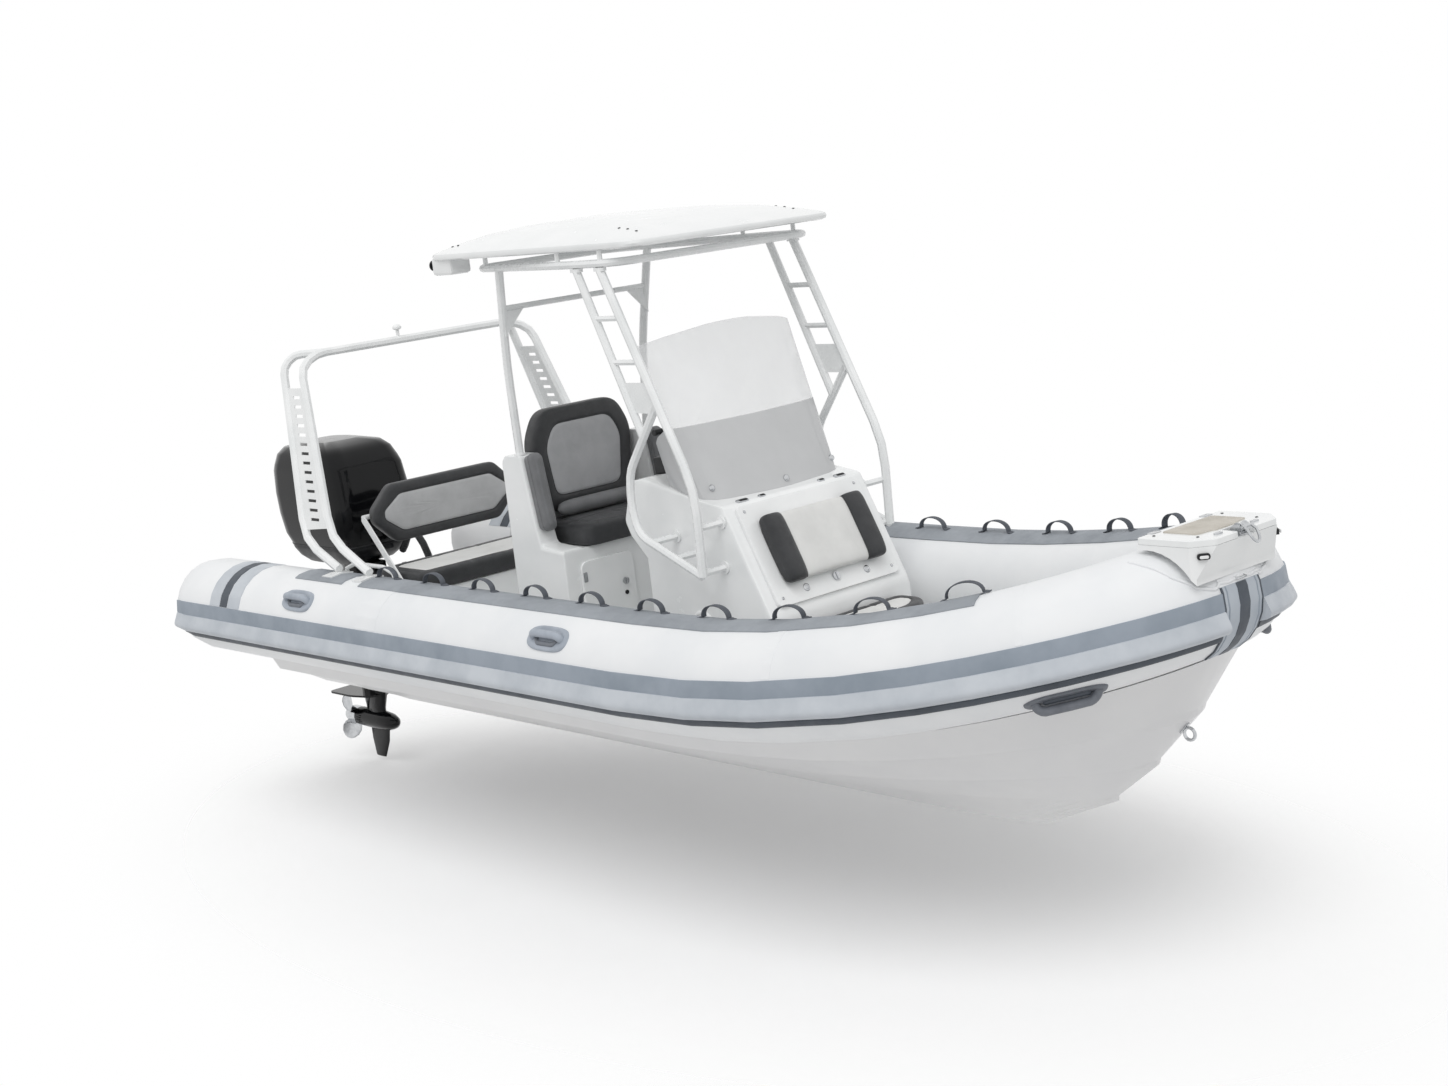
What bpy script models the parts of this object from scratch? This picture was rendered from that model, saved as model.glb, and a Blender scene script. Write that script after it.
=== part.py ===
"""Rigid inflatable boat with console, hardtop, roll bar and outboard motor.

Metres. +X points to the bow, +Y to port, +Z up. The origin is on the flat
keel pad, amidships. Every piece is one named object.
"""
import math

import bmesh
import bpy
from mathutils import Matrix, Vector

for old in list(bpy.data.objects):
    bpy.data.objects.remove(old, do_unlink=True)

# Clearances and tolerances
SEAT_GAP = 0.0003
OVERRUN = 0.05
SINK = 0.003
MERGE_DISTANCE = 0.00001

# Edges and facets shared by every piece
SMOOTH_DEGREES = 35
EDGE_DEGREES = 35
LID_EDGE_DEGREES = 60
ROUND_SIDES = 16
BEND_REACH_SHARE = 0.45
MITRE_FLOOR_SHARE = 0.3

# Hull, lengths along the boat
TRANSOM_X = -2.75
TRANSOM_THICKNESS = 0.06
MIDDLE_X = -1.2
STEP_RUN = 0.01
DECK_Z = 0.45
DECK_THICKNESS = 0.025
FOREDECK_X = 1.75
FOREDECK_Z = 0.70
FOREDECK_THICKNESS = 0.04
AFT_DECK_X = -2.25
AFT_DECK_Z = 0.66
TRANSOM_TOP_Z = 0.70
FLANGE_WIDTH = 0.018
KEEL_HALF_WIDTH = 0.03
KEEL_SHARE = 0.6
LOW_RAIL_SHARE = 1.5
HIGH_RAIL_SHARE = 1.4
CHINE_SHARE = 1.25

# Inflated collar
COLLAR_HALF_BREADTH = 0.97
TUBE_RADIUS = 0.265
TUBE_BOW_RADIUS = 0.245
COLLAR_Z = 0.79
BOW_RISE = 0.30
BOW_START_X = 0.85
BOW_RUN = 2.22
BOW_TIP_X = BOW_START_X + BOW_RUN
STERN_RUN = 0.53
STERN_TIP_X = TRANSOM_X - STERN_RUN
STERN_CAP_LENGTH = 0.22
STERN_CAP_SHARES = ((0.0, 0.50), (0.12, 0.76), (0.42, 0.93), (1.0, 1.0))
BOW_TURN_DEGREES = (9, 18, 30, 40, 48, 55, 61, 67, 72, 77, 81.5, 86, 90)
BOW_FULLNESS = 2.35
SHEER_POWER = 2.1
SEAM_TURN_DEGREES = 55
STRAKE_END_TURN_DEGREES = 86
FACET_DEGREES = 15
STRAKE_LOW_DEGREES = -30
STRAKE_HIGH_DEGREES = 15
WRAP_LOW_DEGREES = -60
WRAP_HIGH_DEGREES = 105
STRIP_OUTER_DEGREES = 75
STRIP_INNER_DEGREES = 120
SIDE_HANDLE_DEGREES = 30
STEM_HANDLE_DEGREES = -60

# Hull lines: stem end (x, z), aft half breadth and height, fineness
STEM_FOOT_X = 2.23
STEM_FOOT_Z = 0.02
LOWER_RAIL_STEM_X = 2.62
LOWER_RAIL_STEM_Z = 0.19
UPPER_RAIL_STEM_X = 2.83
UPPER_RAIL_STEM_Z = 0.37
CHINE_STEM_REACH = 0.19
CHINE_STEM_X = UPPER_RAIL_STEM_X + CHINE_STEM_REACH
CHINE_STEM_Z = 0.60
LOWER_RAIL_Y = 0.30
LOWER_RAIL_Z = 0.130
UPPER_RAIL_Y = 0.57
UPPER_RAIL_Z = 0.255
CHINE_Y = 0.86
CHINE_Z = 0.40
RAIL_WIDTH = 0.035
CHINE_WIDTH = 0.05
CHINE_RISE_X = 0.2
CRADLE_GAP = 0.004
CRADLE_START_DEGREES = -100
CRADLE_END_DEGREES = -150
CRADLE_BOW_DEGREES = 24
CRADLE_POWER = 6
CRADLE_STEPS = 4
RISE_POWER = 2.2
RAIL_LIFT_SHARE = 0.3

# Rub strake, bow wrap, grip strips and handles
STRAKE_NOSE = 0.045
STRAKE_OUTER_SHARES = (
    (-30, 0.13),
    (-24, 0.13),
    (-21, 0.36),
    (-17, 0.93),
    (-13, 1.0),
    (-3, 0.26),
    (0, 0.14),
    (15, 0.13),
)
WRAP_THICKNESS = 0.005
STRIP_START_X = -1.41
STRIP_END_TURN_DEGREES = 48
STRIP_THICKNESS = 0.006
LOOP_PITCH = 0.43
LOOP_FIRST_X = -1.32
LOOP_LENGTH = 0.16
LOOP_HEIGHT = 0.055
LOOP_WIDTH = 0.030
LOOP_THICKNESS = 0.005
LOOP_STEPS = 4
CARRY_HANDLE_X = (-1.85, 0.36)
CARRY_HANDLE_LENGTH = 0.30
BOW_HANDLE_TURN_DEGREES = (55, 67)
HANDLE_PLATE = 0.008
HANDLE_REACH = 0.032
HANDLE_GRIP_RADIUS = 0.011
HANDLE_SPAN_SHARE = 0.62
HANDLE_RISE_SHARE = 1.6
HANDLE_STEPS = 6

# Bow locker, lid, roller and lights
LOCKER_CORNER_DEGREES = 45
LOCKER_SETBACK = 0.035
LID_EDGE_SHARE = 1 / 6
LOCKER_AFT_X = BOW_TIP_X - LOCKER_SETBACK
LOCKER_LENGTH = 0.315
LOCKER_WIDTH = 0.55
LOCKER_TOP_Z = 1.36
LOCKER_BOTTOM_Z = 1.236
LOCKER_FRONT_SLOPE = 0.06
LOCKER_WALL = 0.010
LOCKER_BLOCK = 0.09
LOCKER_CHAMFER = 0.075
LOCKER_EDGE = 0.012
LID_THICKNESS = 0.026
LID_NOTCH_WIDTH = 0.11
LID_NOTCH_DEPTH = 0.085
ROLLER_RADIUS = 0.022
ROLLER_WAIST_RADIUS = 0.015
ROLLER_LENGTH = 0.046
ROLLER_BORE_RADIUS = 0.0065
ROLLER_PIN_RADIUS = 0.006
ROLLER_REACH = 0.29
ROLLER_X = LOCKER_AFT_X + ROLLER_REACH
BRACKET_PLATE = 0.005
BRACKET_LENGTH = 0.065
BRACKET_HEIGHT = 0.045
NAV_LIGHT_WIDTH = 0.050
NAV_LIGHT_HEIGHT = 0.024
NAV_LIGHT_DEPTH = 0.012
BOW_EYE_RADIUS = 0.026
BOW_EYE_WIRE = 0.007
BOW_EYE_PLATE_RADIUS = 0.030
BOW_EYE_PLATE = 0.006
BOW_EYE_SHARE = 0.80
BOW_EYE_POINT = 5

# Console
CONSOLE_AFT_X = 0.11
CONSOLE_LENGTH = 0.99
CONSOLE_HEIGHT = 1.08
CONSOLE_WIDTH = 0.92
CONSOLE_WALL = 0.015
CONSOLE_EDGE = 0.02
CONSOLE_PROFILE_SHARES = (
    (0.138, 0.0),
    (0.138, 0.64),
    (0.03, 0.74),
    (0.0, 0.80),
    (0.074, 0.985),
    (0.212, 1.0),
    (0.556, 0.921),
    (0.737, 0.894),
    (0.986, 0.44),
    (1.0, 0.40),
    (1.0, 0.0),
)
CONSOLE_DASH_POINT = 3
CONSOLE_SCREEN_POINT = 6
CONSOLE_FRONT_POINT = 7
DOOR_WIDTH = 0.80
DOOR_THICKNESS = 0.018
DOOR_TOP_SHARE = 0.04
DOOR_BOTTOM_SHARE = 0.965
DOOR_OVERLAP = 0.045
DOOR_CORNER = 0.03
DOOR_EDGE = 0.005
BACKREST_WIDTH = 0.64
BACKREST_HEIGHT = 0.34
BACKREST_THICKNESS = 0.085
BACKREST_PLACE_SHARE = 0.42
LATCH_RADIUS = 0.022
LATCH_HEIGHT = 0.008
LATCH_HANDLE = 0.010
LATCH_PLACE_SHARE = 0.87
SEAT_FRONT_X = 1.37
SEAT_BASE_Z = 0.795
SEAT_WIDTH = 0.72
SEAT_CUSHION = 0.085
SEAT_CHAMFER = 0.12

# Windscreens
SCREEN_THICKNESS = 0.006
SCREEN_WING_DROP = 0.10
SCREEN_BASE_X = 0.79
SCREEN_TOP_Z = 1.80
SCREEN_HALF_WIDTH = 0.443
SCREEN_RAKE = 0.165
SCREEN_BOW = 0.05
SCREEN_WING = 0.33
SCREEN_CORNER = 0.12
UPPER_SCREEN_RAKE = 0.11
UPPER_SCREEN_CROWN = 0.06
UPPER_SCREEN_BOW = 0.04

# Helm controls
WHEEL_RADIUS = 0.175
WHEEL_RIM_RADIUS = 0.014
WHEEL_HUB_RADIUS = 0.032
WHEEL_HUB_LENGTH = 0.03
WHEEL_SHAFT_RADIUS = 0.014
WHEEL_SPOKE_WIDTH = 0.022
WHEEL_SPOKE_THICKNESS = 0.009
WHEEL_SPOKE_COUNT = 3
WHEEL_STANDOFF = 0.13
WHEEL_Y = 0.13
WHEEL_PLACE_SHARE = 0.45
BINNACLE_LENGTH = 0.10
BINNACLE_WIDTH = 0.075
BINNACLE_HEIGHT = 0.085
BINNACLE_X = 0.255
BINNACLE_Y = -0.27
LEVER_LENGTH = 0.15
LEVER_WIDTH = 0.020
LEVER_THICKNESS = 0.012
LEVER_GRIP_RADIUS = 0.015
LEVER_GRIP_LENGTH = 0.085

# Hardtop and its legs
FRAME_Y = 0.62
FRAME_TUBE_RADIUS = 0.0215
RUNG_RADIUS = 0.014
RUNG_SHARES = (0.30, 0.56)
GUSSET_SHARES = (0.68, 0.86)
GUSSET_THICKNESS = 0.006
BEND_RADIUS = 0.12
FRONT_LEG_TOP_X = 0.37
REAR_LEG_TOP_X = 0.195
FRONT_LEG_BEND_X = 0.85
FRONT_LEG_BEND_Z = 1.55
FRONT_LEG_FOOT_X = 0.84
FRONT_LEG_FOOT_Z = 1.15
LOOP_TOP_X = 0.665
LOOP_TOP_Z = 1.95
LOOP_JOINT_X = 0.535
LOOP_JOINT_Z = 1.79
GRAB_UPPER_X = 0.405
GRAB_UPPER_Z = 1.62
GRAB_AFT_X = 0.385
GRAB_AFT_Z = 1.46
GRAB_LOWER_X = 0.42
GRAB_LOWER_Z = 1.32
STANDOFF_RADIUS = 0.016
FLANGE_RADIUS = 0.030
FLANGE_THICKNESS = 0.008
LEG_PAD_THICKNESS = 0.016
AFT_LEG_Y = 0.45
AFT_LEG_TOP_X = -0.60
AFT_LEG_BEND_X = -0.69
AFT_LEG_FOOT_X = -0.715
AFT_LEG_FOOT_Y = 0.425
AFT_GUSSET = 0.14
RING_Z = 2.595
AFT_LEG_BEND_DROP = 0.495
AFT_LEG_BEND_Z = RING_Z - AFT_LEG_BEND_DROP
AFT_LEG_BAR_DROP = 0.205
AFT_LEG_BAR_Z = RING_Z - AFT_LEG_BAR_DROP
UPPER_SCREEN_LEVEL_SHARE = 0.49056604
UPPER_SCREEN_Z = SCREEN_TOP_Z + (RING_Z - SCREEN_TOP_Z) * UPPER_SCREEN_LEVEL_SHARE
RING_TUBE_RADIUS = 0.019
RING_FRONT_X = 0.50
RING_AFT_X = -0.86
RING_AFT_HALF = 0.44
STUB_RADIUS = 0.012
ROOF_LIFT = 0.06
ROOF_Z = RING_Z + ROOF_LIFT
ROOF_THICKNESS = 0.034
ROOF_CROWN = 0.105
ROOF_FRONT_X = 0.64
ROOF_AFT_X = -1.10
ROOF_FRONT_HALF = 0.66
ROOF_AFT_HALF = 0.57
ROOF_CORNER = 0.10
ROOF_POD_DROP = 0.075
ROOF_POD_LENGTH = 0.17
ROOF_POD_WIDTH = 0.13

# Helm seat pod
POD_AFT_X = -0.86
POD_LENGTH = 0.45
POD_HEIGHT = 1.16
POD_WIDTH = 0.92
POD_WALL = 0.020
POD_EDGE = 0.02
POD_PROFILE_SHARES = (
    (0.0, 0.0),
    (0.03, 0.975),
    (0.10, 1.0),
    (0.42, 1.0),
    (0.56, 0.66),
    (0.60, 0.60),
    (1.0, 0.585),
    (1.0, 0.0),
)
POD_SHOULDER_POINTS = (3, 4)
POD_LEDGE_POINT = 6
POCKET_WIDTH = 0.70
HELM_SEAT_LENGTH = 0.42
HELM_SEAT_WIDTH = 0.62
HELM_SEAT_THICKNESS = 0.125
HELM_SEAT_FRONT_X = -0.37
HELM_BACK_WIDTH = 0.68
HELM_BACK_HEIGHT = 0.54
HELM_BACK_THICKNESS = 0.105
HELM_BACK_LIFT = 0.025
BOLSTER_WIDTH = 0.085
BOLSTER_THICKNESS = 0.075
HELM_DOOR_WIDTH = 0.34
HELM_DOOR_HEIGHT = 0.50
HELM_DOOR_THICKNESS = 0.016
HELM_DOOR_BOTTOM_Z = 0.58
HELM_DOOR_HINGE_Y = -0.37
HELM_DOOR_CORNER = 0.05
HELM_DOOR_OVERLAP = 0.02
HELM_LOCK_RADIUS = 0.018
HELM_LOCK_HEIGHT = 0.010
HELM_LOCK_INSET = 0.07
HELM_LOCK_Z = 0.93

# Aft bench
BENCH_FRONT_X = -1.68
BENCH_LENGTH = 0.44
BENCH_INSET = 0.47
BENCH_HALF_WIDTH = COLLAR_HALF_BREADTH - BENCH_INSET
BENCH_TOP_Z = 0.855
BENCH_WALL = 0.018
BENCH_EDGE = 0.015
BENCH_CUSHION = 0.115
BENCH_BACK_X = -2.15
BENCH_BACK_Z = 1.085
BENCH_BACK_HEIGHT = 0.335
BENCH_BACK_INSET = 0.01
BENCH_BACK_HALF_WIDTH = BENCH_HALF_WIDTH - BENCH_BACK_INSET
BENCH_BACK_THICKNESS = 0.085
BENCH_BACK_CHAMFER = 0.13
BENCH_PIVOT_X = -1.74
BENCH_PIVOT_Z = 0.78
BENCH_PIVOT_RADIUS = 0.016
BENCH_ARM_WIDTH = 0.040
BENCH_ARM_THICKNESS = 0.010
BENCH_BAR_RADIUS = 0.014
RAIL_TUBE_RADIUS = 0.0125
RAIL_AFT_X = -2.33
RAIL_FRONT_X = -1.78
RAIL_Z = 1.0
RAIL_INSET = 0.385
RAIL_Y = COLLAR_HALF_BREADTH - RAIL_INSET

# Roll bar arch and its light
ARCH_TUBE_RADIUS = 0.024
ARCH_FOOT_DEGREES = (75, 105)
ARCH_FOOT_X = -1.46
ARCH_FOOT_INSET = 0.015
ARCH_FOOT_Y = COLLAR_HALF_BREADTH - ARCH_FOOT_INSET
ARCH_KNEE_X = -1.82
ARCH_KNEE_INSET = 0.03
ARCH_KNEE_Y = COLLAR_HALF_BREADTH - ARCH_KNEE_INSET
ARCH_KNEE_Z = 1.24
ARCH_SHOULDER_X = -2.13
ARCH_SHOULDER_INSET = 0.185
ARCH_SHOULDER_Y = COLLAR_HALF_BREADTH - ARCH_SHOULDER_INSET
ARCH_BAR_Z = 2.205
ARCH_BAR_X = -2.16
ARCH_AFT_FOOT_OFFSET = 0.30
ARCH_AFT_KNEE_OFFSET = 0.275
ARCH_AFT_TOP_OFFSET = 0.19
ARCH_MERGE_INSET = 0.37
ARCH_MERGE_Y = COLLAR_HALF_BREADTH - ARCH_MERGE_INSET
ARCH_BEND = 0.12
ARCH_PLATE_THICKNESS = 0.006
ARCH_PLATE_SHARES = (0.06, 0.88)
ARCH_SLOT_COUNT = 14
ARCH_SLOT_HEIGHT = 0.017
ARCH_SLOT_WIDTH_SHARE = 0.34
ARCH_FLANGE_RADIUS = 0.045
ARCH_FLANGE_THICKNESS = 0.012
LIGHT_Y = -0.12
LIGHT_STEM_RADIUS = 0.010
LIGHT_STEM_HEIGHT = 0.035
LIGHT_HEAD_RADIUS = 0.026
LIGHT_HEAD_HEIGHT = 0.030

# Outboard motor
TILT_X = -2.835
TILT_Z = 0.765
TILT_TUBE_RADIUS = 0.018
TILT_LENGTH = 0.36
CLAMP_HALF_WIDTH = 0.155
CLAMP_PLATE = 0.028
CLAMP_BOTTOM_Z = 0.30
CLAMP_DEPTH = 0.125
CLAMP_LIP = 0.045
SWIVEL_X = -2.955
SWIVEL_TUBE_RADIUS = 0.042
SWIVEL_BORE_RADIUS = 0.024
SWIVEL_TOP_Z = 0.800
SWIVEL_BOTTOM_Z = 0.36
SWIVEL_HALF_WIDTH = 0.115
SWIVEL_WALL = 0.020
KINGPIN_RADIUS = 0.0215
YOKE_WIDTH = 0.10
YOKE_THICKNESS = 0.035
LEG_SETBACK = 0.27
LEG_FRONT_X = TRANSOM_X - LEG_SETBACK
LEG_CHORD = 0.32
LEG_THICKNESS = 0.12
LEG_TOP_Z = 0.84
CAVITATION_Z = -0.02
CAVITATION_THICKNESS = 0.012
CAVITATION_LENGTH = 0.50
CAVITATION_WIDTH = 0.25
TORPEDO_Z = -0.19
TORPEDO_RADIUS = 0.062
TORPEDO_LENGTH = 0.42
TORPEDO_FRONT_X = -2.96
SKEG_DEPTH = 0.18
SKEG_CHORD = 0.22
SKEG_THICKNESS = 0.016
PROP_RADIUS = 0.157
PROP_HUB_RADIUS = 0.058
PROP_HUB_LENGTH = 0.12
PROP_BLADES = 3
PROP_BLADE_THICKNESS = 0.009
PROP_PITCH = 0.43
PAN_TOP_Z = 0.96
PAN_HEIGHT = 0.12
COWL_OVERHANG = 0.89
COWL_AFT_X = TRANSOM_X - COWL_OVERHANG
COWL_LENGTH = 0.85
COWL_WIDTH = 0.56
COWL_HEIGHT = 0.63
COWL_WALL = 0.009
COWL_CORNER = 0.07
COWL_LEAN = 0.16
ENGINE_LENGTH = 0.44
ENGINE_WIDTH = 0.28
ENGINE_HEIGHT = 0.44
HOSE_RADIUS = 0.022
HOSE_DECK_X = -2.42
HOSE_DECK_Y = 0.06
HOSE_END_Y = 0.10
HOSE_END_GAP = 0.006
HOSE_RISE = 0.26

# Share tables of the moulded and turned forms: (size share, height share)
COWL_SHARES = (
    (0.86, 0.0),
    (0.94, 0.12),
    (0.985, 0.32),
    (1.0, 0.52),
    (0.985, 0.74),
    (0.96, 0.80),
    (0.90, 0.90),
    (0.79, 0.965),
    (0.50, 1.0),
)
CUSHION_SHARES = (
    (0.93, 0.0),
    (0.985, 0.10),
    (1.0, 0.40),
    (0.965, 0.82),
    (0.80, 0.915),
    (0.775, 0.87),
    (0.745, 0.93),
    (0.45, 0.985),
    (0.15, 1.0),
)
BACKREST_SHARES = (
    (-1.0, 0.55, 0.88),
    (-0.985, 0.80, 0.96),
    (-0.93, 1.0, 1.0),
    (-0.74, 1.0, 1.0),
    (-0.66, 0.88, 0.985),
    (-0.64, 0.66, 0.97),
    (-0.61, 0.74, 0.97),
    (-0.3, 0.79, 0.97),
    (0.0, 0.80, 0.97),
    (0.3, 0.79, 0.97),
    (0.61, 0.74, 0.97),
    (0.64, 0.66, 0.97),
    (0.66, 0.88, 0.985),
    (0.74, 1.0, 1.0),
    (0.93, 1.0, 1.0),
    (0.985, 0.80, 0.96),
    (1.0, 0.55, 0.88),
)
TORPEDO_SHARES = (
    (0.0, 0.0),
    (0.30, 0.02),
    (0.62, 0.08),
    (0.88, 0.20),
    (1.0, 0.40),
    (1.0, 0.75),
    (0.94, 1.0),
    (0.0, 1.0),
)
BLADE_SHARES = (
    (0.28, 0.62, 1.0),
    (0.45, 0.90, 0.85),
    (0.65, 1.0, 0.65),
    (0.83, 0.85, 0.45),
    (0.95, 0.52, 0.30),
    (1.0, 0.18, 0.18),
)
BLADE_CHORD_SHARE = 0.80

# Shares that small forms take of the sizes that carry them
PAD_SECTION_SHARES = (
    (-0.47, 0.0),
    (-0.5, 0.14),
    (-0.5, 0.58),
    (-0.485, 0.80),
    (-0.44, 0.94),
    (-0.34, 0.99),
    (0.0, 1.0),
    (0.34, 0.99),
    (0.44, 0.94),
    (0.485, 0.80),
    (0.5, 0.58),
    (0.5, 0.14),
    (0.47, 0.0),
)
ROOF_SHARES = (
    (0.975, 0.0),
    (0.995, 0.05),
    (1.0, 0.14),
    (0.995, 0.23),
    (0.975, 0.29),
    (0.86, 0.50),
    (0.68, 0.76),
    (0.44, 0.93),
    (0.18, 1.0),
)
PLAIN_PAD_SHARES = (
    (0.92, 0.0),
    (0.99, 0.12),
    (1.0, 0.40),
    (0.98, 0.70),
    (0.90, 0.90),
    (0.60, 0.99),
    (0.20, 1.0),
)
HELM_BACK_OUTLINE_SHARES = (
    (-0.86, 0.0),
    (-0.95, 0.44),
    (-1.0, 0.70),
    (-0.74, 1.0),
    (0.74, 1.0),
    (1.0, 0.70),
    (0.95, 0.44),
    (0.86, 0.0),
)
LATCH_BAR_LENGTH_SHARE = 1.7
LATCH_BAR_WIDTH_SHARE = 0.4
SCREEN_FLARE_SHARE = 0.08
UPPER_SCREEN_FLARE_SHARE = 0.06
GRAB_SHARE = 0.92
WHEEL_HUB_NOSE_SHARE = 0.7
LEVER_PIVOT_SHARE = 0.6
LIGHT_CROWN_SHARE = 0.6
LIGHT_FOOT_SHARE = 0.7
LIGHT_LEVEL_SHARES = (0.92, 0.55, 0.2)
LEG_NOSE_SHARE = 1 / 8
CAVITATION_EDGE_SHARE = 1 / 8
BLADE_SHOULDER_SHARE = 0.6
PROP_CONE_START_SHARE = 0.7
PROP_CONE_SHARE = 0.8
COWL_LEAN_FULLNESS_SHARE = 1.5
FLYWHEEL_SHARE = 0.4
FLYWHEEL_SHIFT_SHARE = 1 / 8
HEAD_SHARES = (0.2, 1.15, 0.7)
STANDOFF_SHARES = (0.19, 0.57, 0.95)
STANDOFF_RISE_SHARE = 0.55
AFT_GUSSET_LEVEL_SHARE = 0.56
ROOF_POD_SHARE = 0.60
POD_BACK_SHARE = 0.09
ARCH_FOOT_SHARE = 0.6
BAR_TOP_SHARE = 0.956

# Counts of steps round curves
ARC_STEPS = 8
EYE_STEPS = 14
RIM_STEPS = 16
SCREEN_STEPS = 2
FLANGE_SIDES = 12
UPPER_SCREEN_STEPS = 2

# Shares of the outboard's forms
FOIL_SHARES = (
    (0.0, 0.0),
    (0.05, 0.45),
    (0.18, 0.86),
    (0.38, 1.0),
    (0.70, 0.78),
    (0.95, 0.25),
    (1.0, 0.0),
)
LEG_SHARES = (
    (0.0, 0.25, 0.62, 0.50),
    (0.08, 0.22, 0.66, 0.52),
    (0.165, 0.14, 0.80, 0.80),
    (0.30, 0.02, 0.92, 1.0),
    (0.60, 0.0, 0.95, 1.15),
    (0.85, 0.0, 1.0, 1.35),
    (1.0, 0.0, 1.05, 1.5),
)
SKEG_SHARES = (
    (0.15, 0.0, 1.0),
    (0.55, 0.12, 0.88),
    (1.0, 0.42, 0.50),
)
PAN_SHARES = (
    (0.62, 0.0),
    (0.74, 0.10),
    (0.90, 0.45),
    (0.985, 0.80),
    (1.0, 0.90),
    (1.0, 1.0),
)
HOSE_SHARES = (
    (0.0, 0.0),
    (0.0, 0.35),
    (0.03, 0.62),
    (0.10, 0.83),
    (0.22, 0.96),
    (0.36, 1.0),
    (0.50, 0.94),
    (0.63, 0.79),
    (0.76, 0.55),
    (0.88, 0.25),
    (1.0, 0.0),
)
COWL_STERN_SHARE = 0.74
COWL_BOW_SHARE = 0.78
COWL_SHOULDER_SHARE = 0.12
COWL_LEAN_SHARE = 0.35
ENGINE_BLOCK_SHARE = 0.8
SWIVEL_WEB_SHARE = 0.72

parts = bpy.data.collections.new("rigid_inflatable_boat")
cutters = bpy.data.collections.new("cutters")
bpy.context.scene.collection.children.link(parts)
bpy.context.scene.collection.children.link(cutters)


def material(name, colour, roughness, metallic=0.0):
    """Return a Principled material."""
    made = bpy.data.materials.new(name)
    made.use_nodes = True
    shader = made.node_tree.nodes["Principled BSDF"]
    shader.inputs["Base Color"].default_value = (*colour, 1.0)
    shader.inputs["Roughness"].default_value = roughness
    shader.inputs["Metallic"].default_value = metallic
    return made


TUBE_WHITE = material("collar_fabric_white", (0.80, 0.81, 0.82), 0.55)
STRAKE_GREY = material("strake_rubber_grey", (0.42, 0.47, 0.52), 0.6)
GRIP_GREY = material("grip_fabric_grey", (0.30, 0.33, 0.37), 0.8)
GELCOAT = material("gelcoat_white", (0.85, 0.86, 0.86), 0.25)
ALLOY_WHITE = material("powder_coated_alloy", (0.88, 0.89, 0.90), 0.35, 0.1)
VINYL_DARK = material("seat_vinyl_dark", (0.05, 0.05, 0.055), 0.6)
VINYL_GREY = material("seat_vinyl_grey", (0.40, 0.41, 0.42), 0.6)
ACRYLIC = material("screen_acrylic", (0.62, 0.65, 0.68), 0.1)
STEEL = material("stainless_steel", (0.62, 0.62, 0.62), 0.25, 1.0)
COWL_BLACK = material("cowl_gloss_black", (0.01, 0.01, 0.012), 0.12)
MOTOR_BLACK = material("motor_paint_black", (0.02, 0.02, 0.022), 0.35)
PLASTIC_BLACK = material("black_plastic", (0.03, 0.03, 0.03), 0.5)
LENS = material("lamp_lens", (0.75, 0.77, 0.78), 0.15)


def add_object(name, mesh, look, collection=None):
    """Link a new object that holds the mesh."""
    made = bpy.data.objects.new(name, mesh)
    mesh.materials.append(look)
    (collection or parts).objects.link(made)
    return made


def mesh_of(name, bm):
    """Write a bmesh to a new mesh with its faces pointing out."""
    bmesh.ops.recalc_face_normals(bm, faces=bm.faces)
    made = bpy.data.meshes.new(name)
    bm.to_mesh(made)
    bm.free()
    made.shade_smooth()
    made.set_sharp_from_angle(angle=math.radians(SMOOTH_DEGREES))
    return made


def add_bevel(target, width, segments=2, angle_degrees=EDGE_DEGREES):
    """Round the edges of a mesh object."""
    made = target.modifiers.new("rounded_edges", "BEVEL")
    made.width = width
    made.segments = segments
    made.limit_method = "ANGLE"
    made.angle_limit = math.radians(angle_degrees)
    return made


def box(name, size, centre, look, edge=0.0, segments=2, collection=None):
    """Make a box from a unit cube, with rounded edges if asked."""
    bm = bmesh.new()
    bmesh.ops.create_cube(bm, size=1.0)
    bmesh.ops.scale(bm, vec=Vector(size), verts=bm.verts)
    made = add_object(name, mesh_of(name, bm), look, collection)
    made.location = Vector(centre)
    if edge:
        add_bevel(made, edge, segments)
    return made


def cylinder(name, radius, length, centre, axis, look, sides=ROUND_SIDES, top_radius=None, collection=None):
    """Make a cylinder or cone about an axis."""
    bm = bmesh.new()
    bmesh.ops.create_cone(
        bm,
        cap_ends=True,
        segments=sides,
        radius1=radius,
        radius2=radius if top_radius is None else top_radius,
        depth=length,
    )
    made = add_object(name, mesh_of(name, bm), look, collection)
    made.location = Vector(centre)
    made.rotation_mode = "QUATERNION"
    made.rotation_quaternion = Vector((0, 0, 1)).rotation_difference(Vector(axis).normalized())
    return made


def turned(name, profile, place, axis, look, steps=ROUND_SIDES, collection=None):
    """Revolve a profile of (radius, height) that runs down its outer side."""
    bm = bmesh.new()
    verts = [bm.verts.new((radius, 0.0, height)) for radius, height in profile]
    for first, second in zip(verts, verts[1:]):
        bm.edges.new((first, second))
    mesh = bpy.data.meshes.new(name)
    bm.to_mesh(mesh)
    bm.free()
    made = add_object(name, mesh, look, collection)
    screw = made.modifiers.new("turned", "SCREW")
    screw.axis = "Z"
    screw.steps = steps
    screw.render_steps = steps
    screw.use_merge_vertices = True
    screw.merge_threshold = MERGE_DISTANCE
    screw.use_smooth_shade = True
    made.location = Vector(place)
    made.rotation_mode = "QUATERNION"
    made.rotation_quaternion = Vector((0, 0, 1)).rotation_difference(Vector(axis).normalized())
    return made


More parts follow.
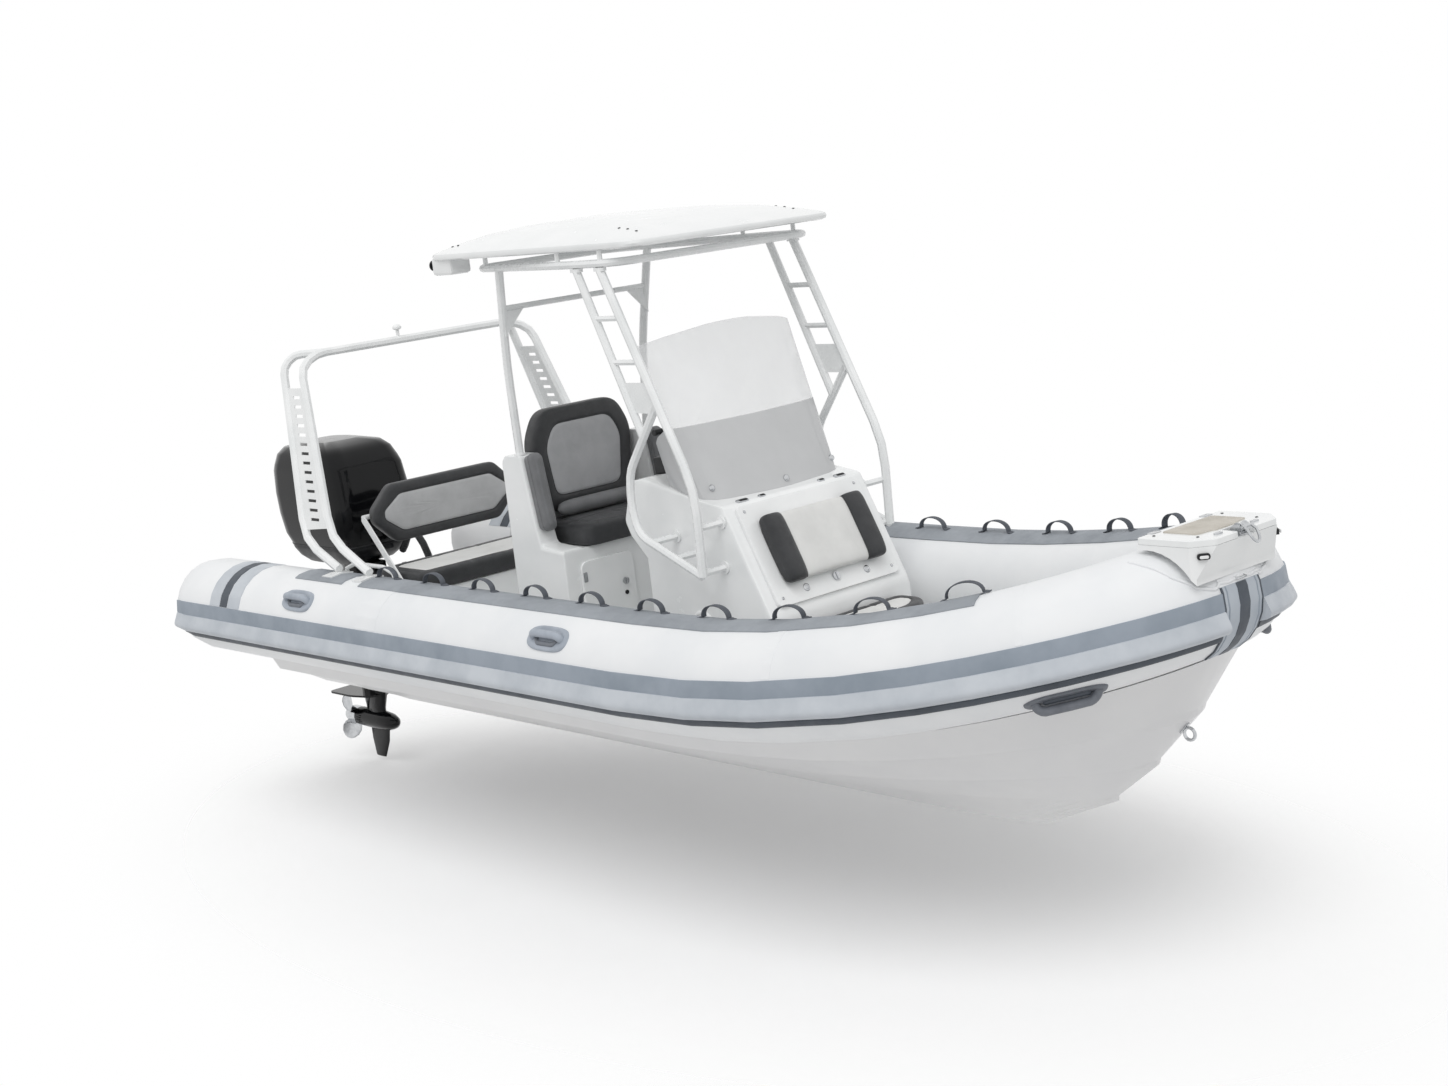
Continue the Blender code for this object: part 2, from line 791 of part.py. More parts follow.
def evaluated_mesh(source):
    """Return a welded mesh of the object as the viewport shows it."""
    bpy.context.view_layer.update()
    graph = bpy.context.evaluated_depsgraph_get()
    mesh = bpy.data.meshes.new_from_object(source.evaluated_get(graph))
    bm = bmesh.new()
    bm.from_mesh(mesh)
    bmesh.ops.remove_doubles(bm, verts=bm.verts, dist=MERGE_DISTANCE)
    bm.to_mesh(mesh)
    bm.free()
    return mesh


def as_mesh(source):
    """Replace an object by the plain mesh that it evaluates to."""
    name = source.name
    look = source.data.materials[0]
    mesh = evaluated_mesh(source)
    matrix = source.matrix_world.copy()
    home = source.users_collection[0]
    bpy.data.objects.remove(source, do_unlink=True)
    mesh.name = name
    mesh.materials.clear()
    made = add_object(name, mesh, look, home)
    made.matrix_world = matrix
    made.data.shade_smooth()
    made.data.set_sharp_from_angle(angle=math.radians(SMOOTH_DEGREES))
    return made


def hide_as_cutter(helper):
    """Move a Boolean operand to the cutters, out of the build."""
    for home in list(helper.users_collection):
        home.objects.unlink(helper)
    cutters.objects.link(helper)
    helper.hide_render = True
    helper.display_type = "WIRE"


def combine(target, helper, operation):
    """Join or cut the target with a helper, exactly."""
    hide_as_cutter(helper)
    made = target.modifiers.new(operation.lower() + "_" + helper.name, "BOOLEAN")
    made.operation = operation
    made.solver = "EXACT"
    made.object = helper
    return target


def join(target, *helpers):
    """Unite the helpers with the target."""
    for helper in helpers:
        combine(target, helper, "UNION")
    return target


def cut(target, *helpers):
    """Take the helpers away from the target."""
    for helper in helpers:
        combine(target, helper, "DIFFERENCE")
    return target


def flat(name, outline, thickness, plane, offset, look, collection=None):
    """Extrude an outline; plane XZ lies across Y, YZ across X and XY across Z."""
    data = bpy.data.curves.new(name, "CURVE")
    data.dimensions = "2D"
    data.fill_mode = "BOTH"
    data.extrude = thickness / 2
    spline = data.splines.new("POLY")
    spline.points.add(len(outline) - 1)
    for point, (across, up) in zip(spline.points, outline):
        point.co = (across, up, 0.0, 1.0)
    spline.use_cyclic_u = True
    made = add_object(name, data, look, collection)
    turns = {
        "XY": (Matrix.Identity(3), Vector((0, 0, 1))),
        "XZ": (Matrix(((1, 0, 0), (0, 0, -1), (0, 1, 0))), Vector((0, 1, 0))),
        "YZ": (Matrix(((0, 0, 1), (1, 0, 0), (0, 1, 0))), Vector((1, 0, 0))),
    }
    turn, normal = turns[plane]
    made.matrix_world = Matrix.Translation(normal * offset) @ turn.to_4x4()
    return as_mesh(made)


def rounded(outline, radius, steps=3):
    """Return the outline with each corner drawn as a short arc."""
    result = []
    count = len(outline)
    for index, corner in enumerate(outline):
        here = Vector(corner)
        before = Vector(outline[index - 1]) - here
        after = Vector(outline[(index + 1) % count]) - here
        reach = min(radius, before.length * BEND_REACH_SHARE, after.length * BEND_REACH_SHARE)
        start = here + before.normalized() * reach
        end = here + after.normalized() * reach
        for step in range(steps + 1):
            share = step / steps
            bend = start.lerp(here, share).lerp(here.lerp(end, share), share)
            result.append((bend.x, bend.y))
    return result


def filleted(points, radius, steps=2):
    """Return a 3-D path whose inner corners are short arcs."""
    path = [Vector(points[0])]
    for before, corner, after in zip(points, points[1:], points[2:]):
        here = Vector(corner)
        back = Vector(before) - here
        on = Vector(after) - here
        reach = min(radius, back.length * BEND_REACH_SHARE, on.length * BEND_REACH_SHARE)
        start = here + back.normalized() * reach
        end = here + on.normalized() * reach
        for step in range(steps + 1):
            share = step / steps
            path.append(start.lerp(here, share).lerp(here.lerp(end, share), share))
    path.append(Vector(points[-1]))
    return path


def tube(name, path, radius, look, cyclic=False, resolution=2, collection=None):
    """Make a round tube along a path, as a closed mesh."""
    data = bpy.data.curves.new(name, "CURVE")
    data.dimensions = "3D"
    data.bevel_depth = radius
    data.bevel_resolution = resolution
    data.use_fill_caps = True
    spline = data.splines.new("POLY")
    spline.points.add(len(path) - 1)
    for point, place in zip(spline.points, path):
        point.co = (*place, 1.0)
    spline.use_cyclic_u = cyclic
    return as_mesh(add_object(name, data, look, collection))


def split_band(bm, low, high, keys):
    """Skin two rings; quads split from the smaller key to the larger one."""
    count = len(low)
    for index in range(count):
        following = (index + 1) % count
        closes_circle = following == 0 and keys[0] == 0
        if keys[following] > keys[index] or closes_circle:
            bm.faces.new((low[index], high[index], high[following]))
            bm.faces.new((low[index], high[following], low[following]))
        else:
            bm.faces.new((low[index], high[index], low[following]))
            bm.faces.new((high[index], high[following], low[following]))


def loft(name, rings, look, keys=None, collection=None, caps=True):
    """Skin closed rings of equal count; keys set which way each quad splits."""
    bm = bmesh.new()
    rows = [[bm.verts.new(point) for point in ring] for ring in rings]
    count = len(rings[0])
    for low, high in zip(rows, rows[1:]):
        split_band(bm, low, high, keys or range(count))
    if caps:
        bm.faces.new(rows[0])
        bm.faces.new(list(reversed(rows[-1])))
    return add_object(name, mesh_of(name, bm), look, collection)


class Station:
    """One vertical slice of the collar, square to the tube."""

    def __init__(self, centre, outward, radius):
        self.centre = centre
        self.outward = outward
        self.radius = radius

    def point(self, degrees, offset, side):
        """Return the point at an angle round the tube, on the given side."""
        turn = math.radians(degrees)
        reach = (self.radius + offset) * math.cos(turn)
        place = self.centre + self.outward * reach
        place.z += (self.radius + offset) * math.sin(turn)
        place.y *= side
        return place


def bow_place(turn_degrees):
    """Return the tube axis on the port bow at a turn from abeam to ahead."""
    turn = math.radians(turn_degrees)
    power = 2 / BOW_FULLNESS
    reach = max(math.sin(turn), 0.0) ** power
    breadth = max(math.cos(turn), 0.0) ** power if turn_degrees < 90 else 0.0
    x = BOW_START_X + (BOW_TIP_X - BOW_START_X) * reach
    z = COLLAR_Z + BOW_RISE * reach ** SHEER_POWER
    return Vector((x, COLLAR_HALF_BREADTH * breadth, z))


def collar_stations():
    """Return the port half of the collar, from the stern to the bow."""
    places = []
    radii = []
    for along, girth in STERN_CAP_SHARES:
        x = STERN_TIP_X + STERN_CAP_LENGTH * along
        places.append(Vector((x, COLLAR_HALF_BREADTH, COLLAR_Z)))
        radii.append(TUBE_RADIUS * girth)
    for x in (TRANSOM_X, MIDDLE_X, BOW_START_X):
        places.append(Vector((x, COLLAR_HALF_BREADTH, COLLAR_Z)))
        radii.append(TUBE_RADIUS)
    for turn in BOW_TURN_DEGREES:
        place = bow_place(turn)
        places.append(place)
        share = (place.x - BOW_START_X) / (BOW_TIP_X - BOW_START_X)
        radii.append(TUBE_RADIUS + (TUBE_BOW_RADIUS - TUBE_RADIUS) * share)
    result = []
    for index, place in enumerate(places):
        before = places[max(index - 1, 0)]
        after = places[min(index + 1, len(places) - 1)]
        along = after - before
        if index == len(places) - 1:
            along = Vector((0.0, -1.0, 0.0))
        outward = Vector((-along.y, along.x, 0.0)).normalized()
        result.append(Station(place, outward, radii[index]))
    return result


STATIONS = collar_stations()
FIRST_BOW = len(STERN_CAP_SHARES) + 3
LAST = len(STATIONS) - 1


def blended(position):
    """Return a slice at a fractional station number."""
    low = min(int(position), LAST - 1)
    share = position - low
    first, second = STATIONS[low], STATIONS[low + 1]
    outward = first.outward.lerp(second.outward, share)
    return Station(
        first.centre.lerp(second.centre, share),
        outward,
        first.radius + (second.radius - first.radius) * share,
    )


def ring_point(position, degrees, offset, side):
    """Return a point on the faceted collar between two stations."""
    low = min(int(position), LAST - 1)
    share = position - low
    first = STATIONS[low].point(degrees, offset, side)
    second = STATIONS[low + 1].point(degrees, offset, side)
    return first.lerp(second, share)


def facet_point(position, low_degrees, offset, side):
    """Return the middle of the facet above an angle, on its split faces."""
    low = min(int(position), LAST - 1)
    share = position - low
    high_degrees = low_degrees + FACET_DEGREES
    first = STATIONS[low].point(low_degrees, offset, side)
    second = STATIONS[low + 1].point(high_degrees, offset, side)
    if share >= 0.5:
        third = STATIONS[low + 1].point(low_degrees, offset, side)
        return first + (third - first) * share + (second - third) / 2
    third = STATIONS[low].point(high_degrees, offset, side)
    return first + (third - first) / 2 + (second - third) * share


def position_at_x(x):
    """Return the fractional station where the tube axis reaches x."""
    for index in range(LAST):
        here, there = STATIONS[index].centre.x, STATIONS[index + 1].centre.x
        if here <= x <= there:
            return index + (x - here) / (there - here)
    return float(LAST)


def position_at_turn(turn_degrees):
    """Return the station number of a listed bow turn."""
    return float(FIRST_BOW + BOW_TURN_DEGREES.index(turn_degrees))


def position_along(start_x, run):
    """Return the fractional station a given run along the tube axis from x."""
    place = position_at_x(start_x)
    left = run
    while left > 0 and place < LAST:
        low = int(place)
        first, second = STATIONS[low].centre, STATIONS[low + 1].centre
        span = (second - first).length
        room = (low + 1 - place) * span
        if left <= room:
            return place + left / span
        left -= room
        place = float(low + 1)
    return min(place, float(LAST))


def positions_between(start, end):
    """Return the start, the whole stations between and the end."""
    inner = [float(index) for index in range(int(start) + 1, int(math.ceil(end)))]
    return [start] + inner + [end]


def facet_angles(first, last):
    """Return angles from first to last in whole facets."""
    step = FACET_DEGREES if last > first else -FACET_DEGREES
    return list(range(first, last + (1 if step > 0 else -1), step))


def collar_length(name, start, end, side, look):
    """Make one air chamber of the collar between two positions."""
    angles = facet_angles(0, 360 - FACET_DEGREES)
    rings = [
        [ring_point(place, angle, 0.0, side) for angle in angles]
        for place in positions_between(start, end)
    ]
    return loft(name, rings, look, angles)


def collar_patch(name, start, end, low, high, thickness, side, look, collection=None):
    """Make a thin skin that lies on the collar between two angles."""
    under = facet_angles(high, low)
    over = facet_angles(low, high)
    rings = []
    for place in positions_between(start, end):
        inner = [ring_point(place, angle, SEAT_GAP, side) for angle in under]
        outer = [ring_point(place, angle, SEAT_GAP + thickness, side) for angle in over]
        rings.append(inner + outer)
    keys = under + over
    return loft(name, rings, look, keys, collection)


def build_collar():
    """Make the side chambers, the bow chamber and what is bonded to them."""
    seam = position_at_turn(SEAM_TURN_DEGREES)
    step = (STATIONS[int(seam)].centre - STATIONS[int(seam) - 1].centre).length
    side_end = seam - SEAT_GAP / step
    for side, word in ((-1, "starboard"), (1, "port")):
        collar_length("tube_" + word, 0.0, side_end, side, TUBE_WHITE)
        build_strake(side, word)
        build_grip_strip(side, word)
    build_bow_chamber(seam)
    build_wrap()


def both_bows(start, ring_of):
    """Return rings from the starboard bow round the stem to the port bow."""
    half = positions_between(start, float(LAST))
    starboard = [ring_of(place, -1) for place in half]
    port = [ring_of(place, 1) for place in reversed(half[:-1])]
    return starboard + port


def build_bow_chamber(seam):
    """Make the chamber that runs round the bow between the two seams."""
    angles = facet_angles(0, 360 - FACET_DEGREES)
    rings = both_bows(seam, lambda place, side: [ring_point(place, a, 0.0, side) for a in angles])
    loft_round_bow("tube_bow", rings, TUBE_WHITE, angles)


def loft_round_bow(name, rings, look, keys):
    """Skin rings whose quads split alike on both sides of the stem."""
    bm = bmesh.new()
    rows = [[bm.verts.new(point) for point in ring] for ring in rings]
    middle = len(rows) // 2
    for number, (low, high) in enumerate(zip(rows, rows[1:])):
        if number >= middle:
            low, high = high, low
        split_band(bm, low, high, keys)
    bm.faces.new(rows[0])
    bm.faces.new(rows[-1])
    return add_object(name, mesh_of(name, bm), look)


def build_wrap():
    """Make the wrap over the collar at the stem."""
    near = position_at_turn(STRAKE_END_TURN_DEGREES) + SEAT_GAP / abs(STATIONS[LAST - 1].centre.y)
    under = facet_angles(WRAP_HIGH_DEGREES, WRAP_LOW_DEGREES)
    over = facet_angles(WRAP_LOW_DEGREES, WRAP_HIGH_DEGREES)
    keys = under + over

    def ring_of(place, side):
        inner = [ring_point(place, angle, SEAT_GAP, side) for angle in under]
        outer = [ring_point(place, angle, SEAT_GAP + WRAP_THICKNESS, side) for angle in over]
        return inner + outer

    loft_round_bow("bow_wrap", both_bows(near, ring_of), STRAKE_GREY, keys)


def build_strake(side, word):
    """Make the rub strake: a flat band above a protruding nose."""
    start = float(STERN_CAP_SHARES.index(STERN_CAP_SHARES[2]))
    end = position_at_turn(STRAKE_END_TURN_DEGREES)
    under = facet_angles(STRAKE_HIGH_DEGREES, STRAKE_LOW_DEGREES)
    over = [angle for angle, _ in STRAKE_OUTER_SHARES]
    rings = []
    for place in positions_between(start, end):
        inner = [ring_point(place, angle, SEAT_GAP, side) for angle in under]
        outer = []
        for angle, share in STRAKE_OUTER_SHARES:
            outer.append(ring_point(place, angle, SEAT_GAP + STRAKE_NOSE * share, side))
        rings.append(inner + outer)
    return loft("rub_strake_" + word, rings, STRAKE_GREY, under + over)


def strap_runs(end):
    """Return how far along each strap starts, while its middle is on the strip."""
    runs = []
    while position_along(LOOP_FIRST_X, LOOP_PITCH * len(runs)) < end:
        runs.append(LOOP_PITCH * len(runs))
    return runs


def strap(bm, run, side):
    """Add one arched webbing strap that stands on the grip strip."""
    lift = STRIP_THICKNESS / 2 + SEAT_GAP
    starts = position_along(LOOP_FIRST_X - LOOP_LENGTH / 2, run)
    ends = position_along(LOOP_FIRST_X - LOOP_LENGTH / 2, run + LOOP_LENGTH)
    first = facet_point(starts, 90, lift, side)
    last = facet_point(ends, 90, lift, side)
    along = (last - first).normalized()
    across = along.cross(Vector((0, 0, 1))).normalized()
    up = across.cross(along)
    rings = []
    for step in range(LOOP_STEPS + 1):
        turn = math.pi * step / LOOP_STEPS
        centre = first.lerp(last, (1 - math.cos(turn)) / 2) + up * LOOP_HEIGHT * math.sin(turn)
        normal = up * math.sin(turn) * LOOP_LENGTH / 2 - along * math.cos(turn) * LOOP_HEIGHT
        normal.normalize()
        ring = []
        for wide, thick in ((-1, -1), (1, -1), (1, 1), (-1, 1)):
            corner = centre + across * wide * LOOP_WIDTH / 2 + normal * thick * LOOP_THICKNESS / 2
            ring.append(bm.verts.new(corner))
        rings.append(ring)
    for low, high in zip(rings, rings[1:]):
        for index in range(4):
            following = (index + 1) % 4
            bm.faces.new((low[index], high[index], high[following], low[following]))
    bm.faces.new(rings[0])
    bm.faces.new(list(reversed(rings[-1])))


def build_grip_strip(side, word):
    """Make the non-slip strip on the tube top with its webbing straps."""
    start = position_at_x(STRIP_START_X)
    end = position_at_turn(STRIP_END_TURN_DEGREES)
    arc = (STRIP_OUTER_DEGREES, STRIP_INNER_DEGREES)
    strip = collar_patch("grip_strip_" + word, start, end, *arc, STRIP_THICKNESS, side, GRIP_GREY)
    bm = bmesh.new()
    for run in strap_runs(end):
        strap(bm, run, side)
    name = "straps_" + word
    join(strip, add_object(name, mesh_of(name, bm), GRIP_GREY))


def grip_handle(name, start, end, low, side, look):
    """Make a moulded patch on one facet, with a raised bar to hold."""
    patch = collar_patch(name, start, end, low, low + FACET_DEGREES, HANDLE_PLATE, side, look)
    path = []
    for step in range(HANDLE_STEPS + 1):
        turn = math.pi * step / HANDLE_STEPS
        spot = start + (end - start) * (1 - HANDLE_SPAN_SHARE * math.cos(turn)) / 2
        rise = (HANDLE_REACH + HANDLE_GRIP_RADIUS) * min(1.0, HANDLE_RISE_SHARE * math.sin(turn))
        path.append(facet_point(spot, low, HANDLE_PLATE + rise, side))
    join(patch, tube(name + "_bar", path, HANDLE_GRIP_RADIUS, look, resolution=1))


def build_handles():
    """Make the carry handles on the sides and under the bow."""
    bow_start, bow_end = (position_at_turn(turn) for turn in BOW_HANDLE_TURN_DEGREES)
    for side, word in ((-1, "starboard"), (1, "port")):
        for x, end in zip(CARRY_HANDLE_X, ("aft", "fore")):
            name = "carry_handle_" + end + "_" + word
            first = position_at_x(x - CARRY_HANDLE_LENGTH / 2)
            last = position_at_x(x + CARRY_HANDLE_LENGTH / 2)
            grip_handle(name, first, last, SIDE_HANDLE_DEGREES, side, STRAKE_GREY)
        grip_handle("bow_handle_" + word, bow_start, bow_end, STEM_HANDLE_DEGREES, side, GRIP_GREY)


def hull_line(progress, breadth, fineness, aft_y, aft_z, end_x, end_z, rise_x):
    """Return a point of a keel, rail or chine line on the port side."""
    x = TRANSOM_X + (end_x - TRANSOM_X) * progress
    rise = max(x - rise_x, 0.0) / (end_x - rise_x)
    z = aft_z + (end_z - aft_z) * rise ** RISE_POWER
    return Vector((x, aft_y * breadth ** fineness, z))


def flange_point(index, gap):
    """Return the inner edge of the hull flange at a whole station."""
    slice_here = STATIONS[index]
    grow = slice_here.radius * (1 / math.cos(math.radians(FACET_DEGREES / 2)) - 1) + CRADLE_GAP
    place = slice_here.point(CRADLE_END_DEGREES, grow, 1) - slice_here.outward * (FLANGE_WIDTH + gap)
    place.y = max(place.y, 0.0)
    return place


def flange_line(place, gap):
    """Return the flange's inner edge between two stations."""
    low = min(int(place), LAST - 1)
    return flange_point(low, gap).lerp(flange_point(low + 1, gap), place - low)


def hull_section(place, top_z):
    """Return one half section, from the keel out, up and in to the deck."""
    slice_here = blended(place)
    centre = slice_here.centre
    progress = (centre.x - TRANSOM_X) / (BOW_TIP_X - TRANSOM_X)
    breadth = centre.y / COLLAR_HALF_BREADTH
    keel = hull_line(progress, breadth, 1.0, 0.0, 0.0, STEM_FOOT_X, STEM_FOOT_Z, FOREDECK_X)
    pad = hull_line(
            progress, breadth, KEEL_SHARE, KEEL_HALF_WIDTH, 0.0, STEM_FOOT_X, STEM_FOOT_Z, FOREDECK_X
        )
    rails = []
    for y, z, end_x, end_z, fineness, width in (
        (LOWER_RAIL_Y, LOWER_RAIL_Z, LOWER_RAIL_STEM_X, LOWER_RAIL_STEM_Z, LOW_RAIL_SHARE, RAIL_WIDTH),
        (UPPER_RAIL_Y, UPPER_RAIL_Z, UPPER_RAIL_STEM_X, UPPER_RAIL_STEM_Z, HIGH_RAIL_SHARE, RAIL_WIDTH),
        (CHINE_Y, CHINE_Z, CHINE_STEM_X, CHINE_STEM_Z, CHINE_SHARE, CHINE_WIDTH),
    ):
        edge = hull_line(progress, breadth, fineness, y, z, end_x, end_z, CHINE_RISE_X)
        inner = edge.copy()
        inner.y = max(edge.y - width * breadth, 0.0)
        lift = width * (1.0 - breadth)
        outer = edge.copy()
        inner.z -= lift * RAIL_LIFT_SHARE
        outer.z += lift * RAIL_LIFT_SHARE
        rails += [inner, outer]
    lowest = CRADLE_START_DEGREES + CRADLE_BOW_DEGREES * progress ** CRADLE_POWER
    turns = [lowest + (CRADLE_END_DEGREES - lowest) * step / CRADLE_STEPS for step in range(CRADLE_STEPS + 1)]
    grow = slice_here.radius * (1 / math.cos(math.radians(FACET_DEGREES / 2)) - 1) + CRADLE_GAP
    cradle = [slice_here.point(turn, grow, 1) for turn in turns]
    inward = flange_line(place, 0.0)
    wall = Vector((inward.x, inward.y, top_z))
    middle = Vector((inward.x, 0.0, top_z))
    return [keel, pad] + rails + cradle + [inward, wall, middle]


def mirrored_grid(name, sections, look):
    """Skin port half sections that close on the plane y = 0, then mirror."""
    bm = bmesh.new()
    rows = [[bm.verts.new(point) for point in section] for section in sections]
    for low, high in zip(rows, rows[1:]):
        for index in range(len(low) - 1):
            bm.faces.new((low[index], high[index], high[index + 1]))
            bm.faces.new((low[index], high[index + 1], low[index + 1]))
    bm.faces.new(rows[0])
    last = rows[-1]
    if max(vert.co.y for vert in last) > MERGE_DISTANCE:
        bm.faces.new(last)
    bmesh.ops.dissolve_degenerate(bm, dist=MERGE_DISTANCE, edges=bm.edges)
    bmesh.ops.remove_doubles(bm, verts=bm.verts, dist=MERGE_DISTANCE)
    made = add_object(name, mesh_of(name, bm), look)
    mirror = made.modifiers.new("both_sides", "MIRROR")
    mirror.use_axis = (False, True, False)
    mirror.use_clip = True
    mirror.merge_threshold = MERGE_DISTANCE
    return made


def build_hull():
    """Make the deep-V hull with its cradle for the collar, and the deck."""
    transom_inner = TRANSOM_X + TRANSOM_THICKNESS
    fore_z = FOREDECK_Z - FOREDECK_THICKNESS
    step_end = position_at_x(FOREDECK_X + STEP_RUN)
    levels = [
        (position_at_x(TRANSOM_X), TRANSOM_TOP_Z),
        (position_at_x(transom_inner), TRANSOM_TOP_Z),
        (position_at_x(transom_inner + STEP_RUN), DECK_Z),
        (position_at_x(MIDDLE_X), DECK_Z),
    ]
    levels += [(place, DECK_Z) for place in positions_between(FIRST_BOW - 1.0, position_at_x(FOREDECK_X))]
    levels += [(place, fore_z) for place in positions_between(step_end, float(LAST))]
    mirrored_grid("hull", [hull_section(place, level) for place, level in levels], GELCOAT)
    build_deck(transom_inner + STEP_RUN + SEAT_GAP)


def deck_section(place, low_z, top_z):
    """Return one half section of the deck moulding inside the hull flange."""
    wall = flange_line(place, 2 * SEAT_GAP)
    return [
        Vector((wall.x, 0.0, low_z + SEAT_GAP)),
        Vector((wall.x, wall.y, low_z + SEAT_GAP)),
        Vector((wall.x, wall.y, top_z)),
        Vector((wall.x, 0.0, top_z)),
    ]


def build_deck(start_x):
    """Make the deck moulding with its raised fore and aft decks."""
    floor = DECK_Z + DECK_THICKNESS
    fore_z = FOREDECK_Z - FOREDECK_THICKNESS
    fore_x = FOREDECK_X - SEAT_GAP
    levels = [
        (start_x, DECK_Z, AFT_DECK_Z),
        (AFT_DECK_X - STEP_RUN, DECK_Z, AFT_DECK_Z),
        (AFT_DECK_X, DECK_Z, floor),
        (MIDDLE_X, DECK_Z, floor),
        (BOW_START_X, DECK_Z, floor),
        (STATIONS[FIRST_BOW].centre.x, DECK_Z, floor),
        (STATIONS[FIRST_BOW + 1].centre.x, DECK_Z, floor),
        (fore_x - 2 * STEP_RUN, DECK_Z, floor),
        (fore_x - STEP_RUN, DECK_Z, FOREDECK_Z),
        (fore_x, DECK_Z, FOREDECK_Z),
        (fore_x + STEP_RUN, fore_z, FOREDECK_Z),
    ]
    sections = [deck_section(position_at_x(x), low, top) for x, low, top in levels]
    for place in positions_between(position_at_x(fore_x + STEP_RUN), float(LAST))[1:]:
        sections.append(deck_section(place, fore_z, FOREDECK_Z))
    mirrored_grid("deck", sections, GELCOAT)


def placed(made, frame):
    """Move an object that was built about the origin into a frame."""
    bpy.context.view_layer.update()
    made.matrix_world = frame @ made.matrix_world
    return made


def set_origin(target, place):
    """Move an object's origin to a joint axis without moving its shape."""
    bpy.context.view_layer.update()
    shift = target.matrix_world.inverted() @ Vector(place)
    target.data.transform(Matrix.Translation(-shift))
    target.matrix_world = target.matrix_world @ Matrix.Translation(shift)
    return target


def from_shares(shares, start, base, length, height):
    """Return outline points from shares of a length and a height."""
    return [(start + length * across, base + height * up) for across, up in shares]


def face_frame(first, second):
    """Return a frame on an XZ profile edge: X along it, Y to port, Z out."""
    along = Vector((second[0] - first[0], 0.0, second[1] - first[1]))
    across = Vector((0, 1, 0))
    turn = Matrix((along.normalized(), across, along.normalized().cross(across))).transposed()
    return Matrix.Translation((first[0], 0.0, first[1])) @ turn.to_4x4()


def edge_length(first, second):
    """Return the length of a profile edge."""
    return math.hypot(second[0] - first[0], second[1] - first[1])


def inset(outline, wall):
    """Return a closed outline moved inward by a wall."""
    count = len(outline)
    area = sum(
        outline[i][0] * outline[(i + 1) % count][1] - outline[(i + 1) % count][0] * outline[i][1]
        for i in range(count)
    )
    hand = 1.0 if area > 0 else -1.0
    result = []
    for index in range(count):
        here = Vector(outline[index])
        before = (here - Vector(outline[index - 1])).normalized()
        after = (Vector(outline[(index + 1) % count]) - here).normalized()
        first = Vector((-before.y, before.x)) * hand
        second = Vector((-after.y, after.x)) * hand
        mitre = (first + second).normalized()
        move = mitre * (wall / max(mitre.dot(first), MITRE_FLOOR_SHARE))
        result.append((here.x + move.x, here.y + move.y))
    return result


def plate_outline(length, width, corner, steps=3):
    """Return a rectangle about the origin with rounded corners."""
    half_length, half_width = length / 2, width / 2
    corners = [
        (-half_length, -half_width),
        (half_length, -half_width),
        (half_length, half_width),
        (-half_length, half_width),
    ]
    return rounded(corners, corner, steps)


def soft_pad(name, outline, height, shares, look, frame):
    """Loft a cushion from its outline, with drawn-in sides and a seam channel."""
    middle = sum((Vector(point) for point in outline), Vector((0, 0))) / len(outline)
    rings = []
    for size, level in shares:
        ring = []
        for point in outline:
            spot = middle + (Vector(point) - middle) * size
            ring.append(Vector((spot.x, spot.y, height * level)))
        rings.append(ring)
    return placed(loft(name, rings, look), frame)


def bolstered_pad(name, width, height, thickness, shares, look, frame):
    """Loft a backrest across its width; shares give depth and height."""
    rings = []
    for across, deep, tall in shares:
        ring = []
        for up, out in PAD_SECTION_SHARES:
            ring.append(Vector((height * tall * up, width / 2 * across, thickness * deep * out)))
        rings.append(ring)
    return placed(loft(name, rings, look), frame)


def profile_prism(name, outline, width, look, collection=None):
    """Extrude an XZ profile across the boat."""
    return flat(name, outline, width, "XZ", 0.0, look, collection)


def build_locker():
    """Make the bow locker with its lid, roller and navigation lights."""
    front_x = LOCKER_AFT_X + LOCKER_LENGTH
    centre_z = COLLAR_Z + BOW_RISE
    radius = TUBE_BOW_RADIUS / math.cos(math.radians(FACET_DEGREES / 2)) + CRADLE_GAP
    low_front_x = front_x - LOCKER_FRONT_SLOPE
    angles = [
        math.acos((low_front_x - BOW_TIP_X) / radius),
        math.acos((LOCKER_AFT_X - BOW_TIP_X) / radius),
    ]

    def arc(grow):
        points = []
        for step in range(ARC_STEPS + 1):
            turn = angles[0] + (angles[1] - angles[0]) * step / ARC_STEPS
            reach = radius + grow
            points.append((BOW_TIP_X + reach * math.cos(turn), centre_z + reach * math.sin(turn)))
        return points

    top = [(LOCKER_AFT_X, LOCKER_TOP_Z), (front_x, LOCKER_TOP_Z), (low_front_x, LOCKER_BOTTOM_Z)]
    body = profile_prism("anchor_locker", top + arc(0.0), LOCKER_WIDTH, GELCOAT)
    for side in (-1, 1):
        corner = box(
            "locker_corner",
            (LOCKER_CHAMFER * math.sqrt(2), LOCKER_CHAMFER * 3, LOCKER_LENGTH),
            (front_x, side * LOCKER_WIDTH / 2, LOCKER_TOP_Z),
            GELCOAT,
        )
        corner.rotation_euler.z = side * math.radians(LOCKER_CORNER_DEGREES)
        cut(body, corner)
    floor = arc(LOCKER_WALL)
    block_x = front_x - LOCKER_BLOCK
    inside = [point for point in floor if LOCKER_AFT_X + LOCKER_BLOCK < point[0] < block_x]
    inside = [(block_x, inside[0][1])] + inside
    hollow = [(inside[-1][0], LOCKER_TOP_Z + OVERRUN), (block_x, LOCKER_TOP_Z + OVERRUN)] + inside
    inner_width = LOCKER_WIDTH - 2 * LOCKER_CHAMFER
    cut(body, profile_prism("locker_hollow", hollow, inner_width, GELCOAT))
    build_lid(front_x)
    build_roller()
    build_nav_lights(front_x)


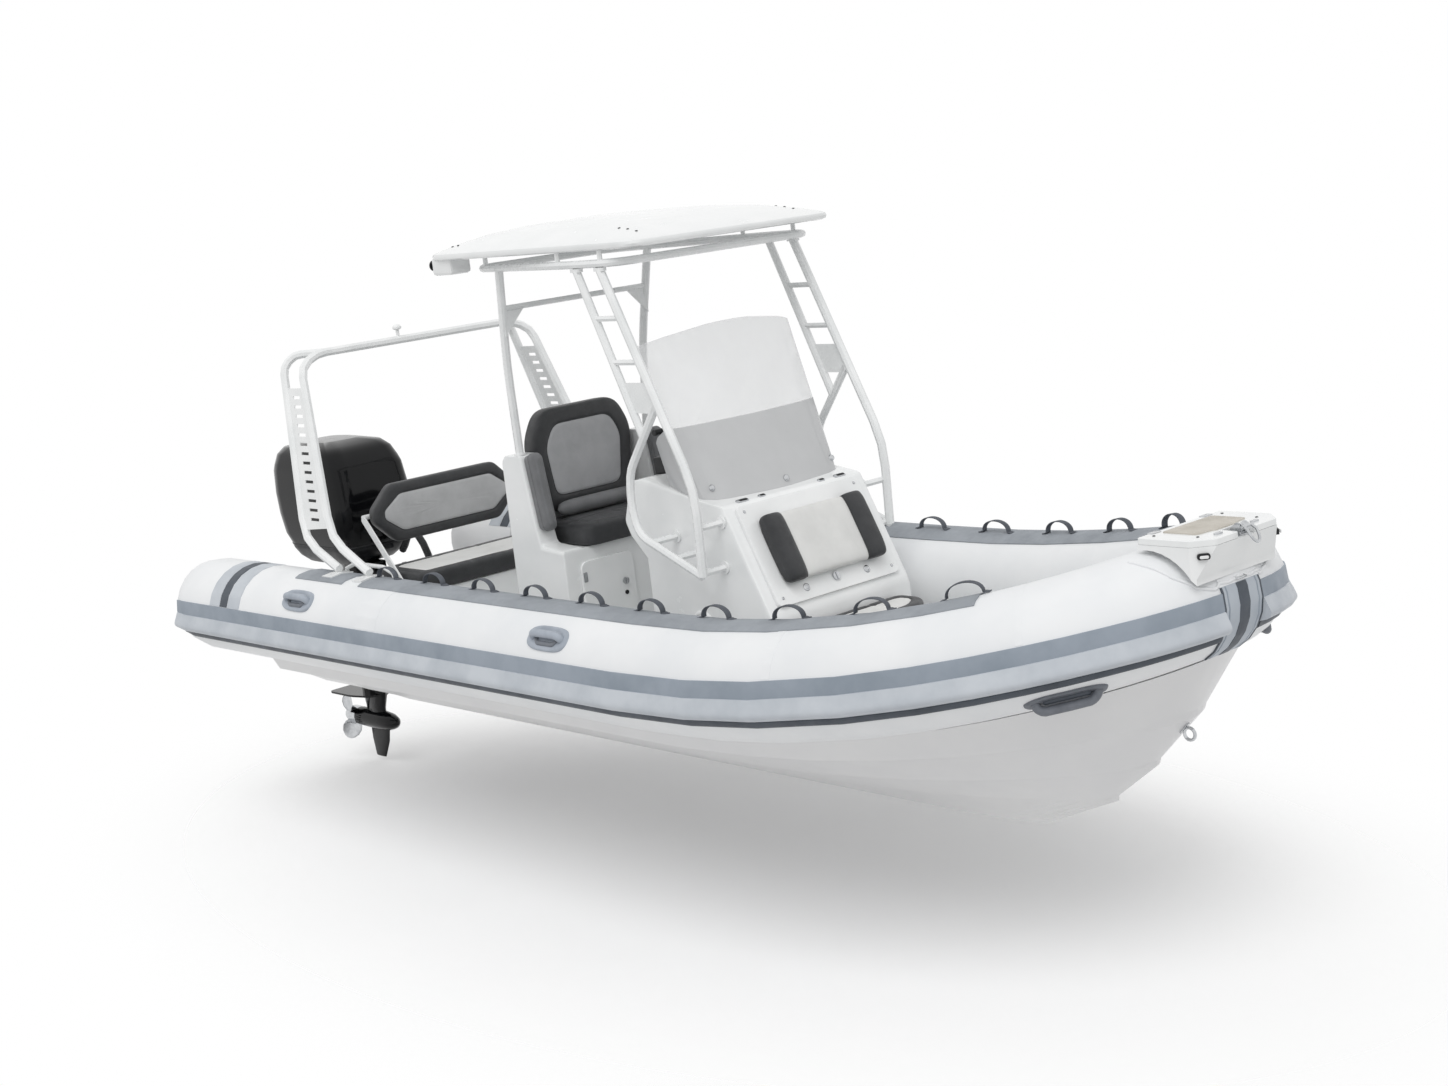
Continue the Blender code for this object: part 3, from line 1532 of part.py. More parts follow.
def build_lid(front_x):
    """Make the locker lid with its notch for the roller."""
    half = LOCKER_WIDTH / 2
    notch = LID_NOTCH_WIDTH / 2
    outline = [
        (LOCKER_AFT_X, -half),
        (front_x - LOCKER_CHAMFER, -half),
        (front_x, -half + LOCKER_CHAMFER),
        (front_x, -notch),
        (front_x - LID_NOTCH_DEPTH, -notch),
        (front_x - LID_NOTCH_DEPTH, notch),
        (front_x, notch),
        (front_x, half - LOCKER_CHAMFER),
        (front_x - LOCKER_CHAMFER, half),
        (LOCKER_AFT_X, half),
    ]
    base = LOCKER_TOP_Z + SEAT_GAP
    corners = rounded(outline, LOCKER_EDGE, 2)
    lid = flat("anchor_locker_lid", corners, LID_THICKNESS, "XY", base + LID_THICKNESS / 2, GELCOAT)
    set_origin(lid, (LOCKER_AFT_X, 0.0, base))
    add_bevel(lid, LID_THICKNESS * LID_EDGE_SHARE, 1, LID_EDGE_DEGREES)


def build_roller():
    """Make the bow roller and the bracket that carries its pin."""
    base = LOCKER_TOP_Z + SEAT_GAP
    axle_z = base + BRACKET_PLATE + ROLLER_RADIUS + SINK
    centre_x = ROLLER_X - ROLLER_RADIUS
    outer = ROLLER_LENGTH + 2 * (SINK / 2 + BRACKET_PLATE)
    bracket = box(
        "bow_roller_bracket",
        (BRACKET_LENGTH, outer, BRACKET_PLATE),
        (centre_x, 0.0, base + BRACKET_PLATE / 2),
        STEEL,
    )
    for side in (-1, 1):
        y = side * (outer - BRACKET_PLATE) / 2
        outline = [
            (centre_x - BRACKET_LENGTH / 2, base + BRACKET_PLATE / 2),
            (centre_x + BRACKET_LENGTH / 2, base + BRACKET_PLATE / 2),
            (ROLLER_X + ROLLER_WAIST_RADIUS, base + BRACKET_HEIGHT),
            (ROLLER_X - ROLLER_WAIST_RADIUS, base + BRACKET_HEIGHT),
        ]
        cheek = flat("roller_cheek", rounded(outline, BRACKET_PLATE), BRACKET_PLATE, "XZ", y, STEEL)
        join(bracket, cheek)
    place = (ROLLER_X, 0, axle_z)
    pin = cylinder("roller_pin", ROLLER_PIN_RADIUS, outer - SINK / 2, place, (0, 1, 0), STEEL)
    join(bracket, pin)
    half = ROLLER_LENGTH / 2
    profile = [
        (ROLLER_BORE_RADIUS, half),
        (ROLLER_RADIUS, half),
        (ROLLER_WAIST_RADIUS, 0.0),
        (ROLLER_RADIUS, -half),
        (ROLLER_BORE_RADIUS, -half),
        (ROLLER_BORE_RADIUS, half),
    ]
    turned("bow_roller", profile, (ROLLER_X, 0.0, axle_z), (0, 1, 0), PLASTIC_BLACK)


def build_nav_lights(front_x):
    """Make the oval side lights on the locker's front corners."""
    for side, word in ((-1, "starboard"), (1, "port")):
        normal = Vector((1, side, 0)).normalized()
        middle = Vector((front_x - LOCKER_CHAMFER / 2, side * (LOCKER_WIDTH - LOCKER_CHAMFER) / 2, 0))
        along = Vector((-normal.y, normal.x, 0))
        depth = LOCKER_TOP_Z - NAV_LIGHT_HEIGHT - NAV_LIGHT_DEPTH
        frame = Matrix((along, Vector((0, 0, 1)), normal)).transposed().to_4x4()
        frame = Matrix.Translation(middle + normal * SEAT_GAP + Vector((0, 0, depth))) @ frame
        outline = plate_outline(NAV_LIGHT_WIDTH, NAV_LIGHT_HEIGHT, NAV_LIGHT_HEIGHT / 2, 3)
        name = "nav_light_" + word
        light = flat(name, outline, NAV_LIGHT_DEPTH, "XY", NAV_LIGHT_DEPTH / 2, PLASTIC_BLACK)
        placed(light, frame)


def build_bow_eye():
    """Make the towing eye on the stem."""
    stem = hull_section(float(LAST), DECK_Z)
    low = stem[BOW_EYE_POINT]
    high = stem[BOW_EYE_POINT + 1]
    along = (high - low).normalized()
    normal = Vector((along.z, 0.0, -along.x))
    place = low.lerp(high, BOW_EYE_SHARE) + normal * SEAT_GAP
    centre = place + normal * BOW_EYE_PLATE / 2
    size = (2 * BOW_EYE_PLATE_RADIUS, 2 * BOW_EYE_WIRE, BOW_EYE_PLATE)
    frame = Matrix((along, normal.cross(along), normal)).transposed().to_4x4()
    frame.translation = centre
    base = placed(box("bow_eye", size, (0, 0, 0), STEEL), frame)
    path = []
    for step in range(EYE_STEPS):
        turn = 2 * math.pi * step / EYE_STEPS
        reach = BOW_EYE_RADIUS + BOW_EYE_WIRE + BOW_EYE_PLATE / 4
        middle = place + normal * reach
        path.append(middle + (along * math.cos(turn) + normal * math.sin(turn)) * BOW_EYE_RADIUS)
    join(base, tube("eye_ring", path, BOW_EYE_WIRE, STEEL, cyclic=True, resolution=1))


def console_profile():
    """Return the console's side outline."""
    base = DECK_Z + DECK_THICKNESS + SEAT_GAP
    return from_shares(CONSOLE_PROFILE_SHARES, CONSOLE_AFT_X, base, CONSOLE_LENGTH, CONSOLE_HEIGHT)


def opened(outline, base, drop):
    """Return an outline whose lowest points are carried down by a drop."""
    return [(x, z - drop if z < base + CONSOLE_EDGE else z) for x, z in outline]


def seat_plan(front_x, half_width, aft_x):
    """Return the plan of the seat ahead of the console."""
    return [
        (aft_x, -half_width),
        (front_x - SEAT_CHAMFER, -half_width),
        (front_x, -half_width + SEAT_CHAMFER),
        (front_x, half_width - SEAT_CHAMFER),
        (front_x - SEAT_CHAMFER, half_width),
        (aft_x, half_width),
    ]


def build_console():
    """Make the console moulding with the seat base ahead of it."""
    profile = console_profile()
    base = DECK_Z + DECK_THICKNESS + SEAT_GAP
    body = profile_prism("console", profile, CONSOLE_WIDTH, GELCOAT)
    add_bevel(body, CONSOLE_EDGE, 2)
    front_x = profile[-1][0]
    seat_height = SEAT_BASE_Z - base
    plan = rounded(seat_plan(SEAT_FRONT_X, SEAT_WIDTH / 2, front_x - CONSOLE_WALL), CONSOLE_EDGE, 2)
    seat = flat("seat_base", plan, seat_height, "XY", base + seat_height / 2, GELCOAT)
    join(body, seat)
    hollow = opened(inset(profile, CONSOLE_WALL), base, OVERRUN)
    cut(body, profile_prism("console_hollow", hollow, CONSOLE_WIDTH - 2 * CONSOLE_WALL, GELCOAT))
    inner = seat_plan(SEAT_FRONT_X - CONSOLE_WALL, SEAT_WIDTH / 2 - CONSOLE_WALL, front_x + SINK)
    depth = seat_height - CONSOLE_WALL + OVERRUN
    middle = base - OVERRUN + depth / 2
    cut(body, flat("seat_hollow", rounded(inner, CONSOLE_EDGE, 2), depth, "XY", middle, GELCOAT))
    build_console_door(body, profile)
    pad = seat_plan(SEAT_FRONT_X + SINK, SEAT_WIDTH / 2, front_x + SEAT_GAP + SINK)
    frame = Matrix.Translation((0.0, 0.0, SEAT_BASE_Z + SEAT_GAP))
    outline = rounded(pad, CONSOLE_EDGE, 2)
    soft_pad("front_seat_cushion", outline, SEAT_CUSHION, CUSHION_SHARES, VINYL_GREY, frame)


def build_console_door(body, profile):
    """Make the sloped door with its backrest and latch, and cut its hole."""
    first = profile[CONSOLE_FRONT_POINT]
    second = profile[CONSOLE_FRONT_POINT + 1]
    run = edge_length(first, second)
    frame = face_frame(first, second)
    start = run * DOOR_TOP_SHARE
    length = run * (DOOR_BOTTOM_SHARE - DOOR_TOP_SHARE)
    hole = box(
        "door_hole",
        (length - 2 * DOOR_OVERLAP, DOOR_WIDTH - 2 * DOOR_OVERLAP, 2 * CONSOLE_WALL + 2 * SINK),
        (start + length / 2, 0.0, 0.0),
        GELCOAT,
    )
    cut(body, placed(hole, frame))
    outline = plate_outline(length, DOOR_WIDTH, DOOR_CORNER)
    door = flat("console_door", outline, DOOR_THICKNESS, "XY", SEAT_GAP + DOOR_THICKNESS / 2, GELCOAT)
    door.location.x = start + length / 2
    placed(door, frame)
    set_origin(door, frame @ Vector((start, 0.0, SEAT_GAP)))
    add_bevel(door, DOOR_EDGE, 2, LID_EDGE_DEGREES)
    surface = DOOR_THICKNESS + 2 * SEAT_GAP
    spot = Matrix.Translation((start + length * BACKREST_PLACE_SHARE, 0.0, surface))
    bolstered_pad(
        "console_door_cushion",
        BACKREST_WIDTH,
        BACKREST_HEIGHT,
        BACKREST_THICKNESS,
        BACKREST_SHARES,
        VINYL_GREY,
        frame @ spot,
    )
    place = Vector((start + length * LATCH_PLACE_SHARE, 0.0, surface))
    quarter_turn("door_latch", frame @ Matrix.Translation(place), LATCH_RADIUS, LATCH_HEIGHT, STEEL)


def quarter_turn(name, frame, radius, height, look):
    """Make a round turning latch with a raised grip bar."""
    disc = placed(cylinder(name, radius, height, (0, 0, height / 2), (0, 0, 1), look), frame)
    size = (radius * LATCH_BAR_LENGTH_SHARE, radius * LATCH_BAR_WIDTH_SHARE, LATCH_HANDLE)
    bar = placed(box(name + "_bar", size, (0, 0, height), look, LATCH_HANDLE / 4), frame)
    join(disc, bar)
    return set_origin(disc, frame.translation)


def console_top_z(x, profile):
    """Return the console's top height at x, ahead of the dash."""
    for first, second in zip(profile, profile[1:]):
        if first[0] <= x <= second[0] and second[0] > first[0] and first[1] > SEAT_BASE_Z:
            share = (x - first[0]) / (second[0] - first[0])
            return first[1] + (second[1] - first[1]) * share
    return profile[CONSOLE_SCREEN_POINT][1]


def skin(name, rows, thickness, look):
    """Give a grid of points a thickness, as a moulded sheet."""
    bm = bmesh.new()
    grid = [[bm.verts.new(point) for point in row] for row in rows]
    for low, high in zip(grid, grid[1:]):
        for index in range(len(low) - 1):
            bm.faces.new((low[index], low[index + 1], high[index + 1], high[index]))
    made = add_object(name, mesh_of(name, bm), look)
    solid = made.modifiers.new("sheet_thickness", "SOLIDIFY")
    solid.thickness = thickness
    solid.offset = 0.0
    solid.use_even_offset = True
    return made


def build_screens():
    """Make the wrapped lower windscreen and the curved upper screen."""
    profile = console_profile()
    half = SCREEN_HALF_WIDTH
    corner_x = SCREEN_BASE_X - SCREEN_BOW
    aft_x = corner_x - SCREEN_WING
    plan = [(aft_x, -half), (corner_x, -half), (SCREEN_BASE_X, 0.0), (corner_x, half), (aft_x, half)]
    path = rounded(plan, SCREEN_CORNER, 3)
    rows = []
    for step in range(SCREEN_STEPS + 1):
        level = step / SCREEN_STEPS
        row = []
        for x, y in path:
            aft = max(corner_x - x, 0.0) / SCREEN_WING
            base = console_top_z(x, profile) - SINK
            top = SCREEN_TOP_Z + SINK - SCREEN_WING_DROP * aft ** 2
            lean = SCREEN_RAKE * (1.0 - aft)
            flare = 1.0 + SCREEN_FLARE_SHARE * level
            row.append(Vector((x - lean * level, y * flare, base + (top - base) * level)))
        rows.append(row)
    lower = skin("windscreen_lower", rows, SCREEN_THICKNESS, ACRYLIC)
    cut(lower, profile_prism("screen_foot", inset(profile, -SEAT_GAP), CONSOLE_WIDTH + OVERRUN, ACRYLIC))
    cut(lower, level_cutter("screen_head", SCREEN_TOP_Z, 1))
    build_upper_screen(rows[-1])


def level_cutter(name, z, side):
    """Return a block above or below a level, over the screens."""
    size = (CONSOLE_LENGTH * 2, CONSOLE_WIDTH * 2, OVERRUN * 2)
    return box(name, size, (SCREEN_BASE_X, 0.0, z + side * OVERRUN), ACRYLIC)


def build_upper_screen(edge):
    """Make the clear screen that continues the lower one up to the hardtop."""
    front = [point for point in edge if point.z > SCREEN_TOP_Z]
    reach = max(abs(point.y) for point in front)
    rows = []
    for step in range(UPPER_SCREEN_STEPS + 1):
        level = step / UPPER_SCREEN_STEPS
        row = []
        for point in front:
            across = point.y / reach
            rise = UPPER_SCREEN_Z - SCREEN_TOP_Z + SINK + UPPER_SCREEN_CROWN * (1.0 - across ** 2)
            x = point.x - (UPPER_SCREEN_RAKE + UPPER_SCREEN_BOW * across ** 2) * level
            y = point.y * (1.0 + UPPER_SCREEN_FLARE_SHARE * level)
            row.append(Vector((x, y, SCREEN_TOP_Z - SINK + rise * level)))
        rows.append(row)
    upper = skin("windscreen_upper", rows, SCREEN_THICKNESS, ACRYLIC)
    cut(upper, level_cutter("upper_foot", SCREEN_TOP_Z + SEAT_GAP, -1))


def build_helm_controls():
    """Make the wheel on the dash and the throttle on the console top."""
    profile = console_profile()
    dash = face_frame(profile[CONSOLE_DASH_POINT], profile[CONSOLE_DASH_POINT + 1])
    run = edge_length(profile[CONSOLE_DASH_POINT], profile[CONSOLE_DASH_POINT + 1])
    frame = dash @ Matrix.Translation((run * WHEEL_PLACE_SHARE, WHEEL_Y, SEAT_GAP))
    rim = []
    for step in range(RIM_STEPS):
        turn = 2 * math.pi * step / RIM_STEPS
        rim.append((WHEEL_RADIUS * math.cos(turn), WHEEL_RADIUS * math.sin(turn), WHEEL_STANDOFF))
    wheel = placed(tube("steering_wheel", rim, WHEEL_RIM_RADIUS, PLASTIC_BLACK, True, 1), frame)
    hub = [
        (0.0, WHEEL_STANDOFF + WHEEL_HUB_LENGTH / 2),
        (WHEEL_HUB_RADIUS * WHEEL_HUB_NOSE_SHARE, WHEEL_STANDOFF + WHEEL_HUB_LENGTH / 2),
        (WHEEL_HUB_RADIUS, WHEEL_STANDOFF + WHEEL_HUB_LENGTH / 4),
        (WHEEL_HUB_RADIUS, WHEEL_STANDOFF - WHEEL_HUB_LENGTH / 2),
        (WHEEL_SHAFT_RADIUS, WHEEL_STANDOFF - WHEEL_HUB_LENGTH),
        (WHEEL_SHAFT_RADIUS, WHEEL_HUB_LENGTH / 2),
        (WHEEL_HUB_RADIUS, WHEEL_HUB_LENGTH / 4),
        (WHEEL_HUB_RADIUS, 0.0),
        (0.0, 0.0),
    ]
    parts_of_wheel = [placed(turned("wheel_hub", hub, (0, 0, 0), (0, 0, 1), PLASTIC_BLACK), frame)]
    for number in range(WHEEL_SPOKE_COUNT):
        turn = Matrix.Rotation(2 * math.pi * number / WHEEL_SPOKE_COUNT, 4, "Z")
        size = (WHEEL_RADIUS, WHEEL_SPOKE_WIDTH, WHEEL_SPOKE_THICKNESS)
        spoke = box("wheel_spoke", size, (WHEEL_RADIUS / 2, 0.0, WHEEL_STANDOFF), STEEL)
        parts_of_wheel.append(placed(spoke, frame @ turn))
    join(wheel, *parts_of_wheel)
    set_origin(wheel, frame.translation)
    build_throttle(profile)


def build_throttle(profile):
    """Make the throttle box and its lever."""
    first = profile[CONSOLE_DASH_POINT + 1]
    second = profile[CONSOLE_DASH_POINT + 2]
    top = face_frame(first, second)
    along = (BINNACLE_X - first[0]) / (second[0] - first[0]) * edge_length(first, second)
    frame = top @ Matrix.Translation((along, BINNACLE_Y, SEAT_GAP))
    size = (BINNACLE_LENGTH, BINNACLE_WIDTH, BINNACLE_HEIGHT)
    middle = (0.0, 0.0, BINNACLE_HEIGHT / 2)
    placed(box("throttle_box", size, middle, PLASTIC_BLACK, LEVER_THICKNESS), frame)
    pivot_z = BINNACLE_HEIGHT * LEVER_PIVOT_SHARE
    y = BINNACLE_WIDTH / 2 + SEAT_GAP + LEVER_THICKNESS / 2
    radius = LEVER_GRIP_RADIUS
    lever = cylinder("throttle_lever", radius, LEVER_THICKNESS, (0, y, pivot_z), (0, 1, 0), PLASTIC_BLACK)
    placed(lever, frame)
    size = (LEVER_WIDTH, LEVER_THICKNESS, LEVER_LENGTH)
    arm = placed(box("lever_arm", size, (0, y, pivot_z + LEVER_LENGTH / 2), PLASTIC_BLACK), frame)
    centre = (0, y - LEVER_GRIP_LENGTH / 2 + LEVER_THICKNESS / 2, pivot_z + LEVER_LENGTH)
    grip = cylinder("lever_grip", radius, LEVER_GRIP_LENGTH, centre, (0, 1, 0), PLASTIC_BLACK)
    placed(grip, frame)
    join(lever, arm, grip)
    set_origin(lever, frame @ Vector((0, y, pivot_z)))


def ring_half(x):
    """Return the half width of the hardtop ring at x."""
    front_x = REAR_LEG_TOP_X - FRAME_TUBE_RADIUS * 2
    share = min(max((front_x - x) / (front_x - RING_AFT_X), 0.0), 1.0)
    return FRAME_Y + (RING_AFT_HALF - FRAME_Y) * share


def build_side_frames():
    """Make the ladder-like side frames that carry the hardtop's front."""
    top_z = RING_Z - RING_TUBE_RADIUS - SEAT_GAP
    thin = FRAME_TUBE_RADIUS * GRAB_SHARE
    for side, word in ((-1, "starboard"), (1, "port")):
        y = side * FRAME_Y
        front = [
            (FRONT_LEG_TOP_X, y, top_z - FRAME_TUBE_RADIUS / 2),
            (FRONT_LEG_BEND_X, y, FRONT_LEG_BEND_Z),
            (FRONT_LEG_FOOT_X, y, FRONT_LEG_FOOT_Z),
        ]
        grab = [
            (LOOP_TOP_X, y, LOOP_TOP_Z),
            (GRAB_UPPER_X, y, GRAB_UPPER_Z),
            (GRAB_AFT_X, y, GRAB_AFT_Z),
            (GRAB_LOWER_X, y, GRAB_LOWER_Z),
            (FRONT_LEG_FOOT_X, y, FRONT_LEG_FOOT_Z),
        ]
        rear = [(REAR_LEG_TOP_X, y, top_z - FRAME_TUBE_RADIUS / 2), (LOOP_JOINT_X, y, LOOP_JOINT_Z)]
        frame = tube("ttop_frame_" + word, filleted(front, BEND_RADIUS), FRAME_TUBE_RADIUS, ALLOY_WHITE)
        pieces = [
            tube("grab_tube", filleted(grab, BEND_RADIUS / 2, 3), thin, ALLOY_WHITE),
            tube("rear_leg", rear, thin, ALLOY_WHITE),
        ]
        pieces += frame_rungs(y, top_z)
        pieces += frame_feet(side, top_z)
        join(frame, *pieces)


def leg_x(z, top_x, top_z, low_x, low_z):
    """Return where a straight leg stands at a height."""
    return top_x + (low_x - top_x) * (top_z - z) / (top_z - low_z)


def frame_rungs(y, top_z):
    """Return the rungs and the gusset between the two legs of a side frame."""
    def rear_x(z):
        return leg_x(z, REAR_LEG_TOP_X, top_z, LOOP_JOINT_X, LOOP_JOINT_Z)

    def front_x(z):
        return leg_x(z, FRONT_LEG_TOP_X, top_z, FRONT_LEG_BEND_X, FRONT_LEG_BEND_Z)

    made = []
    for share in RUNG_SHARES:
        z = top_z + (LOOP_JOINT_Z - top_z) * share
        ends = [(rear_x(z), y, z), (front_x(z), y, z)]
        made.append(tube("rung", ends, RUNG_RADIUS, ALLOY_WHITE, resolution=1))
    low, high = (top_z + (LOOP_JOINT_Z - top_z) * share for share in reversed(GUSSET_SHARES))
    outline = [(rear_x(low), low), (front_x(low), low), (front_x(high), high), (rear_x(high), high)]
    made.append(flat("gusset", outline, GUSSET_THICKNESS, "XZ", y, ALLOY_WHITE))
    return made


def frame_feet(side, top_z):
    """Return the stand-offs to the console and the pads under the ring."""
    y = side * FRAME_Y
    inner = side * (CONSOLE_WIDTH / 2 + SEAT_GAP)
    made = []
    low_run = (GRAB_LOWER_Z - FRONT_LEG_FOOT_Z) / (FRONT_LEG_FOOT_X - GRAB_LOWER_X)
    for share in STANDOFF_SHARES:
        x = GRAB_LOWER_X + (FRONT_LEG_FOOT_X - GRAB_LOWER_X) * share
        made += standoff(x, GRAB_LOWER_Z - (x - GRAB_LOWER_X) * low_run, inner, y, side)
    upper_z = FRONT_LEG_FOOT_Z + (FRONT_LEG_BEND_Z - FRONT_LEG_FOOT_Z) * STANDOFF_RISE_SHARE
    made += standoff(FRONT_LEG_FOOT_X - FRAME_TUBE_RADIUS / 2, upper_z, inner, y, side)
    for x in (FRONT_LEG_TOP_X, REAR_LEG_TOP_X):
        size = (FLANGE_RADIUS * 2, FLANGE_RADIUS, LEG_PAD_THICKNESS)
        made.append(box("leg_pad", size, (x, y, top_z - LEG_PAD_THICKNESS / 2), ALLOY_WHITE))
    return made


def standoff(x, z, inner, outer, side):
    """Return a short tube with a round flange against the console side."""
    ends = [(x, inner + side * SINK, z), (x, outer, z)]
    post = tube("standoff", ends, STANDOFF_RADIUS, ALLOY_WHITE, resolution=1)
    return [post, round_flange("standoff_flange", (x, inner + side * FLANGE_THICKNESS / 2, z), (0, 1, 0))]


def round_flange(name, centre, axis):
    """Return the round flange that a tube's end is welded to."""
    return cylinder(name, FLANGE_RADIUS, FLANGE_THICKNESS, centre, axis, ALLOY_WHITE, FLANGE_SIDES)


def build_aft_frame():
    """Make the welded ring under the roof with the legs on the helm pod."""
    foot_z = DECK_Z + DECK_THICKNESS + POD_HEIGHT + 2 * SEAT_GAP
    front_x = REAR_LEG_TOP_X - FRAME_TUBE_RADIUS * 2
    plan = [
        (RING_FRONT_X, -FRAME_Y),
        (front_x, -FRAME_Y),
        (RING_AFT_X, -RING_AFT_HALF),
        (RING_AFT_X, RING_AFT_HALF),
        (front_x, FRAME_Y),
        (RING_FRONT_X, FRAME_Y),
    ]
    path = [(x, y, RING_Z) for x, y in rounded(plan, BEND_RADIUS, 4)]
    ring = tube("ttop_aft_frame", path, RING_TUBE_RADIUS, ALLOY_WHITE, cyclic=True)
    pieces = []
    for side in (-1, 1):
        top_y = side * ring_half(AFT_LEG_TOP_X)
        points = [
            (AFT_LEG_FOOT_X, side * AFT_LEG_FOOT_Y, foot_z + SINK),
            (AFT_LEG_BEND_X, side * AFT_LEG_Y, AFT_LEG_BEND_Z),
            (AFT_LEG_TOP_X, top_y, RING_Z),
        ]
        pieces.append(tube("aft_leg", filleted(points, BEND_RADIUS), FRAME_TUBE_RADIUS, ALLOY_WHITE))
        centre = (AFT_LEG_FOOT_X, side * AFT_LEG_FOOT_Y, foot_z + FLANGE_THICKNESS / 2)
        pieces.append(round_flange("leg_flange", centre, (0, 0, 1)))
        pieces.append(aft_gusset(side))
    bar_x = leg_x(AFT_LEG_BAR_Z, AFT_LEG_TOP_X, RING_Z, AFT_LEG_BEND_X, AFT_LEG_BEND_Z)
    bar_y = AFT_LEG_Y + (ring_half(AFT_LEG_TOP_X) - AFT_LEG_Y) * AFT_GUSSET_LEVEL_SHARE
    ends = [(bar_x, -bar_y, AFT_LEG_BAR_Z), (bar_x, bar_y, AFT_LEG_BAR_Z)]
    pieces.append(tube("aft_bar", ends, RUNG_RADIUS, ALLOY_WHITE))
    for x in (RING_FRONT_X - BEND_RADIUS, front_x - BEND_RADIUS, RING_AFT_X + BEND_RADIUS):
        for side in (-1, 1):
            y = side * ring_half(x)
            ends = [(x, y, RING_Z), (x, y, ROOF_Z - SEAT_GAP)]
            pieces.append(tube("stub", ends, STUB_RADIUS, ALLOY_WHITE, resolution=1))
    join(ring, *pieces)


def aft_gusset(side):
    """Return the corner plate between an aft leg and its crossbar."""
    bar_x = leg_x(AFT_LEG_BAR_Z, AFT_LEG_TOP_X, RING_Z, AFT_LEG_BEND_X, AFT_LEG_BEND_Z)
    y = AFT_LEG_Y + (ring_half(AFT_LEG_TOP_X) - AFT_LEG_Y) * AFT_GUSSET_LEVEL_SHARE
    outline = [
        (side * y, AFT_LEG_BAR_Z),
        (side * (y - AFT_GUSSET), AFT_LEG_BAR_Z),
        (side * y, AFT_LEG_BAR_Z - AFT_GUSSET),
    ]
    return flat("aft_gusset", outline, GUSSET_THICKNESS, "YZ", bar_x, ALLOY_WHITE)


def build_roof():
    """Make the crowned hardtop with its dropped aft corner pods."""
    plan = [
        (ROOF_AFT_X, -ROOF_AFT_HALF),
        (ROOF_FRONT_X, -ROOF_FRONT_HALF),
        (ROOF_FRONT_X, ROOF_FRONT_HALF),
        (ROOF_AFT_X, ROOF_AFT_HALF),
    ]
    outline = rounded(plan, ROOF_CORNER, 3)
    frame = Matrix.Translation((0.0, 0.0, ROOF_Z))
    height = ROOF_THICKNESS + ROOF_CROWN
    roof = soft_pad("ttop_roof", outline, height, ROOF_SHARES, GELCOAT, frame)
    for side in (-1, 1):
        centre = (
            ROOF_AFT_X + ROOF_POD_LENGTH * ROOF_POD_SHARE,
            side * (ROOF_AFT_HALF - ROOF_POD_WIDTH * ROOF_POD_SHARE),
            ROOF_Z - ROOF_POD_DROP / 2 + ROOF_THICKNESS / 4,
        )
        size = (ROOF_POD_LENGTH, ROOF_POD_WIDTH, ROOF_POD_DROP + ROOF_THICKNESS / 2)
        join(roof, box("roof_pod", size, centre, GELCOAT, ROOF_THICKNESS / 2))


def build_pod():
    """Make the helm seat pod with its pocket, hollow and door hole."""
    base = DECK_Z + DECK_THICKNESS + SEAT_GAP
    profile = from_shares(POD_PROFILE_SHARES, POD_AFT_X, base, POD_LENGTH, POD_HEIGHT)
    body = profile_prism("helm_pod", profile, POD_WIDTH, GELCOAT)
    add_bevel(body, POD_EDGE, 2)
    pocket_z = profile[POD_LEDGE_POINT][1] - SINK * 2
    pocket_x = POD_AFT_X + POD_LENGTH * POD_BACK_SHARE
    size = (POD_LENGTH + OVERRUN, POCKET_WIDTH, POD_HEIGHT)
    centre = (pocket_x + size[0] / 2, 0.0, pocket_z + size[2] / 2)
    cut(body, box("pod_pocket", size, centre, GELCOAT, POD_EDGE, 2))
    inner_length = POD_LENGTH * (1 - POD_BACK_SHARE / 2) - 2 * POD_WALL
    height = pocket_z - base - POD_WALL + OVERRUN
    front_x = POD_AFT_X + POD_LENGTH
    centre = (front_x - POD_WALL - inner_length / 2, 0.0, base - OVERRUN + height / 2)
    cut(body, box("pod_hollow", (inner_length, POD_WIDTH - 2 * POD_WALL, height), centre, GELCOAT))
    build_pod_door(body, front_x)
    frame = Matrix.Translation((HELM_SEAT_FRONT_X - HELM_SEAT_LENGTH / 2, 0.0, pocket_z + SEAT_GAP))
    outline = plate_outline(HELM_SEAT_LENGTH, HELM_SEAT_WIDTH, BOLSTER_WIDTH, 4)
    soft_pad("helm_seat_cushion", outline, HELM_SEAT_THICKNESS, CUSHION_SHARES, VINYL_DARK, frame)
    back_z = pocket_z + HELM_SEAT_THICKNESS + HELM_BACK_LIFT
    build_pod_back(pocket_x, back_z)
    build_bolsters(profile)


def build_pod_back(x, base):
    """Make the helm back cushion against the pod's back wall."""
    outline = [
        (HELM_BACK_HEIGHT * up, HELM_BACK_WIDTH / 2 * across)
        for across, up in HELM_BACK_OUTLINE_SHARES
    ]
    frame = Matrix.Translation((x + SEAT_GAP, 0.0, base)) @ facing_forward()
    pad = rounded(outline, BOLSTER_WIDTH, 2)
    soft_pad("helm_back_cushion", pad, HELM_BACK_THICKNESS, CUSHION_SHARES, VINYL_DARK, frame)


def facing_forward():
    """Return a turn whose X is up, whose Y is starboard and whose Z is ahead."""
    return Matrix(((0, 0, 1, 0), (0, -1, 0, 0), (1, 0, 0, 0), (0, 0, 0, 1)))


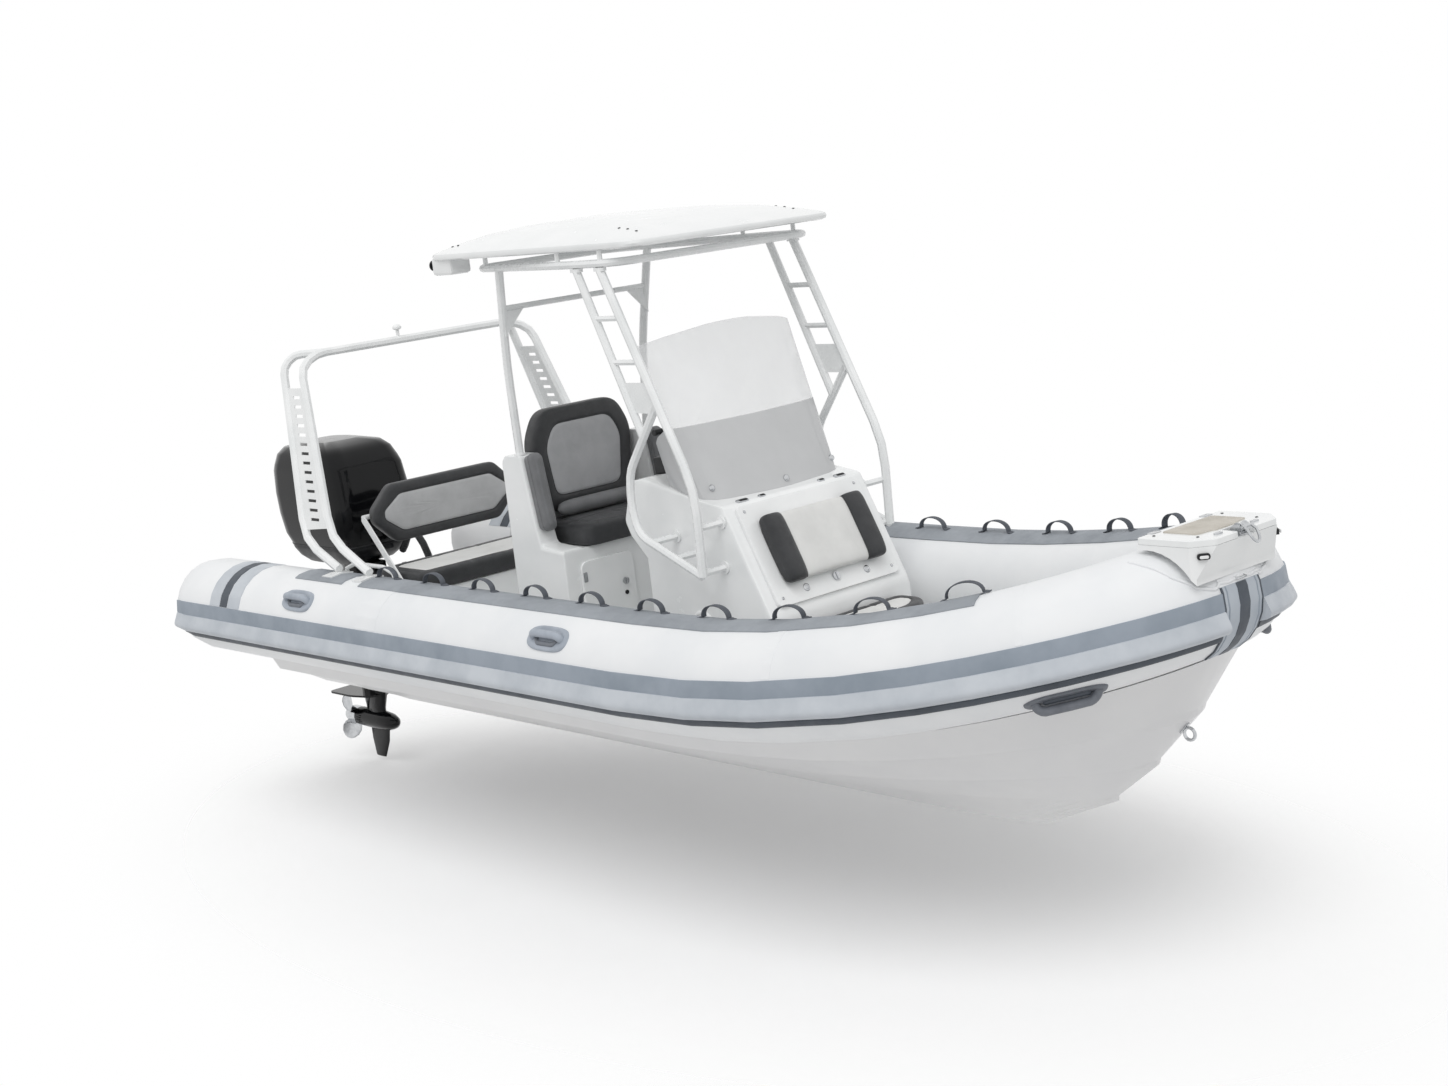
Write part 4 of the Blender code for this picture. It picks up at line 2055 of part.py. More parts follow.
def build_bolsters(profile):
    """Make the pads on the front edges of the pod's shoulders."""
    first, second = (profile[index] for index in POD_SHOULDER_POINTS)
    run = edge_length(first, second)
    frame = face_frame(first, second)
    y = (POD_WIDTH + POCKET_WIDTH) / 4
    outline = plate_outline(run, BOLSTER_WIDTH, BOLSTER_WIDTH / 3, 3)
    for side, word in ((-1, "starboard"), (1, "port")):
        spot = frame @ Matrix.Translation((run / 2, side * y, SEAT_GAP))
        soft_pad("helm_bolster_" + word, outline, BOLSTER_THICKNESS, PLAIN_PAD_SHARES, VINYL_DARK, spot)


def build_pod_door(body, front_x):
    """Make the locker door in the pod's front with its lock."""
    middle_y = HELM_DOOR_HINGE_Y + HELM_DOOR_WIDTH / 2
    middle_z = HELM_DOOR_BOTTOM_Z + HELM_DOOR_HEIGHT / 2
    size = (
        4 * POD_WALL,
        HELM_DOOR_WIDTH - 2 * HELM_DOOR_OVERLAP,
        HELM_DOOR_HEIGHT - 2 * HELM_DOOR_OVERLAP,
    )
    cut(body, box("pod_door_hole", size, (front_x, middle_y, middle_z), GELCOAT))
    outline = plate_outline(HELM_DOOR_WIDTH, HELM_DOOR_HEIGHT, HELM_DOOR_CORNER, 4)
    outline = [(y + middle_y, z + middle_z) for y, z in outline]
    x = front_x + SEAT_GAP + HELM_DOOR_THICKNESS / 2
    door = flat("helm_door", outline, HELM_DOOR_THICKNESS, "YZ", x, GELCOAT)
    set_origin(door, (front_x + SEAT_GAP + HELM_DOOR_THICKNESS, HELM_DOOR_HINGE_Y, middle_z))
    add_bevel(door, DOOR_EDGE, 2, LID_EDGE_DEGREES)
    surface = front_x + HELM_DOOR_THICKNESS + 2 * SEAT_GAP
    place = (surface, HELM_DOOR_HINGE_Y + HELM_DOOR_WIDTH - HELM_LOCK_INSET, HELM_LOCK_Z)
    frame = Matrix.Translation(place) @ facing_forward()
    quarter_turn("helm_door_lock", frame, HELM_LOCK_RADIUS, HELM_LOCK_HEIGHT, STEEL)


def build_bench():
    """Make the aft bench with its lid cushion and flip-over back."""
    base = DECK_Z + DECK_THICKNESS + SEAT_GAP
    height = BENCH_TOP_Z - base
    middle_x = BENCH_FRONT_X - BENCH_LENGTH / 2
    shell = box(
        "bench_base",
        (BENCH_LENGTH, 2 * BENCH_HALF_WIDTH, height),
        (middle_x, 0.0, base + height / 2),
        GELCOAT,
        BENCH_EDGE,
    )
    size = (BENCH_LENGTH - 2 * BENCH_WALL, 2 * (BENCH_HALF_WIDTH - BENCH_WALL), height)
    cut(shell, box("bench_hollow", size, (middle_x, 0.0, base + BENCH_WALL + height / 2), GELCOAT))
    aft_x = BENCH_FRONT_X - BENCH_LENGTH
    outline = plate_outline(BENCH_LENGTH + BENCH_WALL, 2 * BENCH_HALF_WIDTH, BENCH_CUSHION / 2, 4)
    frame = Matrix.Translation((middle_x + BENCH_WALL / 2, 0.0, BENCH_TOP_Z + SEAT_GAP))
    lid = soft_pad("bench_cushion", outline, BENCH_CUSHION, CUSHION_SHARES, VINYL_DARK, frame)
    set_origin(lid, (aft_x, 0.0, BENCH_TOP_Z + SEAT_GAP))
    build_bench_back()
    build_aft_rails()


def build_bench_back():
    """Make the backrest pad and the arms that flip it over the seat."""
    half = BENCH_BACK_HALF_WIDTH
    tall = BENCH_BACK_HEIGHT
    cut_corner = BENCH_BACK_CHAMFER
    outline = [
        (0.0, -half + cut_corner),
        (0.0, half - cut_corner),
        (cut_corner, half),
        (tall - cut_corner, half),
        (tall, half - cut_corner),
        (tall, -half + cut_corner),
        (tall - cut_corner, -half),
        (cut_corner, -half),
    ]
    frame = Matrix.Translation((BENCH_BACK_X, 0.0, BENCH_BACK_Z)) @ facing_forward()
    pad = rounded(outline, BENCH_BACK_CHAMFER / 4, 2)
    back = soft_pad("bench_back_cushion", pad, BENCH_BACK_THICKNESS, CUSHION_SHARES, VINYL_DARK, frame)
    pivot = Vector((BENCH_PIVOT_X, 0.0, BENCH_PIVOT_Z))
    set_origin(back, pivot)
    bar_x = BENCH_BACK_X - SEAT_GAP - BENCH_BAR_RADIUS
    bar_z = BENCH_BACK_Z + BENCH_BACK_HEIGHT / 2
    y = BENCH_HALF_WIDTH + BENCH_PIVOT_RADIUS + BENCH_ARM_THICKNESS / 2
    bar = tube("bench_back_frame", [(bar_x, -y, bar_z), (bar_x, y, bar_z)], BENCH_BAR_RADIUS, ALLOY_WHITE)
    for side in (-1, 1):
        start = Vector((bar_x, bar_z))
        end = Vector((BENCH_PIVOT_X, BENCH_PIVOT_Z))
        across = (end - start).normalized().orthogonal() * BENCH_ARM_WIDTH / 2
        outline = [tuple(start + across), tuple(start - across), tuple(end - across), tuple(end + across)]
        outline = rounded(outline, BENCH_ARM_WIDTH / 2, 4)
        arm = flat("bench_arm", outline, BENCH_ARM_THICKNESS, "XZ", side * y, ALLOY_WHITE)
        boss_length = BENCH_PIVOT_RADIUS + BENCH_ARM_THICKNESS / 2 + SINK
        boss_y = BENCH_HALF_WIDTH + SEAT_GAP + boss_length / 2
        place = (BENCH_PIVOT_X, side * boss_y, BENCH_PIVOT_Z)
        boss = cylinder("bench_boss", BENCH_PIVOT_RADIUS, boss_length, place, (0, 1, 0), ALLOY_WHITE)
        join(bar, arm, boss)
    set_origin(bar, pivot)


def build_aft_rails():
    """Make the grab rails beside the bench."""
    floor = DECK_Z + DECK_THICKNESS + SEAT_GAP
    aft_floor = AFT_DECK_Z + SEAT_GAP
    for side, word in ((-1, "starboard"), (1, "port")):
        y = side * RAIL_Y
        points = [
            (RAIL_FRONT_X, y, floor + SINK),
            (RAIL_FRONT_X - BENCH_WALL, y, RAIL_Z),
            (RAIL_AFT_X, y, RAIL_Z),
            (RAIL_AFT_X, y, aft_floor + SINK),
        ]
        path = filleted(points, BEND_RADIUS)
        rail = tube("aft_rail_" + word, path, RAIL_TUBE_RADIUS, ALLOY_WHITE, resolution=2)
        for x, z in ((RAIL_FRONT_X, floor), (RAIL_AFT_X, aft_floor)):
            centre = (x, y, z + FLANGE_THICKNESS / 2)
            join(rail, round_flange("rail_foot", centre, (0, 0, 1)))


def arch_lines(side):
    """Return the forward hoop's half and the aft leg of the roll bar."""
    foot_z = COLLAR_Z + TUBE_RADIUS + ARCH_FLANGE_THICKNESS + ARCH_TUBE_RADIUS * ARCH_FOOT_SHARE
    fore = [
        (ARCH_FOOT_X, side * ARCH_FOOT_Y, foot_z),
        (ARCH_KNEE_X, side * ARCH_KNEE_Y, ARCH_KNEE_Z),
        (ARCH_SHOULDER_X, side * ARCH_SHOULDER_Y, ARCH_BAR_Z - ARCH_BEND / 2),
        (ARCH_BAR_X, side * (ARCH_SHOULDER_Y - ARCH_BEND), ARCH_BAR_Z),
    ]
    aft_knee_x = ARCH_KNEE_X - ARCH_AFT_KNEE_OFFSET
    aft_top_x = ARCH_SHOULDER_X - ARCH_AFT_TOP_OFFSET
    aft = [
        (ARCH_FOOT_X - ARCH_AFT_FOOT_OFFSET, side * ARCH_FOOT_Y, foot_z),
        (aft_knee_x, side * ARCH_KNEE_Y, ARCH_KNEE_Z - ARCH_TUBE_RADIUS),
        (aft_top_x, side * ARCH_SHOULDER_Y, ARCH_BAR_Z - ARCH_BEND / 2),
        (aft_top_x + ARCH_BEND / 4, side * (ARCH_SHOULDER_Y - ARCH_BEND / 2), ARCH_BAR_Z + SINK),
        (ARCH_BAR_X, side * ARCH_MERGE_Y, ARCH_BAR_Z),
    ]
    return fore, aft


def build_arch():
    """Make the twin-tube roll bar with its slotted side plates."""
    starboard_fore, _ = arch_lines(-1)
    port_fore, _ = arch_lines(1)
    path = filleted(starboard_fore + list(reversed(port_fore)), ARCH_BEND)
    arch = tube("arch", path, ARCH_TUBE_RADIUS, ALLOY_WHITE)
    half = ARCH_FLANGE_RADIUS
    pieces = []
    holes = []
    for side in (-1, 1):
        fore, aft = arch_lines(side)
        pieces.append(tube("arch_aft_leg", filleted(aft, ARCH_BEND), ARCH_TUBE_RADIUS, ALLOY_WHITE))
        for x in (ARCH_FOOT_X, ARCH_FOOT_X - ARCH_AFT_FOOT_OFFSET):
            start, end = position_at_x(x - half), position_at_x(x + half)
            arc = ARCH_FOOT_DEGREES
            foot = collar_patch("arch_foot", start, end, *arc, ARCH_FLANGE_THICKNESS, side, ALLOY_WHITE)
            pieces.append(foot)
        plate, slots = arch_plate(fore[1:3], aft[1:3])
        pieces.append(plate)
        holes.append(slots)
    join(arch, *pieces)
    cut(arch, *holes)
    build_light()


def arch_plate(fore, aft):
    """Return the plate between two legs and the cutter for its slots."""
    low, high = ARCH_PLATE_SHARES
    half = Vector((0.0, ARCH_PLATE_THICKNESS / 2, 0.0))
    rings = []
    for share in (low, high):
        front = Vector(fore[0]).lerp(Vector(fore[1]), share)
        back = Vector(aft[0]).lerp(Vector(aft[1]), share)
        rings.append([front - half, front + half, back + half, back - half])
    plate = loft("arch_plate", rings, ALLOY_WHITE)
    bm = bmesh.new()
    for number in range(ARCH_SLOT_COUNT):
        share = low + (high - low) * (number + 1) / (ARCH_SLOT_COUNT + 1)
        front = Vector(fore[0]).lerp(Vector(fore[1]), share)
        back = Vector(aft[0]).lerp(Vector(aft[1]), share)
        width = (front.x - back.x) * ARCH_SLOT_WIDTH_SHARE
        made = bmesh.ops.create_cube(bm, size=1.0)
        size = Vector((width, 4 * ARCH_TUBE_RADIUS, ARCH_SLOT_HEIGHT))
        bmesh.ops.scale(bm, vec=size, verts=made["verts"])
        bmesh.ops.translate(bm, vec=(front + back) / 2, verts=made["verts"])
    return plate, add_object("arch_slots", mesh_of("arch_slots", bm), ALLOY_WHITE)


def build_light():
    """Make the all-round light on the roll bar."""
    radius = LIGHT_HEAD_RADIUS
    rise = LIGHT_STEM_HEIGHT
    high, middle, low = LIGHT_LEVEL_SHARES
    profile = [
        (0.0, rise + LIGHT_HEAD_HEIGHT),
        (radius * LIGHT_CROWN_SHARE, rise + LIGHT_HEAD_HEIGHT * high),
        (radius, rise + LIGHT_HEAD_HEIGHT * middle),
        (radius, rise + LIGHT_HEAD_HEIGHT * low),
        (radius * LIGHT_FOOT_SHARE, rise),
        (LIGHT_STEM_RADIUS, rise),
        (LIGHT_STEM_RADIUS, 0.0),
        (0.0, 0.0),
    ]
    place = (ARCH_BAR_X, LIGHT_Y, ARCH_BAR_Z + ARCH_TUBE_RADIUS * BAR_TOP_SHARE + SEAT_GAP)
    turned("allround_light", profile, place, (0, 0, 1), LENS)


def build_transom_bracket():
    """Make the clamp bracket over the transom with the tilt tube."""
    aft_x = TRANSOM_X - SEAT_GAP
    inner_x = TRANSOM_X + TRANSOM_THICKNESS - SINK
    lip_z = TRANSOM_TOP_Z + SEAT_GAP
    outline = [
        (aft_x, CLAMP_BOTTOM_Z),
        (aft_x, lip_z),
        (inner_x, lip_z),
        (inner_x, lip_z + CLAMP_LIP),
        (TRANSOM_X - CLAMP_LIP / 2, TILT_Z + CLAMP_LIP),
        (TILT_X - CLAMP_LIP / 2, TILT_Z + CLAMP_LIP),
        (TILT_X - CLAMP_LIP, TILT_Z),
        (TILT_X - CLAMP_LIP / 2, TILT_Z - CLAMP_DEPTH),
        (aft_x - CLAMP_PLATE, CLAMP_BOTTOM_Z),
    ]
    tilt = (TILT_X, 0.0, TILT_Z)
    bracket = cylinder("transom_bracket", TILT_TUBE_RADIUS, TILT_LENGTH, tilt, (0, 1, 0), MOTOR_BLACK)
    for side in (-1, 1):
        y = side * (CLAMP_HALF_WIDTH - CLAMP_PLATE / 2)
        plate = flat("clamp_plate", outline, CLAMP_PLATE, "XZ", y, MOTOR_BLACK)
        join(bracket, plate)


def build_swivel():
    """Make the swivel bracket between the tilt tube and the steering pin."""
    tilt = (TILT_X, 0.0, TILT_Z)
    middle_z = (SWIVEL_TOP_Z + SWIVEL_BOTTOM_Z) / 2
    height = SWIVEL_TOP_Z - SWIVEL_BOTTOM_Z
    sleeve_radius = TILT_TUBE_RADIUS + SWIVEL_WALL
    body = cylinder("swivel_bracket", sleeve_radius, 2 * SWIVEL_HALF_WIDTH, tilt, (0, 1, 0), MOTOR_BLACK)
    head = (SWIVEL_X, 0.0, middle_z)
    post = cylinder("swivel_post", SWIVEL_TUBE_RADIUS, height, head, (0, 0, 1), MOTOR_BLACK)
    outline = [
        (TILT_X, TILT_Z + SWIVEL_WALL),
        (SWIVEL_X, SWIVEL_TOP_Z - SWIVEL_WALL),
        (SWIVEL_X, SWIVEL_BOTTOM_Z + SWIVEL_WALL),
        (TILT_X + SWIVEL_WALL / 2, TILT_Z - CLAMP_DEPTH),
    ]
    web = flat("swivel_web", outline, 2 * SWIVEL_TUBE_RADIUS * SWIVEL_WEB_SHARE, "XZ", 0.0, MOTOR_BLACK)
    join(body, post, web)
    bore = cylinder("swivel_bore", SWIVEL_BORE_RADIUS, height + OVERRUN, head, (0, 0, 1), MOTOR_BLACK)
    tilt_bore = TILT_TUBE_RADIUS + 2 * SEAT_GAP
    hole = cylinder("tilt_bore", tilt_bore, 2 * SWIVEL_HALF_WIDTH + OVERRUN, tilt, (0, 1, 0), MOTOR_BLACK)
    cut(body, bore, hole)
    set_origin(body, tilt)


def foil(front_x, chord, thickness, z):
    """Return a streamlined section, pointed at both ends."""
    port = [(front_x - chord * along, thickness / 2 * wide) for along, wide in FOIL_SHARES]
    starboard = [(x, -y) for x, y in reversed(port) if y > 0.0]
    return [Vector((x, y, z)) for x, y in port + starboard]


def build_leg():
    """Make the midsection, gearcase and skeg with the steering pin."""
    rings = []
    for level, back, chord, thick in LEG_SHARES:
        z = TORPEDO_Z + (LEG_TOP_Z - TORPEDO_Z) * level
        front_x = LEG_FRONT_X - LEG_CHORD * back
        rings.append(foil(front_x, LEG_CHORD * chord, LEG_THICKNESS * thick, z))
    leg = loft("motor_leg", rings, MOTOR_BLACK)
    low_z = SWIVEL_BOTTOM_Z - SEAT_GAP - YOKE_THICKNESS
    pin_height = LEG_TOP_Z - low_z
    centre = (SWIVEL_X, 0.0, low_z + pin_height / 2)
    pieces = [cylinder("kingpin", KINGPIN_RADIUS, pin_height, centre, (0, 0, 1), MOTOR_BLACK)]
    yoke_length = SWIVEL_X + SWIVEL_TUBE_RADIUS - (LEG_FRONT_X - LEG_CHORD / 3)
    yoke_x = SWIVEL_X + SWIVEL_TUBE_RADIUS - yoke_length / 2
    for z, thick in (
        (low_z + YOKE_THICKNESS / 2, YOKE_THICKNESS),
        ((SWIVEL_TOP_Z + SEAT_GAP + LEG_TOP_Z) / 2, LEG_TOP_Z - SWIVEL_TOP_Z - SEAT_GAP),
    ):
        pieces.append(box("yoke", (yoke_length, YOKE_WIDTH, thick), (yoke_x, 0.0, z), MOTOR_BLACK))
    plate = [
        (LEG_FRONT_X - LEG_CHORD * LEG_NOSE_SHARE, 0.0),
        (LEG_FRONT_X - LEG_CHORD / 3, CAVITATION_WIDTH / 3),
        (LEG_FRONT_X - CAVITATION_LENGTH / 2, CAVITATION_WIDTH / 2),
        (LEG_FRONT_X - CAVITATION_LENGTH, CAVITATION_WIDTH / 2),
        (LEG_FRONT_X - CAVITATION_LENGTH, -CAVITATION_WIDTH / 2),
        (LEG_FRONT_X - CAVITATION_LENGTH / 2, -CAVITATION_WIDTH / 2),
        (LEG_FRONT_X - LEG_CHORD / 3, -CAVITATION_WIDTH / 3),
    ]
    outline = rounded(plate, CAVITATION_WIDTH * CAVITATION_EDGE_SHARE, 2)
    pieces.append(flat("cavitation_plate", outline, CAVITATION_THICKNESS, "XY", CAVITATION_Z, MOTOR_BLACK))
    case = [(TORPEDO_RADIUS * wide, -TORPEDO_LENGTH * along) for wide, along in TORPEDO_SHARES]
    front = (TORPEDO_FRONT_X, 0.0, TORPEDO_Z)
    pieces.append(turned("torpedo", case, front, (1, 0, 0), MOTOR_BLACK))
    pieces.append(build_skeg())
    join(leg, *pieces)
    set_origin(leg, (SWIVEL_X, 0.0, SWIVEL_TOP_Z))


def build_skeg():
    """Return the skeg below the gearcase, swept aft."""
    rings = []
    for level, back, chord in SKEG_SHARES:
        z = TORPEDO_Z - (TORPEDO_RADIUS + SKEG_DEPTH) * level
        front_x = TORPEDO_FRONT_X - TORPEDO_LENGTH / 4 - SKEG_CHORD * back
        rings.append(foil(front_x, SKEG_CHORD * chord, SKEG_THICKNESS, z))
    return loft("skeg", rings, MOTOR_BLACK)


def blade(number):
    """Return one propeller blade, twisted to its pitch, about the X axis."""
    near = BLADE_SHOULDER_SHARE
    rings = []
    for reach, chord, thick in BLADE_SHARES:
        radius = PROP_RADIUS * reach
        pitch = math.atan2(PROP_PITCH, 2 * math.pi * radius)
        half_chord = PROP_RADIUS * BLADE_CHORD_SHARE * chord / 2
        half_thick = PROP_BLADE_THICKNESS * thick / 2
        ring = []
        for along, out in ((1, 0), (near, 1), (-near, 1), (-1, 0), (-near, -1), (near, -1)):
            chordwise = half_chord * along
            normal = half_thick * out
            x = chordwise * math.sin(pitch) - normal * math.cos(pitch)
            sweep = (chordwise * math.cos(pitch) + normal * math.sin(pitch)) / radius
            turn = sweep + 2 * math.pi * number / PROP_BLADES
            ring.append(Vector((x, radius * math.cos(turn), radius * math.sin(turn))))
        rings.append(ring)
    return loft("blade", rings, STEEL)


def build_propeller():
    """Make the three-bladed propeller behind the gearcase."""
    rear_x = TORPEDO_FRONT_X - TORPEDO_LENGTH - 2 * SEAT_GAP
    profile = [
        (0.0, 0.0),
        (PROP_HUB_RADIUS, 0.0),
        (PROP_HUB_RADIUS, -PROP_HUB_LENGTH * PROP_CONE_START_SHARE),
        (PROP_HUB_RADIUS * PROP_CONE_SHARE, -PROP_HUB_LENGTH),
        (0.0, -PROP_HUB_LENGTH),
    ]
    hub = turned("propeller", profile, (rear_x, 0.0, TORPEDO_Z), (1, 0, 0), STEEL)
    frame = Matrix.Translation((rear_x - PROP_HUB_LENGTH / 2, 0.0, TORPEDO_Z))
    join(hub, *[placed(blade(number), frame) for number in range(PROP_BLADES)])


def cowl_rings(wall):
    """Return rings of the cowl, inset by a wall, from its base to its crown."""
    rings = []
    for size, level in COWL_SHARES:
        z = PAN_TOP_Z + SEAT_GAP + (COWL_HEIGHT - wall) * level
        lean = COWL_LEAN * max(level - COWL_LEAN_SHARE, 0.0) ** COWL_LEAN_FULLNESS_SHARE
        front_x = COWL_AFT_X + COWL_LENGTH - wall - lean - COWL_LENGTH * (1 - size) / 2
        aft_x = COWL_AFT_X + wall + COWL_LENGTH * (1 - size) / 2
        half = COWL_WIDTH / 2 * size - wall
        plan = [
            (aft_x, -half * COWL_STERN_SHARE),
            (aft_x + COWL_LENGTH * COWL_SHOULDER_SHARE, -half),
            (front_x - COWL_LENGTH * COWL_SHOULDER_SHARE, -half),
            (front_x, -half * COWL_BOW_SHARE),
            (front_x, half * COWL_BOW_SHARE),
            (front_x - COWL_LENGTH * COWL_SHOULDER_SHARE, half),
            (aft_x + COWL_LENGTH * COWL_SHOULDER_SHARE, half),
            (aft_x, half * COWL_STERN_SHARE),
        ]
        rings.append([Vector((x, y, z)) for x, y in rounded(plan, COWL_CORNER, 2)])
    return rings


def build_cowl():
    """Make the hollow cowl, the pan below it and the engine inside."""
    outer = cowl_rings(0.0)
    cowl = loft("motor_cowl", outer, COWL_BLACK)
    inner = cowl_rings(COWL_WALL)[::4]
    drop = [point - Vector((0, 0, OVERRUN)) for point in inner[0]]
    cut(cowl, loft("cowl_hollow", [drop] + inner, COWL_BLACK))
    pan_rings = []
    for size, level in PAN_SHARES:
        z = PAN_TOP_Z - PAN_HEIGHT + SEAT_GAP + (PAN_HEIGHT - SEAT_GAP) * level
        middle = sum(outer[0], Vector()) / len(outer[0])
        ring = []
        for point in outer[0]:
            spot = middle + (point - middle) * size
            ring.append(Vector((spot.x, spot.y, z)))
        pan_rings.append(ring)
    loft("motor_pan", pan_rings, MOTOR_BLACK)
    build_engine(middle.x)


def build_engine(x):
    """Make the powerhead: block, cylinder heads, flywheel and its cover."""
    base = PAN_TOP_Z + SEAT_GAP
    size = (ENGINE_LENGTH, ENGINE_WIDTH, ENGINE_HEIGHT * ENGINE_BLOCK_SHARE)
    block = box("powerhead", size, (x, 0.0, base + size[2] / 2), MOTOR_BLACK, COWL_WALL * 2, 2)
    top = base + size[2]
    wheel_z = top + (ENGINE_HEIGHT - size[2]) / 2
    centre = (x + ENGINE_LENGTH * FLYWHEEL_SHIFT_SHARE, 0.0, wheel_z - SINK)
    wheel_size = (ENGINE_WIDTH * FLYWHEEL_SHARE, ENGINE_HEIGHT - size[2] + SINK)
    wheel = cylinder("flywheel", *wheel_size, centre, (0, 0, 1), MOTOR_BLACK)
    head_size = [whole * share for whole, share in zip((ENGINE_LENGTH, ENGINE_WIDTH, size[2]), HEAD_SHARES)]
    centre = (x - ENGINE_LENGTH / 4, 0.0, base + size[2] / 2)
    head = box("cylinder_head", head_size, centre, MOTOR_BLACK, COWL_WALL)
    join(block, wheel, head)


def build_hose():
    """Make the rigging hose from the aft deck to the motor pan."""
    pan_front = COWL_AFT_X + COWL_LENGTH
    start_z = AFT_DECK_Z + SEAT_GAP
    end_z = PAN_TOP_Z - PAN_HEIGHT / 2
    path = []
    for along, rise in HOSE_SHARES:
        x = HOSE_DECK_X + (pan_front + HOSE_END_GAP - HOSE_DECK_X) * along
        y = HOSE_DECK_Y * (1 - along) + HOSE_END_Y * along
        z = start_z + (end_z - start_z) * along + HOSE_RISE * rise
        path.append(Vector((x, y, z)))
    tube("rigging_hose", path, HOSE_RADIUS, PLASTIC_BLACK, resolution=2)


build_collar()
build_handles()
build_hull()
build_locker()
build_bow_eye()
build_console()
build_screens()
build_helm_controls()
build_side_frames()
build_aft_frame()
build_roof()
build_pod()
build_bench()
build_arch()
build_transom_bracket()
build_swivel()
build_leg()
build_propeller()
build_cowl()
build_hose()
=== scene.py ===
"""Rigid inflatable boat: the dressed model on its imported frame.

X runs to the bow, Y to port and Z up, in metres. Each sub-assembly is a class
that carries its CAD nodes over with a finish and adds the pieces that are too
fine or too soft for the solids.
"""
import logging
import math
from dataclasses import dataclass, field, replace
from enum import Enum
from typing import ClassVar, Container, Optional, Sequence, Union

import bmesh
import bpy
from mathutils import Matrix, Vector, noise


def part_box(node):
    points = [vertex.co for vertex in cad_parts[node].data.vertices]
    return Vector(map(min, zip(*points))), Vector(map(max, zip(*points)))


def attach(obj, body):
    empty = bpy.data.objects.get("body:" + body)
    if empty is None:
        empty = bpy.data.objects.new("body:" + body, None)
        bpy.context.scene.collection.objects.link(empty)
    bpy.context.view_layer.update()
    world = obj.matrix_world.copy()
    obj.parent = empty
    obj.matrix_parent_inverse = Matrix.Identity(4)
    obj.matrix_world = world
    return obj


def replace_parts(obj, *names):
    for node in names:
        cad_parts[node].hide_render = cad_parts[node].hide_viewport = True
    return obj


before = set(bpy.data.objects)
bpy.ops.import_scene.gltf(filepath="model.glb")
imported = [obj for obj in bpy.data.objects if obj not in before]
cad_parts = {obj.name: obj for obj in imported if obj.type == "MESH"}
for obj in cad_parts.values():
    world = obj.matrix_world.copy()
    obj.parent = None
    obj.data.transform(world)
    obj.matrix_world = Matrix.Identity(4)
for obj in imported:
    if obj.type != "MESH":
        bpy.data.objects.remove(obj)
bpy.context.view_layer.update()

LOG = logging.getLogger("boat")
MILLIMETRE = 0.001
SIDES = ((-1, "starboard"), (1, "port"))
AHEAD, PORT, UP = (1, 0, 0), (0, 1, 0), (0, 0, 1)

Point = Union[Vector, Sequence[float]]
Outline = Sequence[tuple[float, float]]
Colour = tuple[float, float, float, float]


def linear(code: str) -> Colour:
    """Turn an sRGB hex colour to linear.

    Args:
        code: Six hex digits, red first.

    Returns:
        Red, green, blue and alpha, with alpha at 1.
    """
    parts = [int(code[index:index + 2], 16) / 255 for index in (0, 2, 4)]
    red, green, blue = (
        part / 12.92 if part <= 0.04045 else ((part + 0.055) / 1.055) ** 2.4 for part in parts
    )
    return (red, green, blue, 1.0)


def add_node(
    tree: bpy.types.NodeTree,
    kind: str,
    settings: Optional[dict] = None,
    links: Optional[dict] = None,
) -> bpy.types.Node:
    """Add one node with its settings and its links.

    Args:
        tree: The node tree that takes the node.
        kind: The node's type name.
        settings: Socket values by name or number, and properties by name.
        links: Output sockets by the name or number of the input they feed.

    Returns:
        The new node.
    """
    made = tree.nodes.new(kind)
    for key, value in (settings or {}).items():
        if isinstance(key, int) or key in made.inputs:
            made.inputs[key].default_value = value
        else:
            setattr(made, key, value)
    for key, socket in (links or {}).items():
        tree.links.new(socket, made.inputs[key])
    return made


def stretch(
    tree: bpy.types.NodeTree, value: bpy.types.NodeSocket, levels: Sequence[float]
) -> bpy.types.NodeSocket:
    """Stretch a value from one range to another.

    Args:
        tree: The node tree.
        value: The output to stretch.
        levels: Lowest and highest value going in, then coming out.

    Returns:
        The stretched output.
    """
    settings = dict(zip(("From Min", "From Max", "To Min", "To Max"), levels))
    return add_node(tree, "ShaderNodeMapRange", settings, {"Value": value}).outputs[0]


@dataclass(frozen=True)
class Cloud:
    """A soft noise that varies a surface in patches.

    Attributes:
        detail: How many finer layers it has.
        roughness: How much the finer layers count.
        low: Its level where the change starts.
        high: Its level where the change is complete.
    """

    detail: float
    roughness: float
    low: float
    high: float

    def output(
        self, tree: bpy.types.NodeTree, patch_mm: float, first: float = 0.0, last: float = 1.0
    ) -> bpy.types.NodeSocket:
        """Draw the noise.

        Args:
            tree: The material's node tree.
            patch_mm: Size of one patch in millimetres.
            first: The result where the change starts.
            last: The result where it is complete.

        Returns:
            The output that runs from first to last.
        """
        place = add_node(tree, "ShaderNodeTexCoord")
        settings = {"Detail": self.detail, "Roughness": self.roughness}
        settings["Scale"] = 1 / (patch_mm * MILLIMETRE)
        cloud = add_node(tree, "ShaderNodeTexNoise", settings, {"Vector": place.outputs["Object"]})
        return stretch(tree, cloud.outputs[0], (self.low, self.high, first, last))


DUST = Cloud(4.0, 0.6, 0.38, 0.66)
WEAR = Cloud(5.0, 0.65, 0.3, 0.7)


